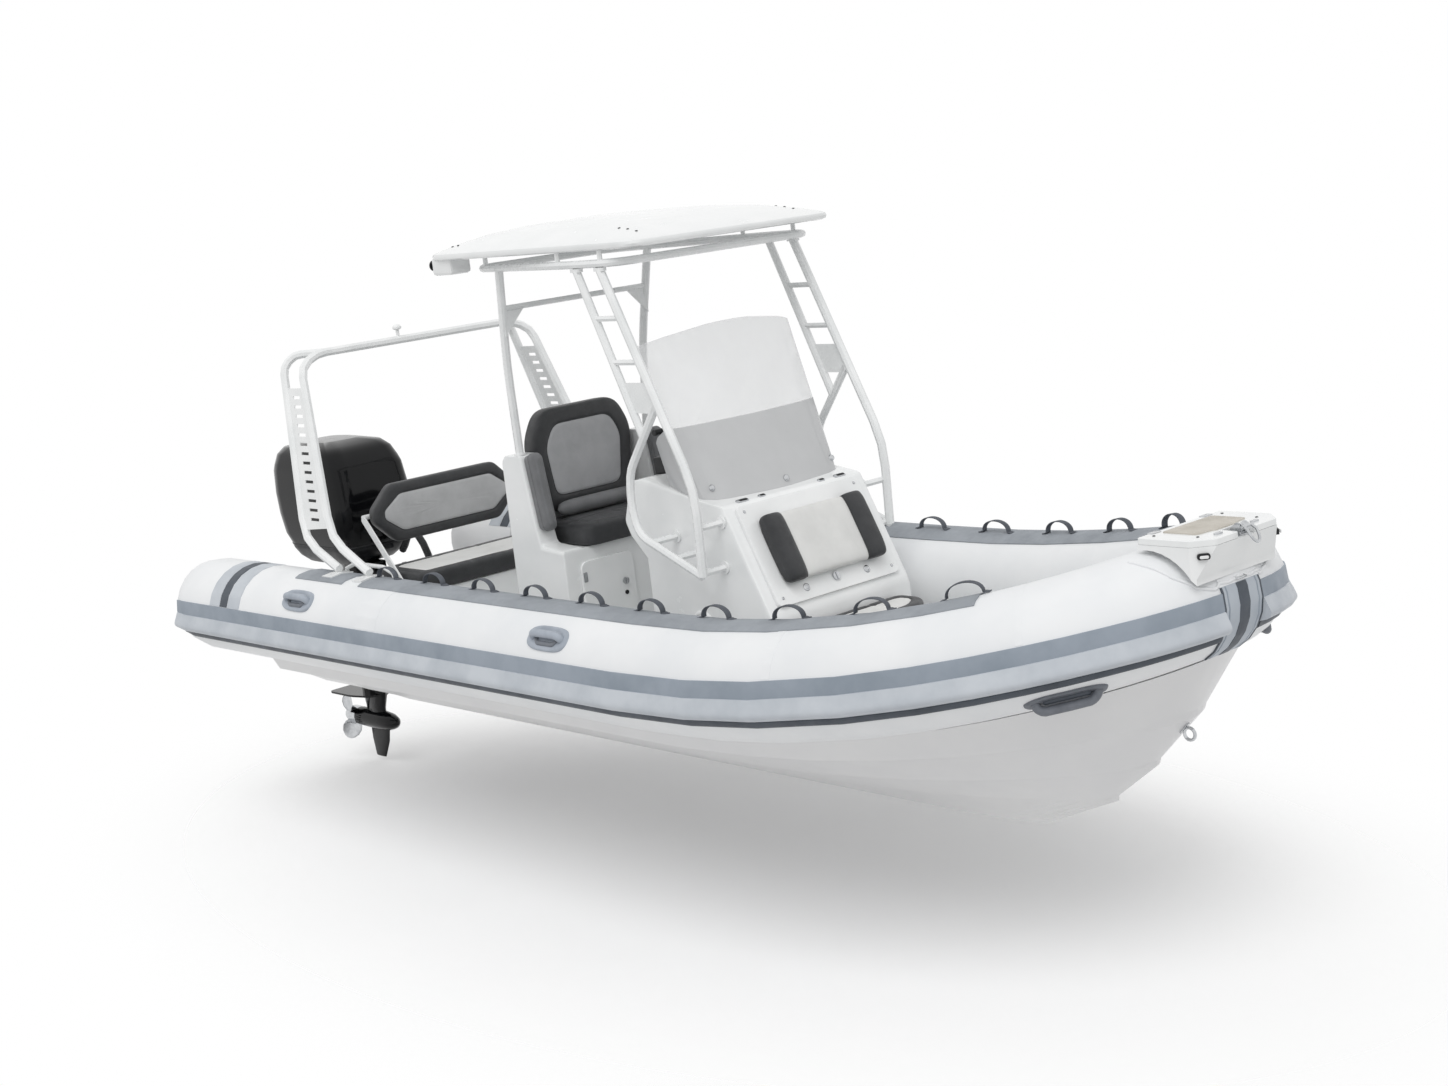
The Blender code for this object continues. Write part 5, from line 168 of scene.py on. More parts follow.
def mottle(
    tree: bpy.types.NodeTree, shader: bpy.types.Node, light: str, dark: str, patch_mm: float
) -> None:
    """Vary the base colour softly between two shades.

    Args:
        tree: The material's node tree.
        shader: The Principled shader.
        light: Hex colour of the clean surface.
        dark: Hex colour of the handled or dusty surface.
        patch_mm: Size of one patch in millimetres.
    """
    shades = {"data_type": "RGBA", 6: linear(light), 7: linear(dark)}
    blend = add_node(tree, "ShaderNodeMix", shades, {0: DUST.output(tree, patch_mm)})
    tree.links.new(blend.outputs[2], shader.inputs["Base Color"])


@dataclass(frozen=True)
class Recipe:
    """How one kind of relief is drawn.

    Attributes:
        node: The texture node's type.
        layers: Settings of each layer; the highest layer shows.
        output: The number of the output that gives the height.
        cycle: Texture units in one feature.
        levels: How the height is stretched, where it is.
    """

    node: str
    layers: tuple[dict, ...]
    output: int = 0
    cycle: float = 1.0
    levels: Optional[tuple[float, float, float, float]] = None


class Relief(Enum):
    """The kinds of fine relief that a surface can have."""

    # Orange peel of sprayed or moulded skins.
    PEEL = Recipe("ShaderNodeTexNoise", ({"Detail": 2.0},))
    # Raised dots of non-slip faces.
    PIMPLES = Recipe("ShaderNodeTexVoronoi", ({"Randomness": 0.15},), levels=(0.25, 0.5, 1.0, 0.0))
    # Creased cells of embossed hide.
    GRAIN = Recipe(
        "ShaderNodeTexVoronoi", ({"feature": "DISTANCE_TO_EDGE"},), levels=(0.0, 0.18, 0.0, 1.0)
    )
    # Crossed threads of cloth.
    WEAVE = Recipe(
        "ShaderNodeTexWave",
        tuple({"bands_direction": way, "Distortion": 0.4} for way in ("X", "DIAGONAL")), 1, 6.3,
    )
    # Rings of a ribbed hose.
    RIBS = Recipe("ShaderNodeTexWave", ({"bands_direction": "Z", "Distortion": 0.0},), 1, 3.2)


@dataclass(frozen=True)
class Texture:
    """Fine relief of a real size.

    Attributes:
        kind: What makes the relief.
        pitch_mm: Distance from one feature to the next.
        depth_mm: Height of a feature.
    """

    kind: Relief
    pitch_mm: float
    depth_mm: float

    def height(self, tree: bpy.types.NodeTree) -> bpy.types.NodeSocket:
        """Return the output that gives the relief's height from 0 to 1."""
        recipe = self.kind.value
        place = add_node(tree, "ShaderNodeTexCoord").outputs["Object"]
        scale = 1 / (self.pitch_mm * MILLIMETRE) / recipe.cycle
        layers = [
            add_node(tree, recipe.node, {**settings, "Scale": scale}, {"Vector": place})
            for settings in recipe.layers
        ]
        heights = [layer.outputs[recipe.output] for layer in layers]
        if len(heights) > 1:
            links = dict(enumerate(heights))
            return add_node(tree, "ShaderNodeMath", {"operation": "MAXIMUM"}, links).outputs[0]
        return stretch(tree, heights[0], recipe.levels) if recipe.levels else heights[0]

    def raise_surface(self, tree: bpy.types.NodeTree, shader: bpy.types.Node) -> None:
        """Feed the relief into the shader as a bump."""
        settings = {"Strength": 1.0, "Distance": self.depth_mm * MILLIMETRE}
        bump = add_node(tree, "ShaderNodeBump", settings, {"Height": self.height(tree)})
        tree.links.new(bump.outputs[0], shader.inputs["Normal"])


@dataclass(frozen=True)
class Finish:
    """What a surface is made of and how it was made.

    Attributes:
        name: The material's own name.
        slot: The record's material slot; not used.
        light: Hex colour where it is clean.
        dark: Hex colour where it is dusty or handled.
        gloss: Lowest and highest roughness.
        patch_mm: Size of the colour and gloss patches.
        texture: The fine relief.
        sockets: Other constant values of the Principled shader.
    """

    name: str
    slot: str
    light: str
    dark: str
    gloss: tuple[float, float]
    patch_mm: float
    texture: Texture
    sockets: tuple[tuple[str, float], ...] = ()

    def material(self) -> bpy.types.Material:
        """Return the material, made on its first use."""
        found = bpy.data.materials.get(self.name)
        if found is not None:
            return found
        made = bpy.data.materials.new(self.name)
        made.use_nodes = True
        tree = made.node_tree
        shader = tree.nodes["Principled BSDF"]
        for socket, value in (("Roughness", self.gloss[0]), *self.sockets):
            shader.inputs[socket].default_value = value
        mottle(tree, shader, self.light, self.dark, self.patch_mm)
        gloss = WEAR.output(tree, self.patch_mm / 4, *self.gloss)
        tree.links.new(gloss, shader.inputs["Roughness"])
        self.texture.raise_surface(tree, shader)
        made.diffuse_color = linear(self.light)
        return made


FINE_PEEL = Texture(Relief.PEEL, 3, 0.03)
HANDLE_PEEL = Texture(Relief.PEEL, 2.5, 0.04)
ACRYLIC_PEEL = Texture(Relief.PEEL, 60, 0.02)
DEEP_HIDE = Texture(Relief.GRAIN, 3, 0.12)
FINE_HIDE = Texture(Relief.GRAIN, 3, 0.1)
COAT = (("Coat Weight", 0.35), ("Coat Roughness", 0.08))
SHEEN = (("Sheen Weight", 0.08),)

# Glass-fibre moulding in white gelcoat: glossy, with a faint orange peel and a trace of dust.
GELCOAT = Finish(
    "moulded_gelcoat_white", "gelcoat_white", "F1F2F2", "E9EBEB", (0.16, 0.28), 420,
    Texture(Relief.PEEL, 9, 0.02), COAT,
)
# The same moulding below the tubes, where it is a touch greyer in the mould's colour.
HULL_GELCOAT = Finish(
    "moulded_gelcoat_hull", "gelcoat_white", "E4E4E4", "DEDEDF", (0.30, 0.38), 900,
    Texture(Relief.PEEL, 40, 0.02), (("Coat Weight", 0.15), ("Coat Roughness", 0.2)),
)
# Liner with a moulded non-slip: real dots are 3 mm apart, drawn at 9 mm so that they show.
NON_SLIP_GELCOAT = Finish(
    "moulded_gelcoat_non_slip", "deck_grey", "E4E6E6", "D9DCDC", (0.4, 0.55), 350,
    Texture(Relief.PIMPLES, 9, 0.35),
)
# Synthetic rubber on woven cloth: satin, with a soft peel drawn at 5 mm.
TUBE_FABRIC = Finish(
    "coated_fabric_white", "tube_white", "EEEFF0", "E6E8EA", (0.38, 0.5), 700,
    Texture(Relief.PEEL, 5, 0.04), (("Specular IOR Level", 0.4),),
)
# Extruded rubber of the rubbing strake's flat band: dull sheen, fine dust.
STRAKE_BAND = Finish(
    "extruded_rubber_mid_grey", "band_grey", "98A1AC", "8A949F", (0.45, 0.6), 300,
    FINE_PEEL,
)
# Extruded rubber nose of the strake: paler and smoother where it is rubbed.
STRAKE_NOSE = Finish(
    "extruded_rubber_light_grey", "band_grey", "C3C8CE", "B4BAC1", (0.38, 0.52), 260,
    FINE_PEEL,
)
# Slate rubber of the strake's lower line and of the wraps' stripes; also the painted shade in the
# stem handles' hand holes.
SLATE_RUBBER = Finish(
    "extruded_rubber_slate", "band_grey", "474E57", "3B4149", (0.45, 0.6), 260,
    FINE_PEEL,
)
# Paler bonded rubber of the stem wrap.
WRAP_RUBBER = Finish(
    "bonded_rubber_pale_grey", "band_grey", "B4BBC3", "A9B1BA", (0.4, 0.55), 260,
    FINE_PEEL,
)
# Embossed rubber sheet to walk on: real dots are 3 mm apart, drawn at 7 mm.
STEP_RUBBER = Finish(
    "embossed_rubber_grey", "grip_grey", "9EA3A9", "90959B", (0.65, 0.85), 220,
    Texture(Relief.PIMPLES, 7, 0.5),
)
# Woven polyester webbing of the straps: 1.5 mm threads drawn at 4 mm.
WEBBING = Finish(
    "woven_webbing_dark_grey", "grip_grey", "5D6168", "4C5056", (0.7, 0.85), 120,
    Texture(Relief.WEAVE, 4, 0.3),
)
# Moulded rubber of the carry handles.
HANDLE_RUBBER = Finish(
    "moulded_rubber_pale_grey", "handle_grey", "A9B0BA", "9AA2AC", (0.42, 0.55), 90,
    HANDLE_PEEL,
)
# Moulded rubber of the handles below the bow's band; also the painted shade in the carry handles'
# hand holes.
DARK_HANDLE_RUBBER = Finish(
    "moulded_rubber_dark_grey", "handle_dark", "74787F", "666A71", (0.45, 0.6), 90,
    HANDLE_PEEL,
)
# Powder-coated aluminium tube: white, glossy, with the coating's fine peel.
POWDER_COAT = Finish(
    "powder_coated_aluminium_white", "alloy_white", "F0F1F1", "E6E8E8", (0.2, 0.34), 180,
    FINE_PEEL, (("Coat Weight", 0.2), ("Coat Roughness", 0.12)),
)
# Polished marine stainless steel.
STAINLESS = Finish(
    "polished_stainless_steel", "steel", "C9CBCD", "B9BBBE", (0.12, 0.26), 30,
    Texture(Relief.PEEL, 1.2, 0.01), (("Metallic", 1.0),),
)
# Vinyl upholstery embossed with a hide grain: real cells are 1.5 mm, drawn at 3 mm.
DARK_VINYL = Finish(
    "embossed_vinyl_charcoal", "leatherette_dark", "333436", "2B2C2E", (0.45, 0.6), 140,
    DEEP_HIDE, SHEEN,
)
# The centre of the helm seat, a shade up from its border.
SEAT_VINYL = Finish(
    "embossed_vinyl_dark_grey", "leatherette_dark", "454648", "3B3C3E", (0.45, 0.6), 140,
    DEEP_HIDE, SHEEN,
)
# The grey grade of the same vinyl on the thigh and back rolls.
GREY_VINYL = Finish(
    "embossed_vinyl_mid_grey", "leatherette_dark", "77787A", "6A6B6D", (0.45, 0.6), 140,
    DEEP_HIDE, SHEEN,
)
# Woven vinyl of the seats' centres: threads are 1 mm, drawn at 4 mm.
WOVEN_VINYL = Finish(
    "woven_vinyl_grey", "leatherette_grey", "B4B5B7", "A9AAAC", (0.55, 0.7), 160,
    Texture(Relief.WEAVE, 4, 0.25),
)
# The middle grade, on the bench's backrest.
MID_VINYL = Finish(
    "embossed_vinyl_light_grey", "leatherette_grey", "B9BABB", "AEAFB0", (0.45, 0.6), 160,
    FINE_HIDE, SHEEN,
)
# Embossed vinyl of the pale seats' centres.
PALE_VINYL = Finish(
    "embossed_vinyl_pale_grey", "leatherette_grey", "E0E0DE", "D8D8D6", (0.45, 0.6), 160,
    FINE_HIDE, SHEEN,
)
# Moulded black ABS with a spark-eroded grain.
BLACK_ABS = Finish(
    "moulded_abs_black", "plastic_black", "17181A", "1F2022", (0.4, 0.58), 60,
    Texture(Relief.PEEL, 1.5, 0.05), (("Specular IOR Level", 0.35),),
)
# Two-layer black lacquer of the motor: deep gloss under a clear coat.
MOTOR_LACQUER = Finish(
    "lacquered_cowl_black", "motor_black", "08090B", "0B0C0E", (0.12, 0.2), 300,
    Texture(Relief.PEEL, 30, 0.01),
    (("Specular IOR Level", 0.14), ("Coat Weight", 0.2), ("Coat Roughness", 0.05)),
)
# Dull black lacquer of the motor's brackets and lower mouldings.
MOTOR_SATIN = Finish(
    "lacquered_casting_black", "motor_black", "101114", "17181B", (0.3, 0.45), 120,
    Texture(Relief.PEEL, 3, 0.04), (("Specular IOR Level", 0.3),),
)
# Bare cast alloy of the engine: grey, dull, with the sand's grain.
CAST_ALLOY = Finish(
    "sand_cast_alloy", "motor_core", "7C7E81", "6B6D70", (0.45, 0.65), 50,
    Texture(Relief.PEEL, 2, 0.12), (("Metallic", 0.85),),
)
# Ribbed rubber hose that holds the motor's cables.
HOSE_RUBBER = Finish(
    "ribbed_rubber_black", "hose_dark", "1B1C1E", "252628", (0.5, 0.65), 80,
    Texture(Relief.RIBS, 12, 1.2),
)
# Opal polycarbonate of the navigation light.
OPAL = Finish(
    "moulded_polycarbonate_opal", "light_white", "F2F3F3", "ECEDED", (0.15, 0.25), 60,
    Texture(Relief.PEEL, 4, 0.02), COAT,
)
# Foamed deck covering on the bow locker's lid: beige-grey, with brushed grain.
DECK_FOAM = Finish(
    "brushed_deck_foam_beige", "grip_grey", "CDC8BF", "BFBAB0", (0.75, 0.9), 90,
    Texture(Relief.PIMPLES, 5, 0.3),
)
# Clear cast acrylic, drawn pale grey as it looks edge on and against the light.
CLEAR_ACRYLIC = Finish(
    "cast_acrylic_clear", "screen_clear", "EEEFF0", "E8E9EA", (0.05, 0.1), 400,
    ACRYLIC_PEEL, (("Alpha", 0.42), ("IOR", 1.49)),
)
# Grey tinted cast acrylic of the lower screen.
GREY_ACRYLIC = Finish(
    "cast_acrylic_grey", "screen_grey", "CBCCCD", "C5C6C7", (0.08, 0.14), 400,
    ACRYLIC_PEEL, (("Alpha", 0.92), ("IOR", 1.49)),
)


@dataclass(frozen=True)
class Piece:
    """A new piece, and the ways to give it a shape.

    Attributes:
        name: The piece's name.
        finish: Its main finish.
        body: The CAD body that it moves with.
        smooth: Edges sharper than this many degrees stay crisp.
        panel: The finish of its marked faces, where it has two.
    """

    name: str
    finish: Finish
    body: str = "boat"
    smooth: float = 35.0
    panel: Optional[Finish] = None

    def put(self, data: bpy.types.ID) -> bpy.types.Object:
        """Put an object with this shape on the piece's body."""
        made = bpy.data.objects.new(self.name, data)
        bpy.context.scene.collection.objects.link(made)
        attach(made, self.body)
        LOG.info("piece %s on %s in %s", self.name, self.body, self.finish.name)
        return made

    def loft(
        self, rings: Sequence[Sequence[Point]], marked: Container[int] = ()
    ) -> bpy.types.Object:
        """Skin a row of closed rings and fill both ends.

        Args:
            rings: Rows of points in the boat's frame, each with the same count.
            marked: The rows of faces that take the panel's finish.

        Returns:
            The new object.
        """
        count = len(rings[0])
        faces, marks = [], []
        for row in range(len(rings) - 1):
            low, high = row * count, (row + 1) * count
            for index in range(count):
                after = (index + 1) % count
                faces.append((low + index, low + after, high + after, high + index))
                marks.append(int(row in marked))
        faces += [tuple(range(count)), tuple(range((len(rings) - 1) * count, len(rings) * count))]
        marks += [marks[0], marks[-1]]
        mesh = bpy.data.meshes.new(self.name)
        mesh.from_pydata([tuple(point) for ring in rings for point in ring], [], faces)
        for look in (self.finish, self.panel):
            if look is not None:
                mesh.materials.append(look.material())
        mesh.polygons.foreach_set("material_index", marks)
        work = bmesh.new()
        work.from_mesh(mesh)
        bmesh.ops.recalc_face_normals(work, faces=work.faces[:])
        limit = math.radians(self.smooth)
        for face in work.faces:
            face.smooth = True
        for edge in work.edges:
            edge.smooth = len(edge.link_faces) == 2 and edge.calc_face_angle(0.0) < limit
        work.to_mesh(mesh)
        work.free()
        return self.put(mesh)

    def rod(self, path: Sequence[Point], radius: float, cyclic: bool = False) -> bpy.types.Object:
        """Make a round bar, bead or tube along a path.

        Args:
            path: Points in the boat's frame.
            radius: The bar's radius.
            cyclic: Whether the path closes on itself.

        Returns:
            The new object.
        """
        curve = bpy.data.curves.new(self.name, "CURVE")
        curve.dimensions = "3D"
        curve.bevel_depth = radius
        curve.bevel_resolution = 4
        curve.use_fill_caps = True
        line = curve.splines.new("POLY")
        line.points.add(len(path) - 1)
        for spot, point in zip(line.points, path):
            spot.co = (*point, 1.0)
        line.use_cyclic_u = cyclic
        line.use_smooth = True
        curve.materials.append(self.finish.material())
        return self.put(curve)

    def lathe(self, profile: Outline, place: Matrix, steps: int = 32) -> bpy.types.Object:
        """Turn a profile about the local Z axis.

        Args:
            profile: Radius and height pairs, from one end to the other.
            place: The local frame.
            steps: Faces round the axis.

        Returns:
            The new object.
        """
        turns = [math.tau * step / steps for step in range(steps)]
        return self.loft([
            [place @ Vector((radius * math.cos(a), radius * math.sin(a), height)) for a in turns]
            for radius, height in profile
        ])

    def plate(
        self, outline: Outline, thickness: float, edge: float, place: Matrix
    ) -> bpy.types.Object:
        """Make a flat plate with an eased upper edge.

        Args:
            outline: Its outline in the local XY plane.
            thickness: Its thickness along local Z.
            edge: The radius of its upper edge.
            place: The local frame.

        Returns:
            The new object.
        """
        middle = Vector([sum(values) / len(outline) for values in zip(*outline)])
        half = max(max(abs(x - middle.x), abs(y - middle.y)) for x, y in outline)
        eased = 0.3 * edge
        rings = []
        for inset, drop in ((0.0, thickness), (0.0, edge), (eased, eased), (edge, 0.0)):
            flat = [middle + (Vector(point) - middle) * (1 - inset / half) for point in outline]
            rings.append([place @ Vector((*spot, thickness - drop)) for spot in flat])
        return self.loft(rings)

    def screws(self, radius: float, normal: Point, places: Sequence[Point]) -> None:
        """Set domed screw heads on a face.

        Args:
            radius: Their radius.
            normal: The face's outward normal.
            places: Their centres on the face.
        """
        dome = ((1.0, -0.2), (1.0, 0.1), (0.86, 0.32), (0.5, 0.45), (0.32, 0.36))
        profile = [(radius * out, radius * rise) for out, rise in dome]
        side = Vector(normal).orthogonal()
        for number, place in enumerate(places):
            head = replace(self, name=f"{self.name}_{number}")
            head.lathe(profile, axes_frame(place, side, normal), 20)


def rounded_rectangle(length: float, width: float, corner: float) -> Outline:
    """Return a rectangle with round corners, centred on the origin.

    Args:
        length: Size along X.
        width: Size along Y.
        corner: Corner radius.

    Returns:
        The outline, counter-clockwise.
    """
    steps = 8
    points = []
    for number, (sign_x, sign_y) in enumerate(((1, 1), (-1, 1), (-1, -1), (1, -1))):
        for step in range(steps + 1):
            turn = math.radians(90 * number + 90 * step / steps)
            x = sign_x * (length / 2 - corner) + corner * math.cos(turn)
            points.append((x, sign_y * (width / 2 - corner) + corner * math.sin(turn)))
    return points


def rounded_corners(outline: Outline, radius: float, steps: int) -> Outline:
    """Round each corner of a polygon.

    Args:
        outline: The polygon.
        radius: Distance from each corner at which its curve starts.
        steps: Points on each curve.

    Returns:
        The rounded outline.
    """
    corners = [Vector(point) for point in outline]
    result = []
    for before, here, after in zip(corners[-1:] + corners, corners, corners[1:] + corners[:1]):
        first, last = (
            here + (other - here).normalized() * min(radius, (other - here).length / 2.1)
            for other in (before, after)
        )
        for step in range(steps + 1):
            share = step / steps
            result.append(tuple(first.lerp(here, share).lerp(here.lerp(last, share), share)))
    return result


def resampled(outline: Outline, count: int) -> Outline:
    """Spread points evenly along a closed outline.

    Args:
        outline: The closed outline.
        count: Number of points to return.

    Returns:
        The evenly spaced points.
    """
    corners = [Vector(point) for point in outline]
    lengths = [(here - before).length for before, here in zip(corners[-1:] + corners, corners)]
    result = []
    index, walked = 0, 0.0
    for step in range(count):
        target = sum(lengths) * step / count
        while walked + lengths[(index + 1) % len(corners)] < target:
            index += 1
            walked += lengths[index % len(corners)]
        after = (index + 1) % len(corners)
        share = (target - walked) / (lengths[after] or 1.0)
        result.append(tuple(corners[index % len(corners)].lerp(corners[after], share)))
    return result


def axes_frame(origin: Point, x_axis: Point, z_axis: Point) -> Matrix:
    """Return a frame from its origin, its X axis and its Z axis."""
    along = Vector(x_axis).normalized()
    normal = Vector(z_axis).normalized()
    turned = Matrix((along, normal.cross(along), normal)).transposed().to_4x4()
    return Matrix.Translation(Vector(origin)) @ turned


def skin_hit(node: str, start: Vector, way: Vector) -> Optional[Vector]:
    """Return where a ray first meets a CAD node, in the boat's frame.

    Args:
        node: The CAD node.
        start: The ray's start.
        way: The ray's direction.

    Returns:
        The point, or None where the ray misses.
    """
    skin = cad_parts[node]
    inverse = skin.matrix_world.inverted()
    hit, place, _, _ = skin.ray_cast(inverse @ start, inverse.to_3x3() @ way)
    return skin.matrix_world @ place if hit else None


@dataclass
class Assembly:
    """A part of the boat: CAD nodes with their finishes, and pieces added to them."""

    # Finish, the degrees above which an edge stays crisp, and the nodes' names.
    nodes: ClassVar[tuple] = ()

    def dress(self) -> None:
        """Give each CAD node its finish and smooth shading; its shape stays."""
        for finish, smooth_degrees, names in self.nodes:
            for name in names.split():
                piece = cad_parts[name]
                mesh = piece.data
                if "custom_normal" in mesh.attributes:
                    mesh.attributes.remove(mesh.attributes["custom_normal"])
                if not mesh.materials:
                    mesh.materials.append(finish.material())
                for slot in piece.material_slots:
                    slot.material = finish.material()
                mesh.polygons.foreach_set("use_smooth", [True] * len(mesh.polygons))
                weld = piece.modifiers.new("joined_corners", "WELD")
                weld.merge_threshold = MILLIMETRE / 100
                split = piece.modifiers.new("crisp_edges", "EDGE_SPLIT")
                split.split_angle = math.radians(smooth_degrees)
                even = piece.modifiers.new("flat_faces_first", "WEIGHTED_NORMAL")
                even.keep_sharp = True
                LOG.info("node %s in %s", name, finish.name)

    def build(self) -> None:
        """Make the pieces that the solids leave out."""


@dataclass(frozen=True)
class Channel:
    """A sewn channel across a pad.

    Attributes:
        axis: 0 where the channel lies at a constant local X, 1 at a constant Y.
        at: That coordinate.
        depth: The channel's depth.
        width: Its half width.
    """

    axis: int
    at: float
    depth: float = 0.006
    width: float = 0.008


@dataclass
class Pad:
    """A foam pad with a sewn border, a crowned centre and drawn-in sides.

    Attributes:
        cover: The piece, with the finishes of its border and its centre.
        node: The CAD node that it replaces.
        outline: Its outline in the local XY plane.
        thickness: Its thickness along local Z.
        place: The local frame.
        border: Width of the border outside the seam.
        channels: Sewn channels on the upper face.
        fill: How tightly it is stuffed; not used.
        round_points: Points round each ring.
    """

    cover: Piece
    node: str
    outline: Outline
    thickness: float
    place: Matrix
    border: float
    channels: Sequence[Channel] = ()
    fill: float = 0.8
    round_points: int = 112
    crown_steps: ClassVar[int] = 7

    def rings(self) -> list[tuple[float, float]]:
        """Return the inset and height of each ring, from the base up."""
        thick = self.thickness
        edge = min(0.35 * thick, 0.03)
        seam = self.border
        top = thick * 0.93
        rows = [
            (0.010, 0.0), (0.003, thick * 0.05), (0.004, thick * 0.16), (0.001, thick * 0.40),
            (0.0, thick * 0.55), (0.001, top - edge * 0.75), (edge * 0.14, top - edge * 0.40),
            (edge * 0.42, top - edge * 0.14), (edge * 0.9, top),
        ]
        if seam > edge * 1.5:
            rows += [
                (edge * 0.9 + (seam - edge * 0.9) * 0.5, top + 0.001), (seam - 0.008, top),
                (seam - 0.003, top - 0.004), (seam, top - 0.0065), (seam + 0.003, top - 0.004),
                (seam + 0.009, top + 0.001),
            ]
        return rows

    def build(self) -> bpy.types.Object:
        """Returns:
            The pad.
        """
        outline = resampled(self.outline, self.round_points)
        ends = [(min(values), max(values)) for values in zip(*outline)]
        middle = Vector([(low + high) / 2 for low, high in ends])
        half = Vector([(high - low) / 2 for low, high in ends])
        rows = self.rings()
        start, top = rows[-1]
        reach = min(half) * 0.86
        for step in range(1, self.crown_steps + 1):
            share = step / self.crown_steps
            rise = (self.thickness - top) * math.sin(share * math.pi / 2) ** 0.8
            rows.append((start + (reach - start) * share, top + rise))
        seams = [i for i, row in enumerate(rows) if abs(row[0] - self.border) < 1e-9]
        seam_row = seams[0] if seams else len(rows)
        rings = []
        for inset, height in rows:
            shrink = Vector((1 - inset / half.x, 1 - inset / half.y))
            flat = [middle + (Vector(point) - middle) * shrink for point in outline]
            rings.append([Vector(self.settled(spot, height)) for spot in flat])
        placed = [[self.place @ point for point in ring] for ring in rings]
        pad = self.cover.loft(placed, range(seam_row, len(rows)))
        soften(pad)
        if seam_row < len(rows):
            bead = [self.place @ (point + Vector((0, 0, 0.001))) for point in rings[seam_row]]
            replace(self.cover, name=self.cover.name + "_piping").rod(bead, 0.0028, True)
        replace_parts(pad, self.node)
        return pad

    def settled(self, spot: Vector, height: float) -> tuple[float, float, float]:
        """Return a surface point with the channels and the cloth's slack in it.

        Args:
            spot: The local X and Y.
            height: The height before the cloth settles.

        Returns:
            The local point.
        """
        if height > self.thickness * 0.7:
            for channel in self.channels:
                off = (spot[channel.axis] - channel.at) / channel.width
                height -= channel.depth * math.exp(-off * off)
            slack = noise.noise(Vector((spot.x, spot.y, self.thickness)) * 14)
            ripple = noise.noise(Vector((spot.x, spot.y, 3.0)) * 55)
            height += 0.0016 * min(slack, 0.3) + 0.0006 * ripple
        return (spot.x, spot.y, height)


def soften(pad: bpy.types.Object) -> None:
    """Round a pad with one level of subdivision."""
    smooth = pad.modifiers.new("foam_roundness", "SUBSURF")
    smooth.levels = smooth.render_levels = 1


@dataclass(frozen=True)
class Slice:
    """One slice of the buoyancy tube, square to its axis.

    Attributes:
        centre: The axis point on the port side.
        outward: The level direction away from the boat.
        radius: The tube's radius there.
    """

    centre: Vector
    outward: Vector
    radius: float

    def point(self, degrees: float, offset: float, side: int) -> Vector:
        """Return a point round the tube.

        Args:
            degrees: Angle from outward, up.
            offset: Distance off the skin.
            side: 1 to port, -1 to starboard.

        Returns:
            The point in the boat's frame.
        """
        turn = math.radians(degrees)
        reach = self.radius + offset
        place = self.centre + self.outward * reach * math.cos(turn)
        place.z += reach * math.sin(turn)
        place.y *= side
        return place


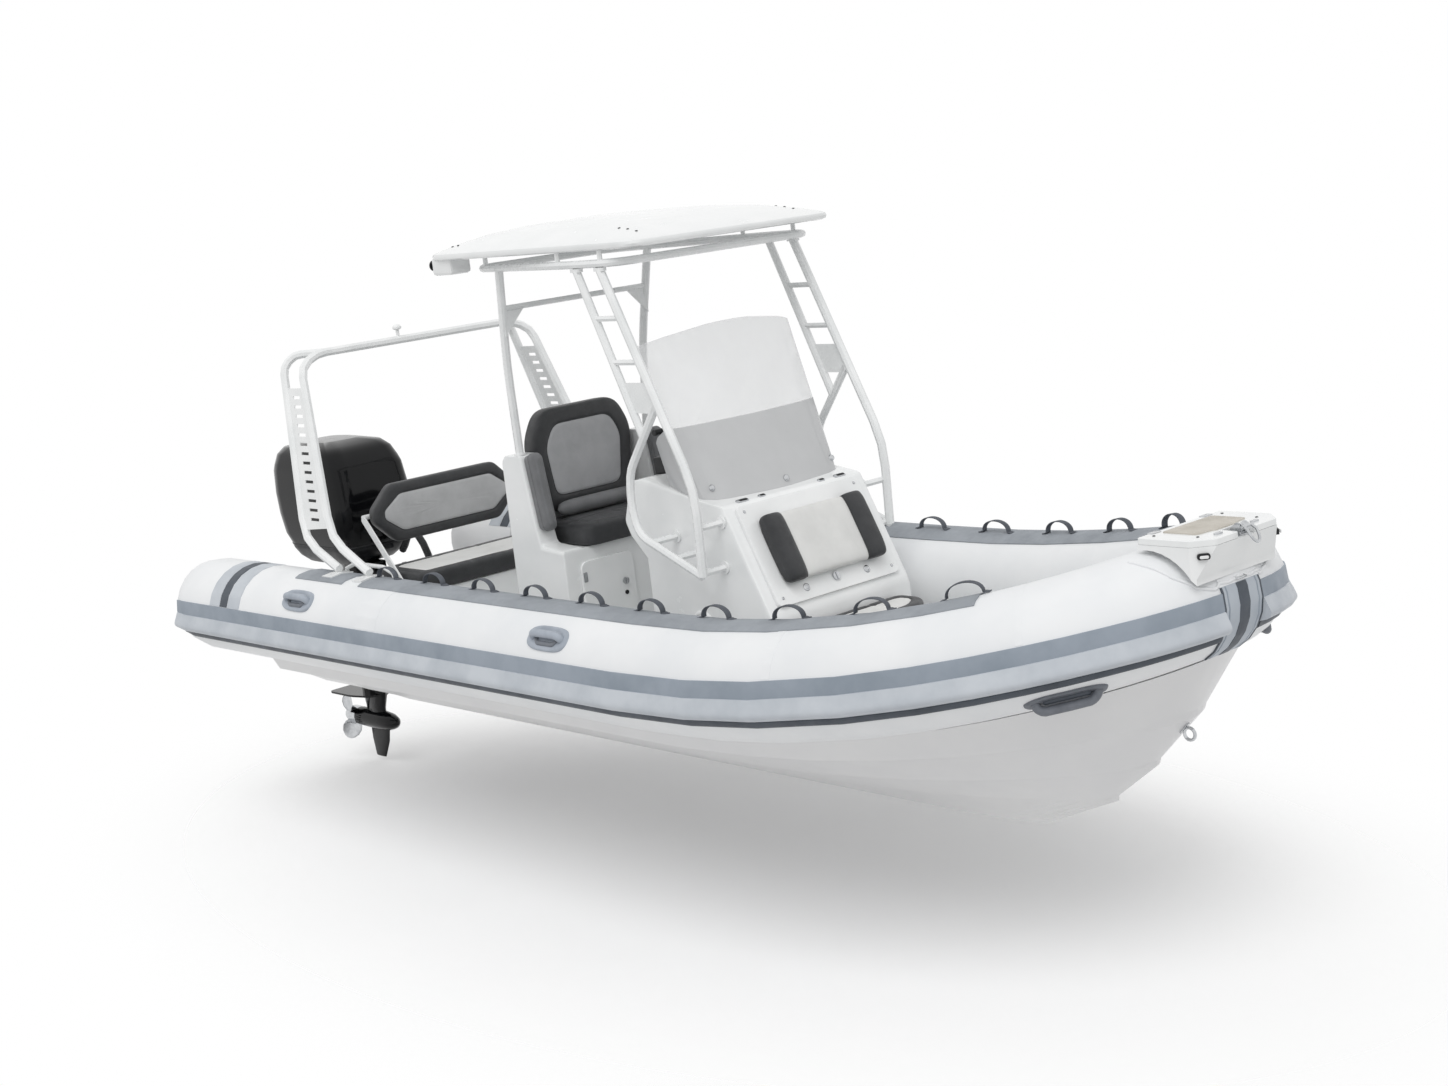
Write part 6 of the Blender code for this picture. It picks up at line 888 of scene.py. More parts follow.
@dataclass
class Collar(Assembly):
    """The buoyancy tube, and everything bonded to it."""

    nodes = ((TUBE_FABRIC, 40, "tube_starboard tube_port tube_bow"), (WRAP_RUBBER, 40, "bow_wrap"))
    # The tube's axis and girth, as the CAD's stations have them.
    half_breadth: float = 0.97
    tube_radius: float = 0.265
    bow_radius: float = 0.245
    axis_z: float = 0.79
    bow_rise: float = 0.30
    bow_start_x: float = 0.85
    bow_tip_x: float = 3.07
    stern_x: float = -3.28
    cap_length: float = 0.22
    cap_shares: tuple = ((0.0, 0.50), (0.12, 0.76), (0.42, 0.93), (1.0, 1.0))
    straight_x: tuple = (-2.75, -1.2, 0.85)
    turns: tuple = (9, 18, 30, 40, 48, 55, 61, 67, 72, 77, 81.5, 86, 90)
    fullness: float = 2.35
    sheer_power: float = 2.1
    facet: int = 15
    seat_gap: float = 0.0003
    # The strake's and the strip's sections: angle round the tube and height off it.
    band_section: ClassVar[Outline] = (
        (-30, 0.0), (-29.6, 0.005), (-24, 0.0055), (-8, 0.0055), (0, 0.0055), (14.6, 0.0055),
        (15, 0.0),
    )
    nose_section: ClassVar[Outline] = (
        (-24.5, 0.004), (-24, 0.0100), (-22.5, 0.0185), (-20.5, 0.0315), (-18.5, 0.0400),
        (-16.5, 0.0438), (-14.5, 0.0446), (-12.5, 0.0420), (-10, 0.0345), (-7, 0.0245),
        (-4, 0.0160), (-2, 0.0105), (-1.4, 0.004),
    )
    line_section: ClassVar[Outline] = (
        (-32.6, 0.0), (-32.3, 0.0062), (-31.5, 0.0076), (-30, 0.0086), (-26, 0.0092),
        (-25, 0.0082), (-24.8, 0.004),
    )
    step_section: ClassVar[Outline] = (
        (68, 0.0), (68.3, 0.0052), (75, 0.0058), (90, 0.0058), (105, 0.0058), (119.7, 0.0052),
        (120, 0.0),
    )
    strap_count: int = 10
    strap_pitch: float = 0.43
    strap_length: float = 0.16
    strap_height: float = 0.055
    strap_width: float = 0.030
    strap_half_thickness: float = 0.0024
    strap_start_x: float = -1.40
    # Corners of the webbing's section, in half widths and half thicknesses.
    strap_section: ClassVar[Outline] = (
        (-1, -0.6), (-0.9, -1), (0.9, -1), (1, -0.6), (1, 0.6), (0.9, 1), (-0.9, 1), (-1, 0.6),
    )
    # The handle pads' rings: size and height off the skin.
    pad_rings: ClassVar[Outline] = (
        (1.0, 0.0), (0.99, 0.005), (0.96, 0.0085), (0.88, 0.0105), (0.78, 0.0095),
        (0.70, 0.0065), (0.4, 0.0055),
    )
    slices: list[Slice] = field(default_factory=list)

    def __post_init__(self) -> None:
        """Lay out the slices from the stern to the stem."""
        rows = [
            (self.stern_x + self.cap_length * along, 1.0, self.axis_z, self.tube_radius * girth)
            for along, girth in self.cap_shares
        ]
        rows += [(x, 1.0, self.axis_z, self.tube_radius) for x in self.straight_x]
        for degrees in self.turns:
            turn = math.radians(degrees)
            power = 2 / self.fullness
            reach = math.sin(turn) ** power
            breadth = max(math.cos(turn), 0.0) ** power if degrees < 90 else 0.0
            rows.append((
                self.bow_start_x + (self.bow_tip_x - self.bow_start_x) * reach,
                breadth,
                self.axis_z + self.bow_rise * reach ** self.sheer_power,
                self.tube_radius + (self.bow_radius - self.tube_radius) * reach,
            ))
        places = [Vector((x, self.half_breadth * breadth, z)) for x, breadth, z, _ in rows]
        for index, place in enumerate(places):
            along = Vector((0.0, -1.0, 0.0))
            if index < len(places) - 1:
                along = places[index + 1] - places[max(index - 1, 0)]
            outward = Vector((-along.y, along.x, 0.0)).normalized()
            self.slices.append(Slice(place, outward, rows[index][3]))

    @property
    def last(self) -> int:
        """The number of the slice at the stem."""
        return len(self.slices) - 1

    def spot(self, position: float, degrees: float, offset: float, side: int) -> Vector:
        """Return a point on the faceted skin.

        Args:
            position: Slice number, with a fraction between slices.
            degrees: Angle from outward, up.
            offset: Distance off the skin.
            side: 1 to port, -1 to starboard.

        Returns:
            The point in the boat's frame.
        """
        low = min(int(position), self.last - 1)
        base = math.floor(degrees / self.facet) * self.facet
        share = (degrees - base) / self.facet
        ends = []
        for here in (self.slices[low], self.slices[low + 1]):
            first = here.point(base, offset, side)
            ends.append(first.lerp(here.point(base + self.facet, offset, side), share))
        return ends[0].lerp(ends[1], position - low)

    def at_x(self, x: float) -> float:
        """Return the position where the axis reaches x."""
        for index in range(self.last):
            here, there = self.slices[index].centre.x, self.slices[index + 1].centre.x
            if here <= x <= there:
                return index + (x - here) / (there - here)
        return float(self.last)

    def at_turn(self, degrees: float) -> float:
        """Return the position of a listed bow turn."""
        return float(len(self.cap_shares) + len(self.straight_x) + self.turns.index(degrees))

    def along(self, start_x: float, run: float) -> float:
        """Return the position a run along the axis from x."""
        place, left = self.at_x(start_x), run
        while left > 0 and place < self.last:
            low = int(place)
            span = (self.slices[low + 1].centre - self.slices[low].centre).length
            room = (low + 1 - place) * span
            if left <= room:
                return place + left / span
            left -= room
            place = float(low + 1)
        return min(place, float(self.last))

    def stops(self, start: float, end: float, parts: int = 1) -> list[float]:
        """Return the start, the slices between and the end, each span split."""
        whole = [start, *(float(i) for i in range(int(start) + 1, math.ceil(end))), end]
        result = []
        for low, high in zip(whole, whole[1:]):
            result += [low + (high - low) * part / parts for part in range(parts)]
        return result + [end]

    def section(
        self, place: float, side: int, outline: Outline, under: Sequence[float]
    ) -> list[Vector]:
        """Return a strip's section: its upper face, then its under face on the skin."""
        upper = [self.spot(place, angle, self.seat_gap + high, side) for angle, high in outline]
        return upper + [self.spot(place, angle, self.seat_gap / 2, side) for angle in under]

    def band(
        self, piece: Piece, start: float, end: float, outline: Outline, side: int
    ) -> bpy.types.Object:
        """Lay a strip along the tube.

        Args:
            piece: The strip's name and finish.
            start: Position of its aft end.
            end: Position of its forward end.
            outline: Angle and height pairs of its upper face.
            side: 1 to port, -1 to starboard.

        Returns:
            The strip.
        """
        first, last = outline[0][0], outline[-1][0]
        steps = max(3, int(abs(last - first) * 2 / self.facet))
        under = [last + (first - last) * index / steps for index in range(steps + 1)]
        places = self.stops(start, end)
        return piece.loft([self.section(place, side, outline, under) for place in places])

    def girth(
        self, piece: Piece, ends: Sequence[float], arc: Sequence[float], lift: float, side: int
    ) -> None:
        """Lay a thin wrap round the tube.

        Args:
            piece: The wrap's name and finish.
            ends: Positions of its aft and forward ends.
            arc: Its lowest and highest angles.
            lift: Its thickness.
            side: 1 to port, -1 to starboard.
        """
        self.band(piece, *ends, self.arc_section(*arc, lift, 48), side)

    @staticmethod
    def arc_section(low: float, high: float, lift: float, steps: int) -> Outline:
        """Return the section of a wrap of one thickness between two angles."""
        flat = [(low + (high - low) * i / steps, lift) for i in range(steps + 1)]
        return [(low, 0.0), *flat, (high, 0.0)]

    def over_bow(self, piece: Piece, start: float, outline: Outline) -> None:
        """Lay a strip round the stem from starboard to port."""
        half = self.stops(start, float(self.last), 2)
        under = [angle for angle, _ in reversed(outline)]
        rings = []
        for side, places in ((-1, half), (1, list(reversed(half[:-1])))):
            rings += [self.section(place, side, outline, under) for place in places]
        piece.loft(rings)

    def build_strakes(self) -> None:
        """Lay the flat band, the nose and the slate line on both sides."""
        start, end = 2.0, self.at_turn(86)
        for side, word in SIDES:
            band = Piece(f"strake_band_{word}", STRAKE_BAND)
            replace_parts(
                self.band(band, start, end, self.band_section, side), f"rub_strake_{word}"
            )
            nose = Piece(f"strake_nose_{word}", STRAKE_NOSE)
            self.band(nose, start, end, self.nose_section, side)
            line = Piece(f"strake_line_{word}", SLATE_RUBBER)
            self.band(line, start + 0.02, end - 0.02, self.line_section, side)

    def build_grip_strips(self) -> None:
        """Lay the non-slip strips and stand the webbing straps on them."""
        start, end = self.at_x(-1.41), self.at_turn(48)
        for side, word in SIDES:
            strip = Piece(f"step_strip_{word}", STEP_RUBBER)
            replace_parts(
                self.band(strip, start, end, self.step_section, side), f"grip_strip_{word}"
            )
            patch = Piece(f"step_patch_{word}", STEP_RUBBER)
            self.band(patch, self.at_x(-2.04), self.at_x(-1.57), self.step_section, side)
            for number in range(self.strap_count):
                self.build_strap(f"strap_{word}_{number}", self.strap_pitch * number, side)

    def build_strap(self, name: str, run: float, side: int) -> None:
        """Arch one webbing strap over the strip, with its sewn ends flat on it.

        Args:
            name: The strap's name.
            run: Distance from the first strap along the tube.
            side: 1 to port, -1 to starboard.
        """
        ends = [self.along(self.strap_start_x, run + extra) for extra in (0.0, self.strap_length)]
        first, last = (self.spot(place, 97.5, 0.0075, side) for place in ends)
        along = (last - first).normalized()
        across = along.cross(Vector(UP)).normalized()
        up = across.cross(along)
        path = [(-0.16, 0.0), (-0.10, 0.0), (-0.03, 0.004)]
        for step in range(17):
            turn = math.pi * step / 16
            rise = math.sin(turn) ** 0.85 * self.strap_height * 0.97
            path.append(((1 - math.cos(turn)) / 2, rise + 0.004))
        path += [(1.03, 0.004), (1.10, 0.0), (1.16, 0.0)]
        rings = []
        for index, (share, rise) in enumerate(path):
            before, after = path[max(index - 1, 0)], path[min(index + 1, len(path) - 1)]
            way = along * (after[0] - before[0]) * self.strap_length + up * (after[1] - before[1])
            normal = across.cross(way).normalized() * self.strap_half_thickness
            centre = first + along * self.strap_length * share + up * rise
            sewn = 1.25 if share < -0.02 or share > 1.02 else 1.0
            wide = across * self.strap_width / 2 * sewn
            rings.append([centre + wide * x + normal * y for x, y in self.strap_section])
        Piece(name, WEBBING, smooth=50).loft(rings)

    def build_wraps(self) -> None:
        """Lay the stem wrap's stripes, the stern wraps and the seam tapes."""
        stem = self.at_turn(86)
        for piece, start, low, high, lift in (
            (Piece("stem_stripe", SLATE_RUBBER), stem + 0.74, -59, 20, 0.0066),
            (Piece("stem_cover", TUBE_FABRIC), stem - 0.02, 20.5, 105.5, 0.0062),
        ):
            self.over_bow(piece, start, self.arc_section(low, high, lift, 16))
        edges = ((0.0, 0.07, SLATE_RUBBER), (0.20, 0.25, STRAKE_BAND))
        wraps = (
            (-2.77, -2.66, STRAKE_NOSE), (-2.655, -2.575, SLATE_RUBBER),
            (-2.57, -2.44, STRAKE_NOSE),
        )
        # The chambers' seams: position, half width and highest angle.
        seams = (
            (self.at_turn(55), 0.08, 205), (self.at_turn(18) + 0.2, 0.05, 74),
            (self.at_x(-1.2) + 0.02, 0.05, 74),
        )
        for side, word in SIDES:
            for number, (start, end, look) in enumerate(edges):
                piece = Piece(f"stem_edge_{word}_{number}", look)
                self.girth(piece, (stem + start, stem + end), (-59, 20), 0.0062, side)
        for side, word in SIDES:
            for number, (aft, fore, look) in enumerate(wraps):
                piece = Piece(f"stern_wrap_{word}_{number}", look)
                self.girth(piece, (self.at_x(aft), self.at_x(fore)), (15.5, 150), 0.0016, side)
            for number, (place, half, top) in enumerate(seams):
                piece = Piece(f"seam_tape_{word}_{number}", TUBE_FABRIC)
                self.girth(piece, (place - half, place + half + 0.001), (16, top), 0.0011, side)

    def build_handle(
        self,
        pad: Piece,
        node: str,
        ends: Sequence[float],
        arc: Sequence[float],
        side: int,
        parts: Sequence[tuple],
    ) -> None:
        """Make an oval pad on the tube with its bar, and under the bar a dark strip of painted
        shade for the hand hole.

        Args:
            pad: The pad's name and finish.
            node: The CAD node that it replaces.
            ends: Positions of its aft and forward ends.
            arc: Its middle angle and half its spread.
            side: 1 to port, -1 to starboard.
            parts: Length share, radius, rise, drop share and finish of the bar and of the dark
                strip that paints the hand hole's shade.
        """
        centre, spread = arc
        middle, half = (ends[0] + ends[1]) / 2, (ends[1] - ends[0]) / 2
        oval = []
        for step in range(72):
            cosine, sine = math.cos(math.tau * step / 72), math.sin(math.tau * step / 72)
            x = math.copysign(abs(cosine) ** 0.62, cosine)
            oval.append((half * 0.97 * x, spread * math.copysign(abs(sine) ** 0.72, sine)))
        rings = [
            [self.spot(middle + size * x, centre + size * y, lift, side) for x, y in oval]
            for size, lift in self.pad_rings
        ]
        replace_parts(pad.loft(rings), node)
        # The second rod lies flat on the skin: a dark strip of painted shade where the hand hole
        # is.
        for label, (share, radius, most, drop, look) in zip(("_bar", "_slot"), parts):
            path = []
            for step in range(25):
                turn = math.pi * step / 24
                bend = min(1.0, 1.5 * math.sin(turn))
                place = middle - half * share * math.cos(turn)
                angle = centre - spread * drop * bend
                path.append(self.spot(place, angle, 0.003 + most * bend, side))
            Piece(pad.name + label, look).rod(path, radius)

    def build_handles(self) -> None:
        """Make the carry handles and the oval handles under the bow's band."""
        carry = (
            (0.70, 0.019, 0.028, -0.14, HANDLE_RUBBER),
            # The hand hole: a dark strip of painted shade under the bar.
            (0.50, 0.012, 0.001, 0.44, DARK_HANDLE_RUBBER),
        )
        stem = (
            (0.72, 0.019, 0.034, 0.25, DARK_HANDLE_RUBBER),
            # The hand hole: a slate strip of painted shade under the bar.
            (0.50, 0.013, 0.001, -0.16, SLATE_RUBBER),
        )
        for side, word in SIDES:
            for x, end in ((-1.85, "aft"), (0.36, "fore")):
                pad = Piece(f"side_handle_{end}_{word}", HANDLE_RUBBER, smooth=60)
                ends = (self.at_x(x - 0.15), self.at_x(x + 0.15))
                node = f"carry_handle_{end}_{word}"
                self.build_handle(pad, node, ends, (37.5, 13.5), side, carry)
            pad = Piece(f"stem_handle_{word}", DARK_HANDLE_RUBBER, smooth=60)
            ends = (self.at_turn(55) - 0.12, self.at_turn(67) + 0.12)
            self.build_handle(pad, f"bow_handle_{word}", ends, (-51.0, 10.5), side, stem)

    def build(self) -> None:
        """Make the pieces that lie on the tube."""
        self.build_strakes()
        self.build_grip_strips()
        self.build_wraps()
        self.build_handles()


def forward_frame(x: float, y: float, z: float) -> Matrix:
    """Return a frame whose X is up, whose Y is starboard and whose Z is ahead."""
    return axes_frame((x, y, z), UP, AHEAD)


class HullAndDeck(Assembly):
    """The hull moulding and the deck liner."""

    nodes = ((HULL_GELCOAT, 24, "hull"), (NON_SLIP_GELCOAT, 24, "deck"))
    plate_profile = (
        (0.105, 0.0), (0.105, 0.003), (0.099, 0.006), (0.088, 0.006), (0.086, 0.0035),
        (0.0835, 0.0035), (0.082, 0.0055), (0.03, 0.0065), (0.005, 0.0065),
    )
    drain_profile = (
        (0.034, 0.0), (0.034, 0.002), (0.030, 0.0036), (0.020, 0.0036), (0.018, 0.0016),
        (0.004, 0.0016),
    )

    def build(self) -> None:
        """Make the inspection plate and drains in the deck."""
        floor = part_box("deck")[0].z + 0.0256
        place = Matrix.Translation((-1.30, 0.0, floor))
        Piece("inspection_plate", GELCOAT).lathe(self.plate_profile, place, 64)
        for side, word in SIDES:
            place = Matrix.Translation((-2.15, side * 0.42, floor))
            Piece(f"deck_drain_{word}", STAINLESS).lathe(self.drain_profile, place, 40)


class BowGear(Assembly):
    """The bow locker with its lid, roller, lights and towing eye."""

    nodes = (
        (GELCOAT, 32, "anchor_locker anchor_locker_lid"),
        (STAINLESS, 32, "bow_roller_bracket bow_roller bow_eye"),
        (BLACK_ABS, 32, "nav_light_starboard nav_light_port"),
    )
    lid_top = 1.3863
    axis_z = 1.09
    aft_x = 3.035
    pad_outline = (
        (3.072, -0.165), (3.235, -0.165), (3.245, -0.075), (3.255, -0.07), (3.255, 0.07),
        (3.245, 0.075), (3.235, 0.165), (3.072, 0.165),
    )
    lip_plan = (
        (3.03, 0.355), (3.12, 0.335), (3.20, 0.300), (3.262, 0.235), (3.288, 0.150), (3.296, 0.070),
    )
    bolt_path = (
        (3.28, -0.03, 1.196), (3.312, -0.026, 1.192), (3.312, 0.026, 1.192), (3.28, 0.03, 1.196),
    )

    def skin_z(self, x: float, y: float) -> float:
        """Return the height of the collar's skin above a point."""
        start, down = Vector((x, y, 2.0)), Vector((0, 0, -1))
        hits = [skin_hit(name, start, down) for name in ("tube_bow", "bow_wrap")]
        return max([self.axis_z, *(hit.z for hit in hits if hit)])

    def build_locker_trim(self) -> None:
        """Make the lid's pad, the shackle with its pin, the welt and the bolt."""
        top = Matrix.Translation((0, 0, self.lid_top))
        outline = rounded_corners(self.pad_outline, 0.016, 4)
        Piece("lid_pad", DECK_FOAM, "locker_lid").plate(outline, 0.004, 0.0015, top)
        bow = [(3.352, 0.024, 1.398)]
        for step in range(19):
            sine, cosine = math.sin(math.pi * step / 18), math.cos(math.pi * step / 18)
            bow.append((3.372 + 0.026 * sine, 0.028 * cosine, 1.384 - 0.046 * sine))
        bow.append((3.352, -0.024, 1.398))
        Piece("anchor_shackle", STAINLESS).rod(bow, 0.0060)
        Piece("shackle_pin", STAINLESS).rod([(3.352, -0.036, 1.398), (3.352, 0.036, 1.398)], 0.0060)
        plan = [*self.lip_plan, *((x, -y) for x, y in reversed(self.lip_plan))]
        path = []
        for first, last in zip(plan, plan[1:]):
            for step in range(6):
                x, y = (low + (high - low) * step / 6 for low, high in zip(first, last))
                path.append((x, y, self.skin_z(x, y) + 0.002))
        Piece("locker_lip", TUBE_FABRIC).rod(path, 0.007)
        Piece("locker_bolt", STAINLESS).rod(self.bolt_path, 0.0045)

    def build(self) -> None:
        """Make the locker's trim, and the lid's hinges, screws, catches and lenses."""
        self.build_locker_trim()
        for side, word in SIDES:
            hinge = axes_frame((self.aft_x + 0.006, side * 0.17, self.lid_top - 0.006), PORT, UP)
            shape = rounded_rectangle(0.06, 0.030, 0.006)
            Piece(f"lid_hinge_{word}", STAINLESS, "locker_lid").plate(shape, 0.0085, 0.002, hinge)
            spots = ((self.aft_x + 0.045, 0.225), (3.262, 0.195))
            places = [(x, side * y, self.lid_top) for x, y in spots]
            Piece(f"lid_screw_{word}", BLACK_ABS, "locker_lid").screws(0.0065, UP, places)
            latch = axes_frame((3.302, side * 0.12, self.lid_top), PORT, UP)
            shape = rounded_rectangle(0.045, 0.020, 0.009)
            Piece(f"lid_catch_{word}", STAINLESS, "locker_lid").plate(shape, 0.006, 0.002, latch)
            lens = axes_frame((3.3262, side * 0.2512, 1.324), (-side, 1, 0), (1, side, 0))
            shape = rounded_rectangle(0.034, 0.012, 0.005)
            Piece(f"nav_lens_{word}", OPAL).plate(shape, 0.0035, 0.0015, lens)


@dataclass
class ConsoleUnit(Assembly):
    """The console with its door, seat, screens, wheel and throttle."""

    nodes = (
        (GELCOAT, 30, "console console_door"), (STAINLESS, 35, "door_latch"),
        (GREY_ACRYLIC, 30, "windscreen_lower"), (CLEAR_ACRYLIC, 30, "windscreen_upper"),
        (BLACK_ABS, 45, "steering_wheel throttle_lever"), (BLACK_ABS, 35, "throttle_box"),
    )
    half_width: float = 0.46
    door_frame: Matrix = field(
        default_factory=lambda: Matrix(
            ((0.4492, 0, 0.8934, 0.8498), (0, 1, 0, 0), (-0.8934, 0, 0.4492, 1.4213), (0, 0, 0, 1))
        )
    )
    # Half of the door's backrest: place across, depth and height, as shares.
    rest_shares: ClassVar[tuple] = (
        (-1.0, 0.55, 0.88), (-0.992, 0.72, 0.93), (-0.97, 0.90, 0.98), (-0.93, 0.99, 1.0),
        (-0.84, 1.0, 1.0), (-0.74, 0.985, 1.0), (-0.68, 0.90, 0.99), (-0.65, 0.76, 0.975),
        (-0.635, 0.66, 0.97), (-0.62, 0.70, 0.97), (-0.58, 0.745, 0.97), (-0.45, 0.775, 0.97),
        (-0.25, 0.79, 0.97), (0.0, 0.80, 0.97),
    )
    seam_row: ClassVar[int] = 8
    seat_outline: ClassVar[Outline] = (
        (1.1035, -0.36), (1.262, -0.36), (1.373, -0.25), (1.373, 0.25), (1.262, 0.36),
        (1.1035, 0.36),
    )
    button_profile: ClassVar[Outline] = (
        (0.019, 0.0), (0.019, 0.002), (0.015, 0.0045), (0.010, 0.0045), (0.008, 0.003),
        (0.002, 0.003),
    )
    lamp_profile: ClassVar[Outline] = ((0.022, 0), (0.022, 0.002), (0.018, 0.004), (0.004, 0.0045))
    speaker_profile: ClassVar[Outline] = (
        (0.078, 0.0), (0.078, 0.005), (0.072, 0.010), (0.064, 0.0105), (0.058, 0.006),
        (0.030, 0.004), (0.022, 0.0085), (0.004, 0.0095),
    )
    stud_profile: ClassVar[Outline] = (
        (0.017, 0.0), (0.017, 0.003), (0.0135, 0.0085), (0.008, 0.0115), (0.002, 0.0125),
    )
    gauge_profile: ClassVar[Outline] = (
        (0.030, 0.0), (0.030, 0.005), (0.027, 0.008), (0.0245, 0.008), (0.0235, 0.004),
        (0.004, 0.004),
    )
    # The screen's studs: their places and the ways that they face.
    studs: ClassVar[tuple] = (
        ((0.7098, -0.3916, 1.5138), (0.889, -0.236, 0.392)),
        ((0.7098, 0.3916, 1.5138), (0.889, 0.236, 0.392)),
        ((0.7684, 0.0256, 1.4847), (0.907, 0, 0.421)),
    )
    # The catches on the ledge above the door: place across, length and width.
    catches: ClassVar[tuple] = (
        (-0.315, 0.078, 0.024), (0.325, 0.078, 0.024), (-0.19, 0.046, 0.020), (0.20, 0.046, 0.020),
    )

    def build_door_rest(self) -> None:
        """Make the backrest on the door, with its side rolls."""
        place = self.door_frame @ Matrix.Translation((0.2495, 0, 0.0184))
        half = self.rest_shares
        rows = [*half, *((-across, deep, tall) for across, deep, tall in reversed(half[:-1]))]
        section = []
        for step in range(41):
            cosine, sine = math.cos(math.pi * step / 40), math.sin(math.pi * step / 40)
            up = -math.copysign(abs(cosine) ** 0.42, cosine) * 0.5
            section.append((up, max(0.0, sine) ** 0.30))
        rings = []
        for across, deep, tall in rows:
            ring = []
            for up, out in section:
                slack = 0.0012 * noise.noise(Vector((up * 6, across * 5, 1.0)))
                height = max(0.0, (0.084 * deep + slack) * out)
                ring.append(place @ Vector((0.34 * tall * up, 0.32 * across, height)))
            rings.append(ring)
        ends = (self.seam_row, len(rows) - 1 - self.seam_row)
        cover = Piece("door_backrest", DARK_VINYL, "front_door", 180, PALE_VINYL)
        rest = cover.loft(rings, range(*ends))
        soften(rest)
        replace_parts(rest, "console_door_cushion")
        lift = self.door_frame.col[2].to_3d() * 0.001
        for (_, word), row in zip(SIDES, ends):
            bead = [point + lift for point in rings[row][3:38]]
            Piece(f"door_rest_seam_{word}", DARK_VINYL, "front_door").rod(bead, 0.0026)

    def build_front_seat(self) -> None:
        """Make the forward seat's cushion."""
        Pad(
            Piece("front_seat_pad", DARK_VINYL, smooth=180, panel=PALE_VINYL),
            "front_seat_cushion", rounded_corners(self.seat_outline, 0.045, 6), 0.085,
            Matrix.Translation((0, 0, 0.7953)), 0.062, (Channel(1, -0.12), Channel(1, 0.12)),
        ).build()

    def build_fittings(self) -> None:
        """Make the catches, screws, buttons, lamps, speakers and screen studs."""
        slope = (0.412, 0, 0.911)
        for number, (y, wide, deep) in enumerate(self.catches):
            rim = axes_frame((0.822, y, 1.4431), PORT, slope)
            shape = rounded_rectangle(wide, deep, deep * 0.48)
            Piece(f"catch_rim_{number}", STAINLESS).plate(shape, 0.005, 0.002, rim)
            recess = rim @ Matrix.Translation((wide * 0.08, 0, 0.0045))
            shape = rounded_rectangle(wide * 0.66, deep * 0.62, deep * 0.28)
            Piece(f"catch_recess_{number}", BLACK_ABS).plate(shape, 0.002, 0.0008, recess)
        down, normal = (self.door_frame.col[axis].to_3d() for axis in (0, 2))
        corners = [(x, y, 0.0182) for x in (0.47, 0.03) for y in (-0.36, 0.36)]
        places = [self.door_frame @ Vector(corner) for corner in corners]
        Piece("door_screw", STAINLESS, "front_door").screws(0.008, normal, places)
        for side, word in SIDES:
            rim = axes_frame(self.door_frame @ Vector((0.452, side * 0.20, 0.0182)), down, normal)
            button = Piece(f"door_button_{word}", STAINLESS, "front_door")
            button.lathe(self.button_profile, rim, 36)
            lamp = axes_frame((1.3702, side * 0.16, 0.66), PORT, AHEAD)
            Piece(f"step_lamp_{word}", OPAL).lathe(self.lamp_profile, lamp)
            place = (0.62, side * (self.half_width + 0.0002), 0.86)
            speaker = axes_frame(place, AHEAD, (0, side, 0))
            Piece(f"side_speaker_{word}", GELCOAT).lathe(self.speaker_profile, speaker, 56)
        for number, (base, out) in enumerate(self.studs):
            stud = Piece(f"screen_stud_{number}", STAINLESS)
            stud.lathe(self.stud_profile, axes_frame(base, PORT, out), 36)

    def build_dash(self) -> None:
        """Make the instrument glass, the gauges and the switch row on the dash."""
        low, high = Vector((0.11, 0.0, 1.3393)), Vector((0.1833, 0.0, 1.5391))
        normal = Vector((-0.93888, 0, 0.34425))

        def dash_point(share: float, y: float) -> Vector:
            return low.lerp(high, share) + Vector((0, y, 0)) + normal * 0.0005

        screen = axes_frame(dash_point(0.56, -0.10), (0, -1, 0), normal)
        shape = rounded_rectangle(0.20, 0.135, 0.014)
        Piece("chart_screen_bezel", BLACK_ABS).plate(shape, 0.012, 0.004, screen)
        glass = screen @ Matrix.Translation((0, 0, 0.0118))
        shape = rounded_rectangle(0.178, 0.112, 0.008)
        Piece("chart_screen_glass", MOTOR_LACQUER).plate(shape, 0.0015, 0.0006, glass)
        for number, y in enumerate((0.29, 0.36)):
            place = axes_frame(dash_point(0.66, y), high - low, normal)
            Piece(f"gauge_{number}", BLACK_ABS).lathe(self.gauge_profile, place, 40)
        for number in range(6):
            place = axes_frame(dash_point(0.22, -0.36 + 0.032 * number), high - low, normal)
            shape = rounded_rectangle(0.030, 0.016, 0.004)
            Piece(f"switch_{number}", BLACK_ABS).plate(shape, 0.009, 0.003, place)

    def build(self) -> None:
        """Make the pieces of the console."""
        self.build_door_rest()
        self.build_front_seat()
        self.build_fittings()
        self.build_dash()


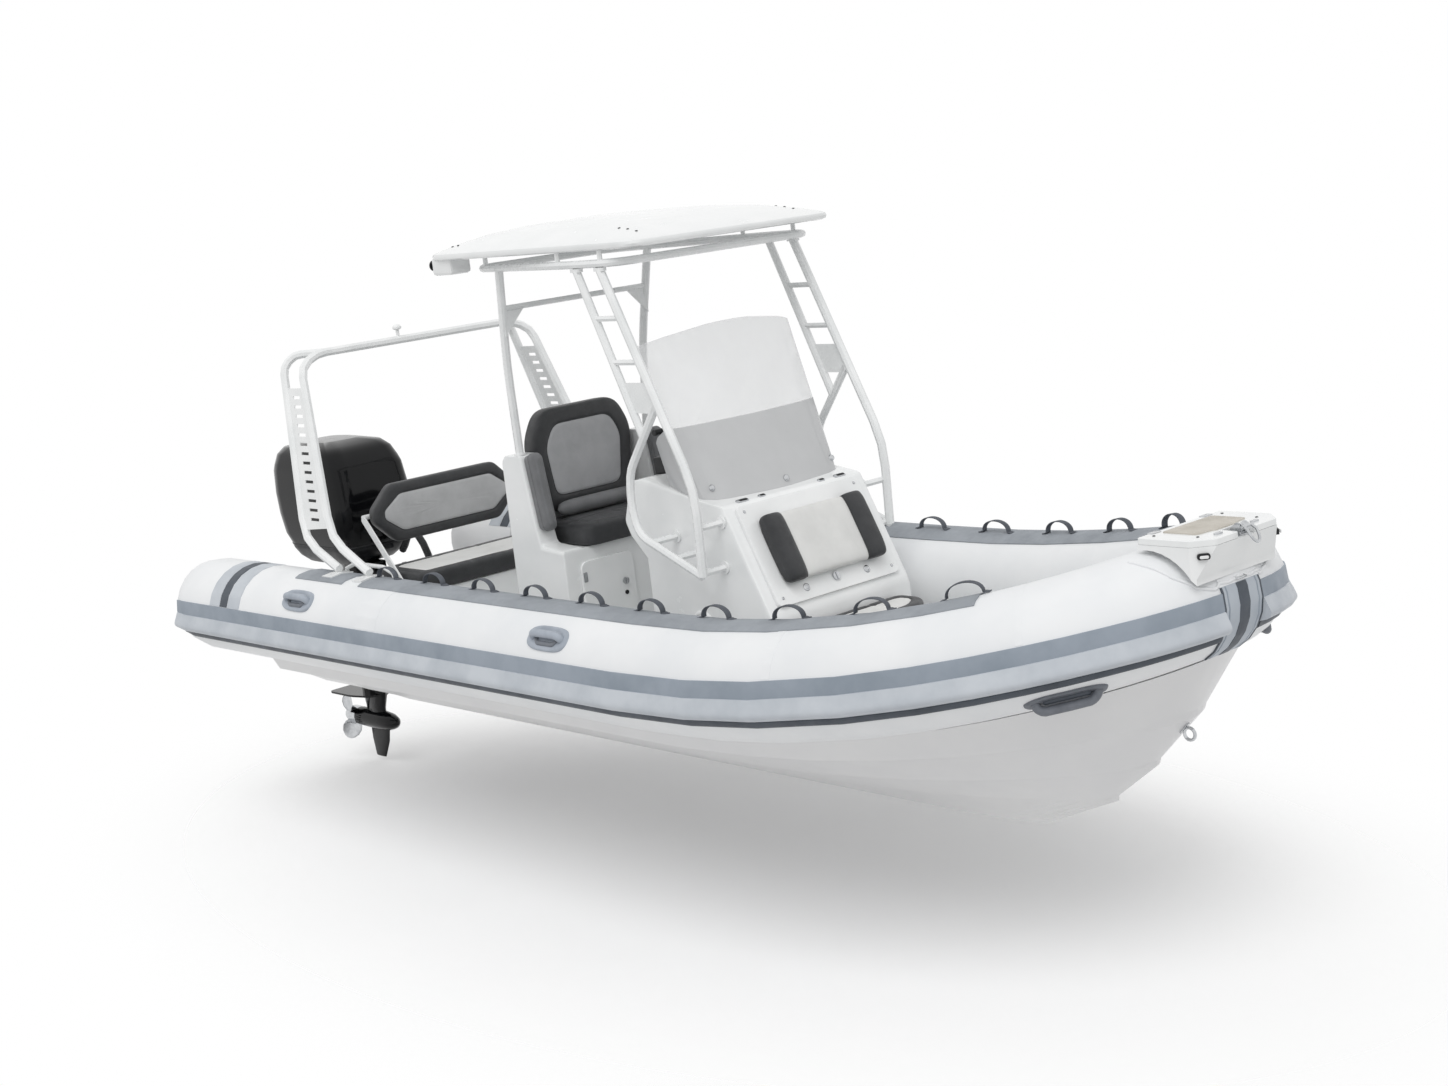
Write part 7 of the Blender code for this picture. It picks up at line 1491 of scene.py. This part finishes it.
class HelmPod(Assembly):
    """The helm seat pod with its cushions and locker door."""

    nodes = ((GELCOAT, 30, "helm_pod helm_door"), (STAINLESS, 35, "helm_door_lock"))
    # The backrest's outline: place across and height, as shares.
    back_shares = (
        (-0.86, 0.0), (-0.95, 0.44), (-1.0, 0.70), (-0.74, 1.0), (0.74, 1.0), (1.0, 0.70),
        (0.95, 0.44), (0.86, 0.0),
    )
    knob_profile = ((0.011, 0.0), (0.011, 0.006), (0.008, 0.009), (0.002, 0.010))
    socket_profile = (
        (0.024, 0.0), (0.024, 0.003), (0.020, 0.006), (0.013, 0.006), (0.011, 0.003),
        (0.003, 0.003),
    )

    def build_seat(self) -> None:
        """Make the seat and the backrest."""
        Pad(
            Piece("helm_seat_pad", DARK_VINYL, smooth=180, panel=SEAT_VINYL), "helm_seat_cushion",
            rounded_rectangle(0.42, 0.62, 0.055), 0.125, Matrix.Translation((-0.58, 0, 1.1482)),
            0.075, (Channel(1, 0.0), Channel(0, 0.02)),
        ).build()
        outline = [(0.54 * up, 0.335 * across) for across, up in self.back_shares]
        Pad(
            Piece("helm_back_pad", DARK_VINYL, smooth=180, panel=WOVEN_VINYL), "helm_back_cushion",
            rounded_corners(outline, 0.075, 7), 0.105, forward_frame(-0.8192, 0, 1.2979), 0.082,
            fill=0.85,
        ).build()

    def build_rolls(self) -> None:
        """Make the roll across the backrest's foot and the side pads."""
        rings = []
        for step in range(25):
            across = -1 + 2 * step / 24
            size = (1 - abs(across) ** 8) ** 0.5 if abs(across) < 1 else 0.05
            ring = []
            for part in range(28):
                turn = math.tau * part / 28
                x = -0.676 + 0.034 * size * math.cos(turn)
                ring.append((x, 0.262 * across, 1.318 + 0.040 * size * math.sin(turn)))
            rings.append(ring)
        Piece("lumbar_roll", GREY_VINYL, smooth=180).loft(rings)
        for side, word in SIDES:
            place = Matrix((
                (0.1577, 0, 0.9875, -0.6392), (0, 1, 0, side * 0.405), (-0.9875, 0, 0.1577, 1.4381),
                (0, 0, 0, 1),
            ))
            Pad(
                Piece(f"side_roll_{word}", GREY_VINYL, smooth=180, panel=GREY_VINYL),
                f"helm_bolster_{word}", rounded_rectangle(0.3994, 0.085, 0.028), 0.075, place, 0.0,
                fill=0.9, round_points=96,
            ).build()

    def build(self) -> None:
        """Make the cushions, and the door's knob and hinges and the socket beside it."""
        self.build_seat()
        self.build_rolls()
        knob = axes_frame((-0.3935, -0.10, 0.868), PORT, AHEAD)
        Piece("pod_knob", BLACK_ABS, "pod_door").lathe(self.knob_profile, knob, 28)
        for number, z in enumerate((0.66, 1.0)):
            place = axes_frame((-0.3936, -0.352, z), UP, AHEAD)
            shape = rounded_rectangle(0.05, 0.024, 0.005)
            Piece(f"pod_hinge_{number}", STAINLESS, "pod_door").plate(shape, 0.0035, 0.001, place)
        socket = axes_frame((-0.4098, 0.25, 0.97), PORT, AHEAD)
        Piece("pod_socket", BLACK_ABS).lathe(self.socket_profile, socket, 36)


class AftBench(Assembly):
    """The aft bench with its lid, flipping backrest and grab rails."""

    nodes = (
        (GELCOAT, 30, "bench_base"), (POWDER_COAT, 35, "bench_back_frame"),
        (POWDER_COAT, 40, "aft_rail_starboard aft_rail_port"),
    )
    seat_outline = ((0, -0.5), (0.458, -0.5), (0.458, 0.5), (0, 0.5))
    back_height, back_half, back_corner = 0.335, 0.49, 0.13
    cap_profile = ((0.021, -0.002), (0.021, 0.004), (0.017, 0.008), (0.004, 0.009))

    def build(self) -> None:
        """Make the seat pad, the backrest pad and the pivots' caps."""
        Pad(
            Piece("bench_pad", DARK_VINYL, "bench_lid", 180, PALE_VINYL), "bench_cushion",
            rounded_corners(self.seat_outline, 0.04, 7), 0.115,
            Matrix.Translation((-2.12, 0, 0.8553)), 0.075, (Channel(1, -0.14), Channel(1, 0.14)),
        ).build()
        tall, half, corner = self.back_height, self.back_half, self.back_corner
        right = [(corner, -half), (tall - corner, -half), (tall, corner - half)]
        outline = [*right, *((x, -y) for x, y in reversed(right))]
        outline += [(0, half - corner), (0, corner - half)]
        Pad(
            Piece("bench_back_pad", DARK_VINYL, "bench_back", 180, MID_VINYL),
            "bench_back_cushion", rounded_corners(outline, 0.024, 5), 0.085,
            forward_frame(-2.15, 0, 1.085), 0.060, fill=0.85, round_points=144,
        ).build()
        for side, word in SIDES:
            hub = axes_frame((-1.74, side * 0.5262, 0.78), AHEAD, (0, side, 0))
            Piece(f"bench_pivot_cap_{word}", BLACK_ABS, "bench_back").lathe(self.cap_profile, hub)


class HardTop(Assembly):
    """The hard top on its tube frames."""

    nodes = (
        (POWDER_COAT, 40, "ttop_frame_starboard ttop_frame_port ttop_aft_frame"),
        (GELCOAT, 40, "ttop_roof"),
    )
    lamp_profile = (
        (0.028, -0.004), (0.028, 0.003), (0.024, 0.006), (0.020, 0.006), (0.018, 0.002),
        (0.003, 0.001),
    )
    screw_x = (-0.95, -0.90, 0.40, 0.46, 0.52)

    def roof_z(self, x: float, y: float) -> float:
        """Return the height of the roof's skin above a point."""
        hit = skin_hit("ttop_roof", Vector((x, y, 3.2)), Vector((0, 0, -1)))
        return hit.z if hit else 2.68

    def build(self) -> None:
        """Make the aft lamps and the roof's screws."""
        low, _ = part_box("ttop_roof")
        for side, word in SIDES:
            lamp = axes_frame((low.x + 0.004, side * 0.53, 2.632), PORT, (-1, 0, 0))
            Piece(f"roof_lamp_{word}", BLACK_ABS).lathe(self.lamp_profile, lamp, 40)
            places = [(x, side * 0.50, self.roof_z(x, 0.50)) for x in self.screw_x]
            Piece(f"roof_screw_{word}", BLACK_ABS).screws(0.007, (0, side * 0.05, 1), places)


class RollBar(Assembly):
    """The roll bar and the all-round light on it."""

    nodes = ((POWDER_COAT, 40, "arch"), (OPAL, 40, "allround_light"))


class Outboard(Assembly):
    """The outboard motor with its bracket, propeller and hose."""

    nodes = (
        (MOTOR_LACQUER, 40, "motor_cowl"), (MOTOR_LACQUER, 35, "motor_leg"),
        (MOTOR_SATIN, 35, "motor_pan swivel_bracket transom_bracket"),
        (STAINLESS, 40, "propeller"), (CAST_ALLOY, 30, "powerhead"),
        (HOSE_RUBBER, 50, "rigging_hose"),
    )

    def outline_at(self, node: str, level: float) -> list[Vector]:
        """Return the points of a node's skin at a height, in order round it."""
        low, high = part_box(node)
        centre = (low + high) / 2
        hits = []
        for step in range(96):
            turn = math.tau * step / 96
            way = Vector((math.cos(turn), math.sin(turn), 0.0))
            hits.append(skin_hit(node, Vector((centre.x, centre.y, level)) + way, -way))
        return [hit for hit in hits if hit]

    def build(self) -> None:
        """Make the cowl's seal and catch and the leg's water slots."""
        low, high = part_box("motor_cowl")
        seal = self.outline_at("motor_cowl", low.z + 0.006)
        Piece("cowl_seal", HOSE_RUBBER, "outboard").rod([*seal, seal[0]], 0.0048)
        latch = axes_frame((high.x - 0.006, 0.0, low.z - 0.018), PORT, AHEAD)
        shape = rounded_rectangle(0.09, 0.032, 0.008)
        Piece("cowl_catch", MOTOR_SATIN, "outboard").plate(shape, 0.014, 0.003, latch)
        shape = rounded_rectangle(0.055, 0.006, 0.0028)
        for side, word in SIDES:
            for number in range(4):
                spot = (-3.335, side * 0.0625, -0.215 + 0.016 * number)
                slot = Piece(f"water_slot_{word}_{number}", BLACK_ABS, "outboard")
                slot.plate(shape, 0.002, 0.0006, axes_frame(spot, AHEAD, (0, side, 0)))


@dataclass
class Studio:
    """The pale floor, the even light and the camera."""

    floor_z: float = -0.46
    floor_reach: float = 60.0
    camera_place: tuple = (8.036, -6.703, 3.011)
    azimuth: float = 49.104
    elevation: float = 10.322
    roll: float = -6.693
    focal_pixels: float = 2110.08
    photo_width: int = 1448
    sensor_mm: float = 36.0
    # Half axes of the oval past which the floor is gone.
    paper_reach: tuple = (5.4, 3.0)
    # Name, strength, spread and turns of each sun.
    suns: tuple = (("key_sun", 1.05, 40, (28, 18, 0)), ("fill_sun", 0.35, 60, (50, 0, 60)))

    def build_camera(self) -> None:
        """Set the camera at the photograph's place and angle."""
        turn, rise, tip = (math.radians(v) for v in (self.azimuth, self.elevation, self.roll))
        flat = math.cos(rise)
        back = Vector((math.sin(turn) * flat, -math.cos(turn) * flat, math.sin(rise)))
        right = (-back).cross(Vector(UP)).normalized()
        up = back.cross(right)
        side = right * math.cos(tip) + up * math.sin(tip)
        data = bpy.data.cameras.new("photo_camera")
        data.sensor_width = self.sensor_mm
        data.sensor_fit = "HORIZONTAL"
        data.lens = self.focal_pixels * self.sensor_mm / self.photo_width
        camera = bpy.data.objects.new("photo_camera", data)
        camera.matrix_world = axes_frame(self.camera_place, side, back)
        bpy.context.scene.collection.objects.link(camera)
        bpy.context.scene.camera = camera

    def build_floor(self) -> None:
        """Lay a pale floor under the boat that fades out towards its edges."""
        mesh = bpy.data.meshes.new("studio_floor")
        reach = self.floor_reach
        corners = ((-reach, -reach), (reach, -reach), (reach, reach), (-reach, reach))
        mesh.from_pydata([(x, y, self.floor_z) for x, y in corners], [], [(0, 1, 2, 3)])
        paper = bpy.data.materials.new("studio_paper_white")
        paper.use_nodes = True
        tree = paper.node_tree
        shader = tree.nodes["Principled BSDF"]
        shader.inputs["Roughness"].default_value = 0.9
        shader.inputs["Specular IOR Level"].default_value = 0.1
        mottle(tree, shader, "FCFCFC", "FAFAFA", 2500)
        place = add_node(tree, "ShaderNodeTexCoord")
        scale = (1 / self.paper_reach[0], 1 / self.paper_reach[1], 0.0)
        links = {"Vector": place.outputs["Object"]}
        oval = add_node(tree, "ShaderNodeMapping", {"Scale": scale}, links)
        far = add_node(tree, "ShaderNodeVectorMath", {"operation": "LENGTH"}, {0: oval.outputs[0]})
        fade = stretch(tree, far.outputs["Value"], (0.3, 1.0, 1.0, 0.0))
        fade.node.interpolation_type = "SMOOTHERSTEP"
        tree.links.new(fade, shader.inputs["Alpha"])
        mesh.materials.append(paper)
        floor = bpy.data.objects.new("studio_floor", mesh)
        bpy.context.scene.collection.objects.link(floor)

    def build_light(self) -> None:
        """Light the boat evenly, with a soft key from above."""
        world = bpy.data.worlds.new("studio_air")
        world.use_nodes = True
        tree = world.node_tree
        white = {"Color": (1.0, 1.0, 1.0, 1.0), "Strength": 1.0}
        ground = tree.nodes["Background"]
        ground.inputs["Color"].default_value = white["Color"]
        ground.inputs["Strength"].default_value = 0.62
        seen = add_node(tree, "ShaderNodeBackground", white)
        rays = add_node(tree, "ShaderNodeLightPath").outputs
        add = {"operation": "ADD", "use_clamp": True}
        direct = add_node(
            tree, "ShaderNodeMath", add, {0: rays["Is Camera Ray"], 1: rays["Is Glossy Ray"]}
        )
        links = {0: direct.outputs[0], 1: rays["Is Transmission Ray"]}
        through = add_node(tree, "ShaderNodeMath", add, links)
        links = {0: through.outputs[0], 1: ground.outputs[0], 2: seen.outputs[0]}
        blend = add_node(tree, "ShaderNodeMixShader", None, links)
        tree.links.new(blend.outputs[0], tree.nodes["World Output"].inputs["Surface"])
        bpy.context.scene.world = world
        for name, strength, spread, turns in self.suns:
            data = bpy.data.lights.new(name, "SUN")
            data.energy = strength
            data.angle = math.radians(spread)
            sun = bpy.data.objects.new(name, data)
            sun.visible_glossy = False
            sun.rotation_euler = [math.radians(turn) for turn in turns]
            bpy.context.scene.collection.objects.link(sun)

    def build(self) -> None:
        """Make the camera, the floor and the light."""
        self.build_camera()
        self.build_floor()
        self.build_light()
        bpy.context.scene.view_settings.view_transform = "Standard"


def main() -> None:
    """Build and dress the boat, then set up the studio."""
    logging.basicConfig(level=logging.INFO, format="%(name)s: %(message)s")
    Studio().build()
    for part in (
        HullAndDeck(), Collar(), BowGear(), ConsoleUnit(), HelmPod(), AftBench(), HardTop(),
        RollBar(), Outboard(),
    ):
        part.dress()
        part.build()
    bpy.context.view_layer.update()


if __name__ == "__main__":
    main()
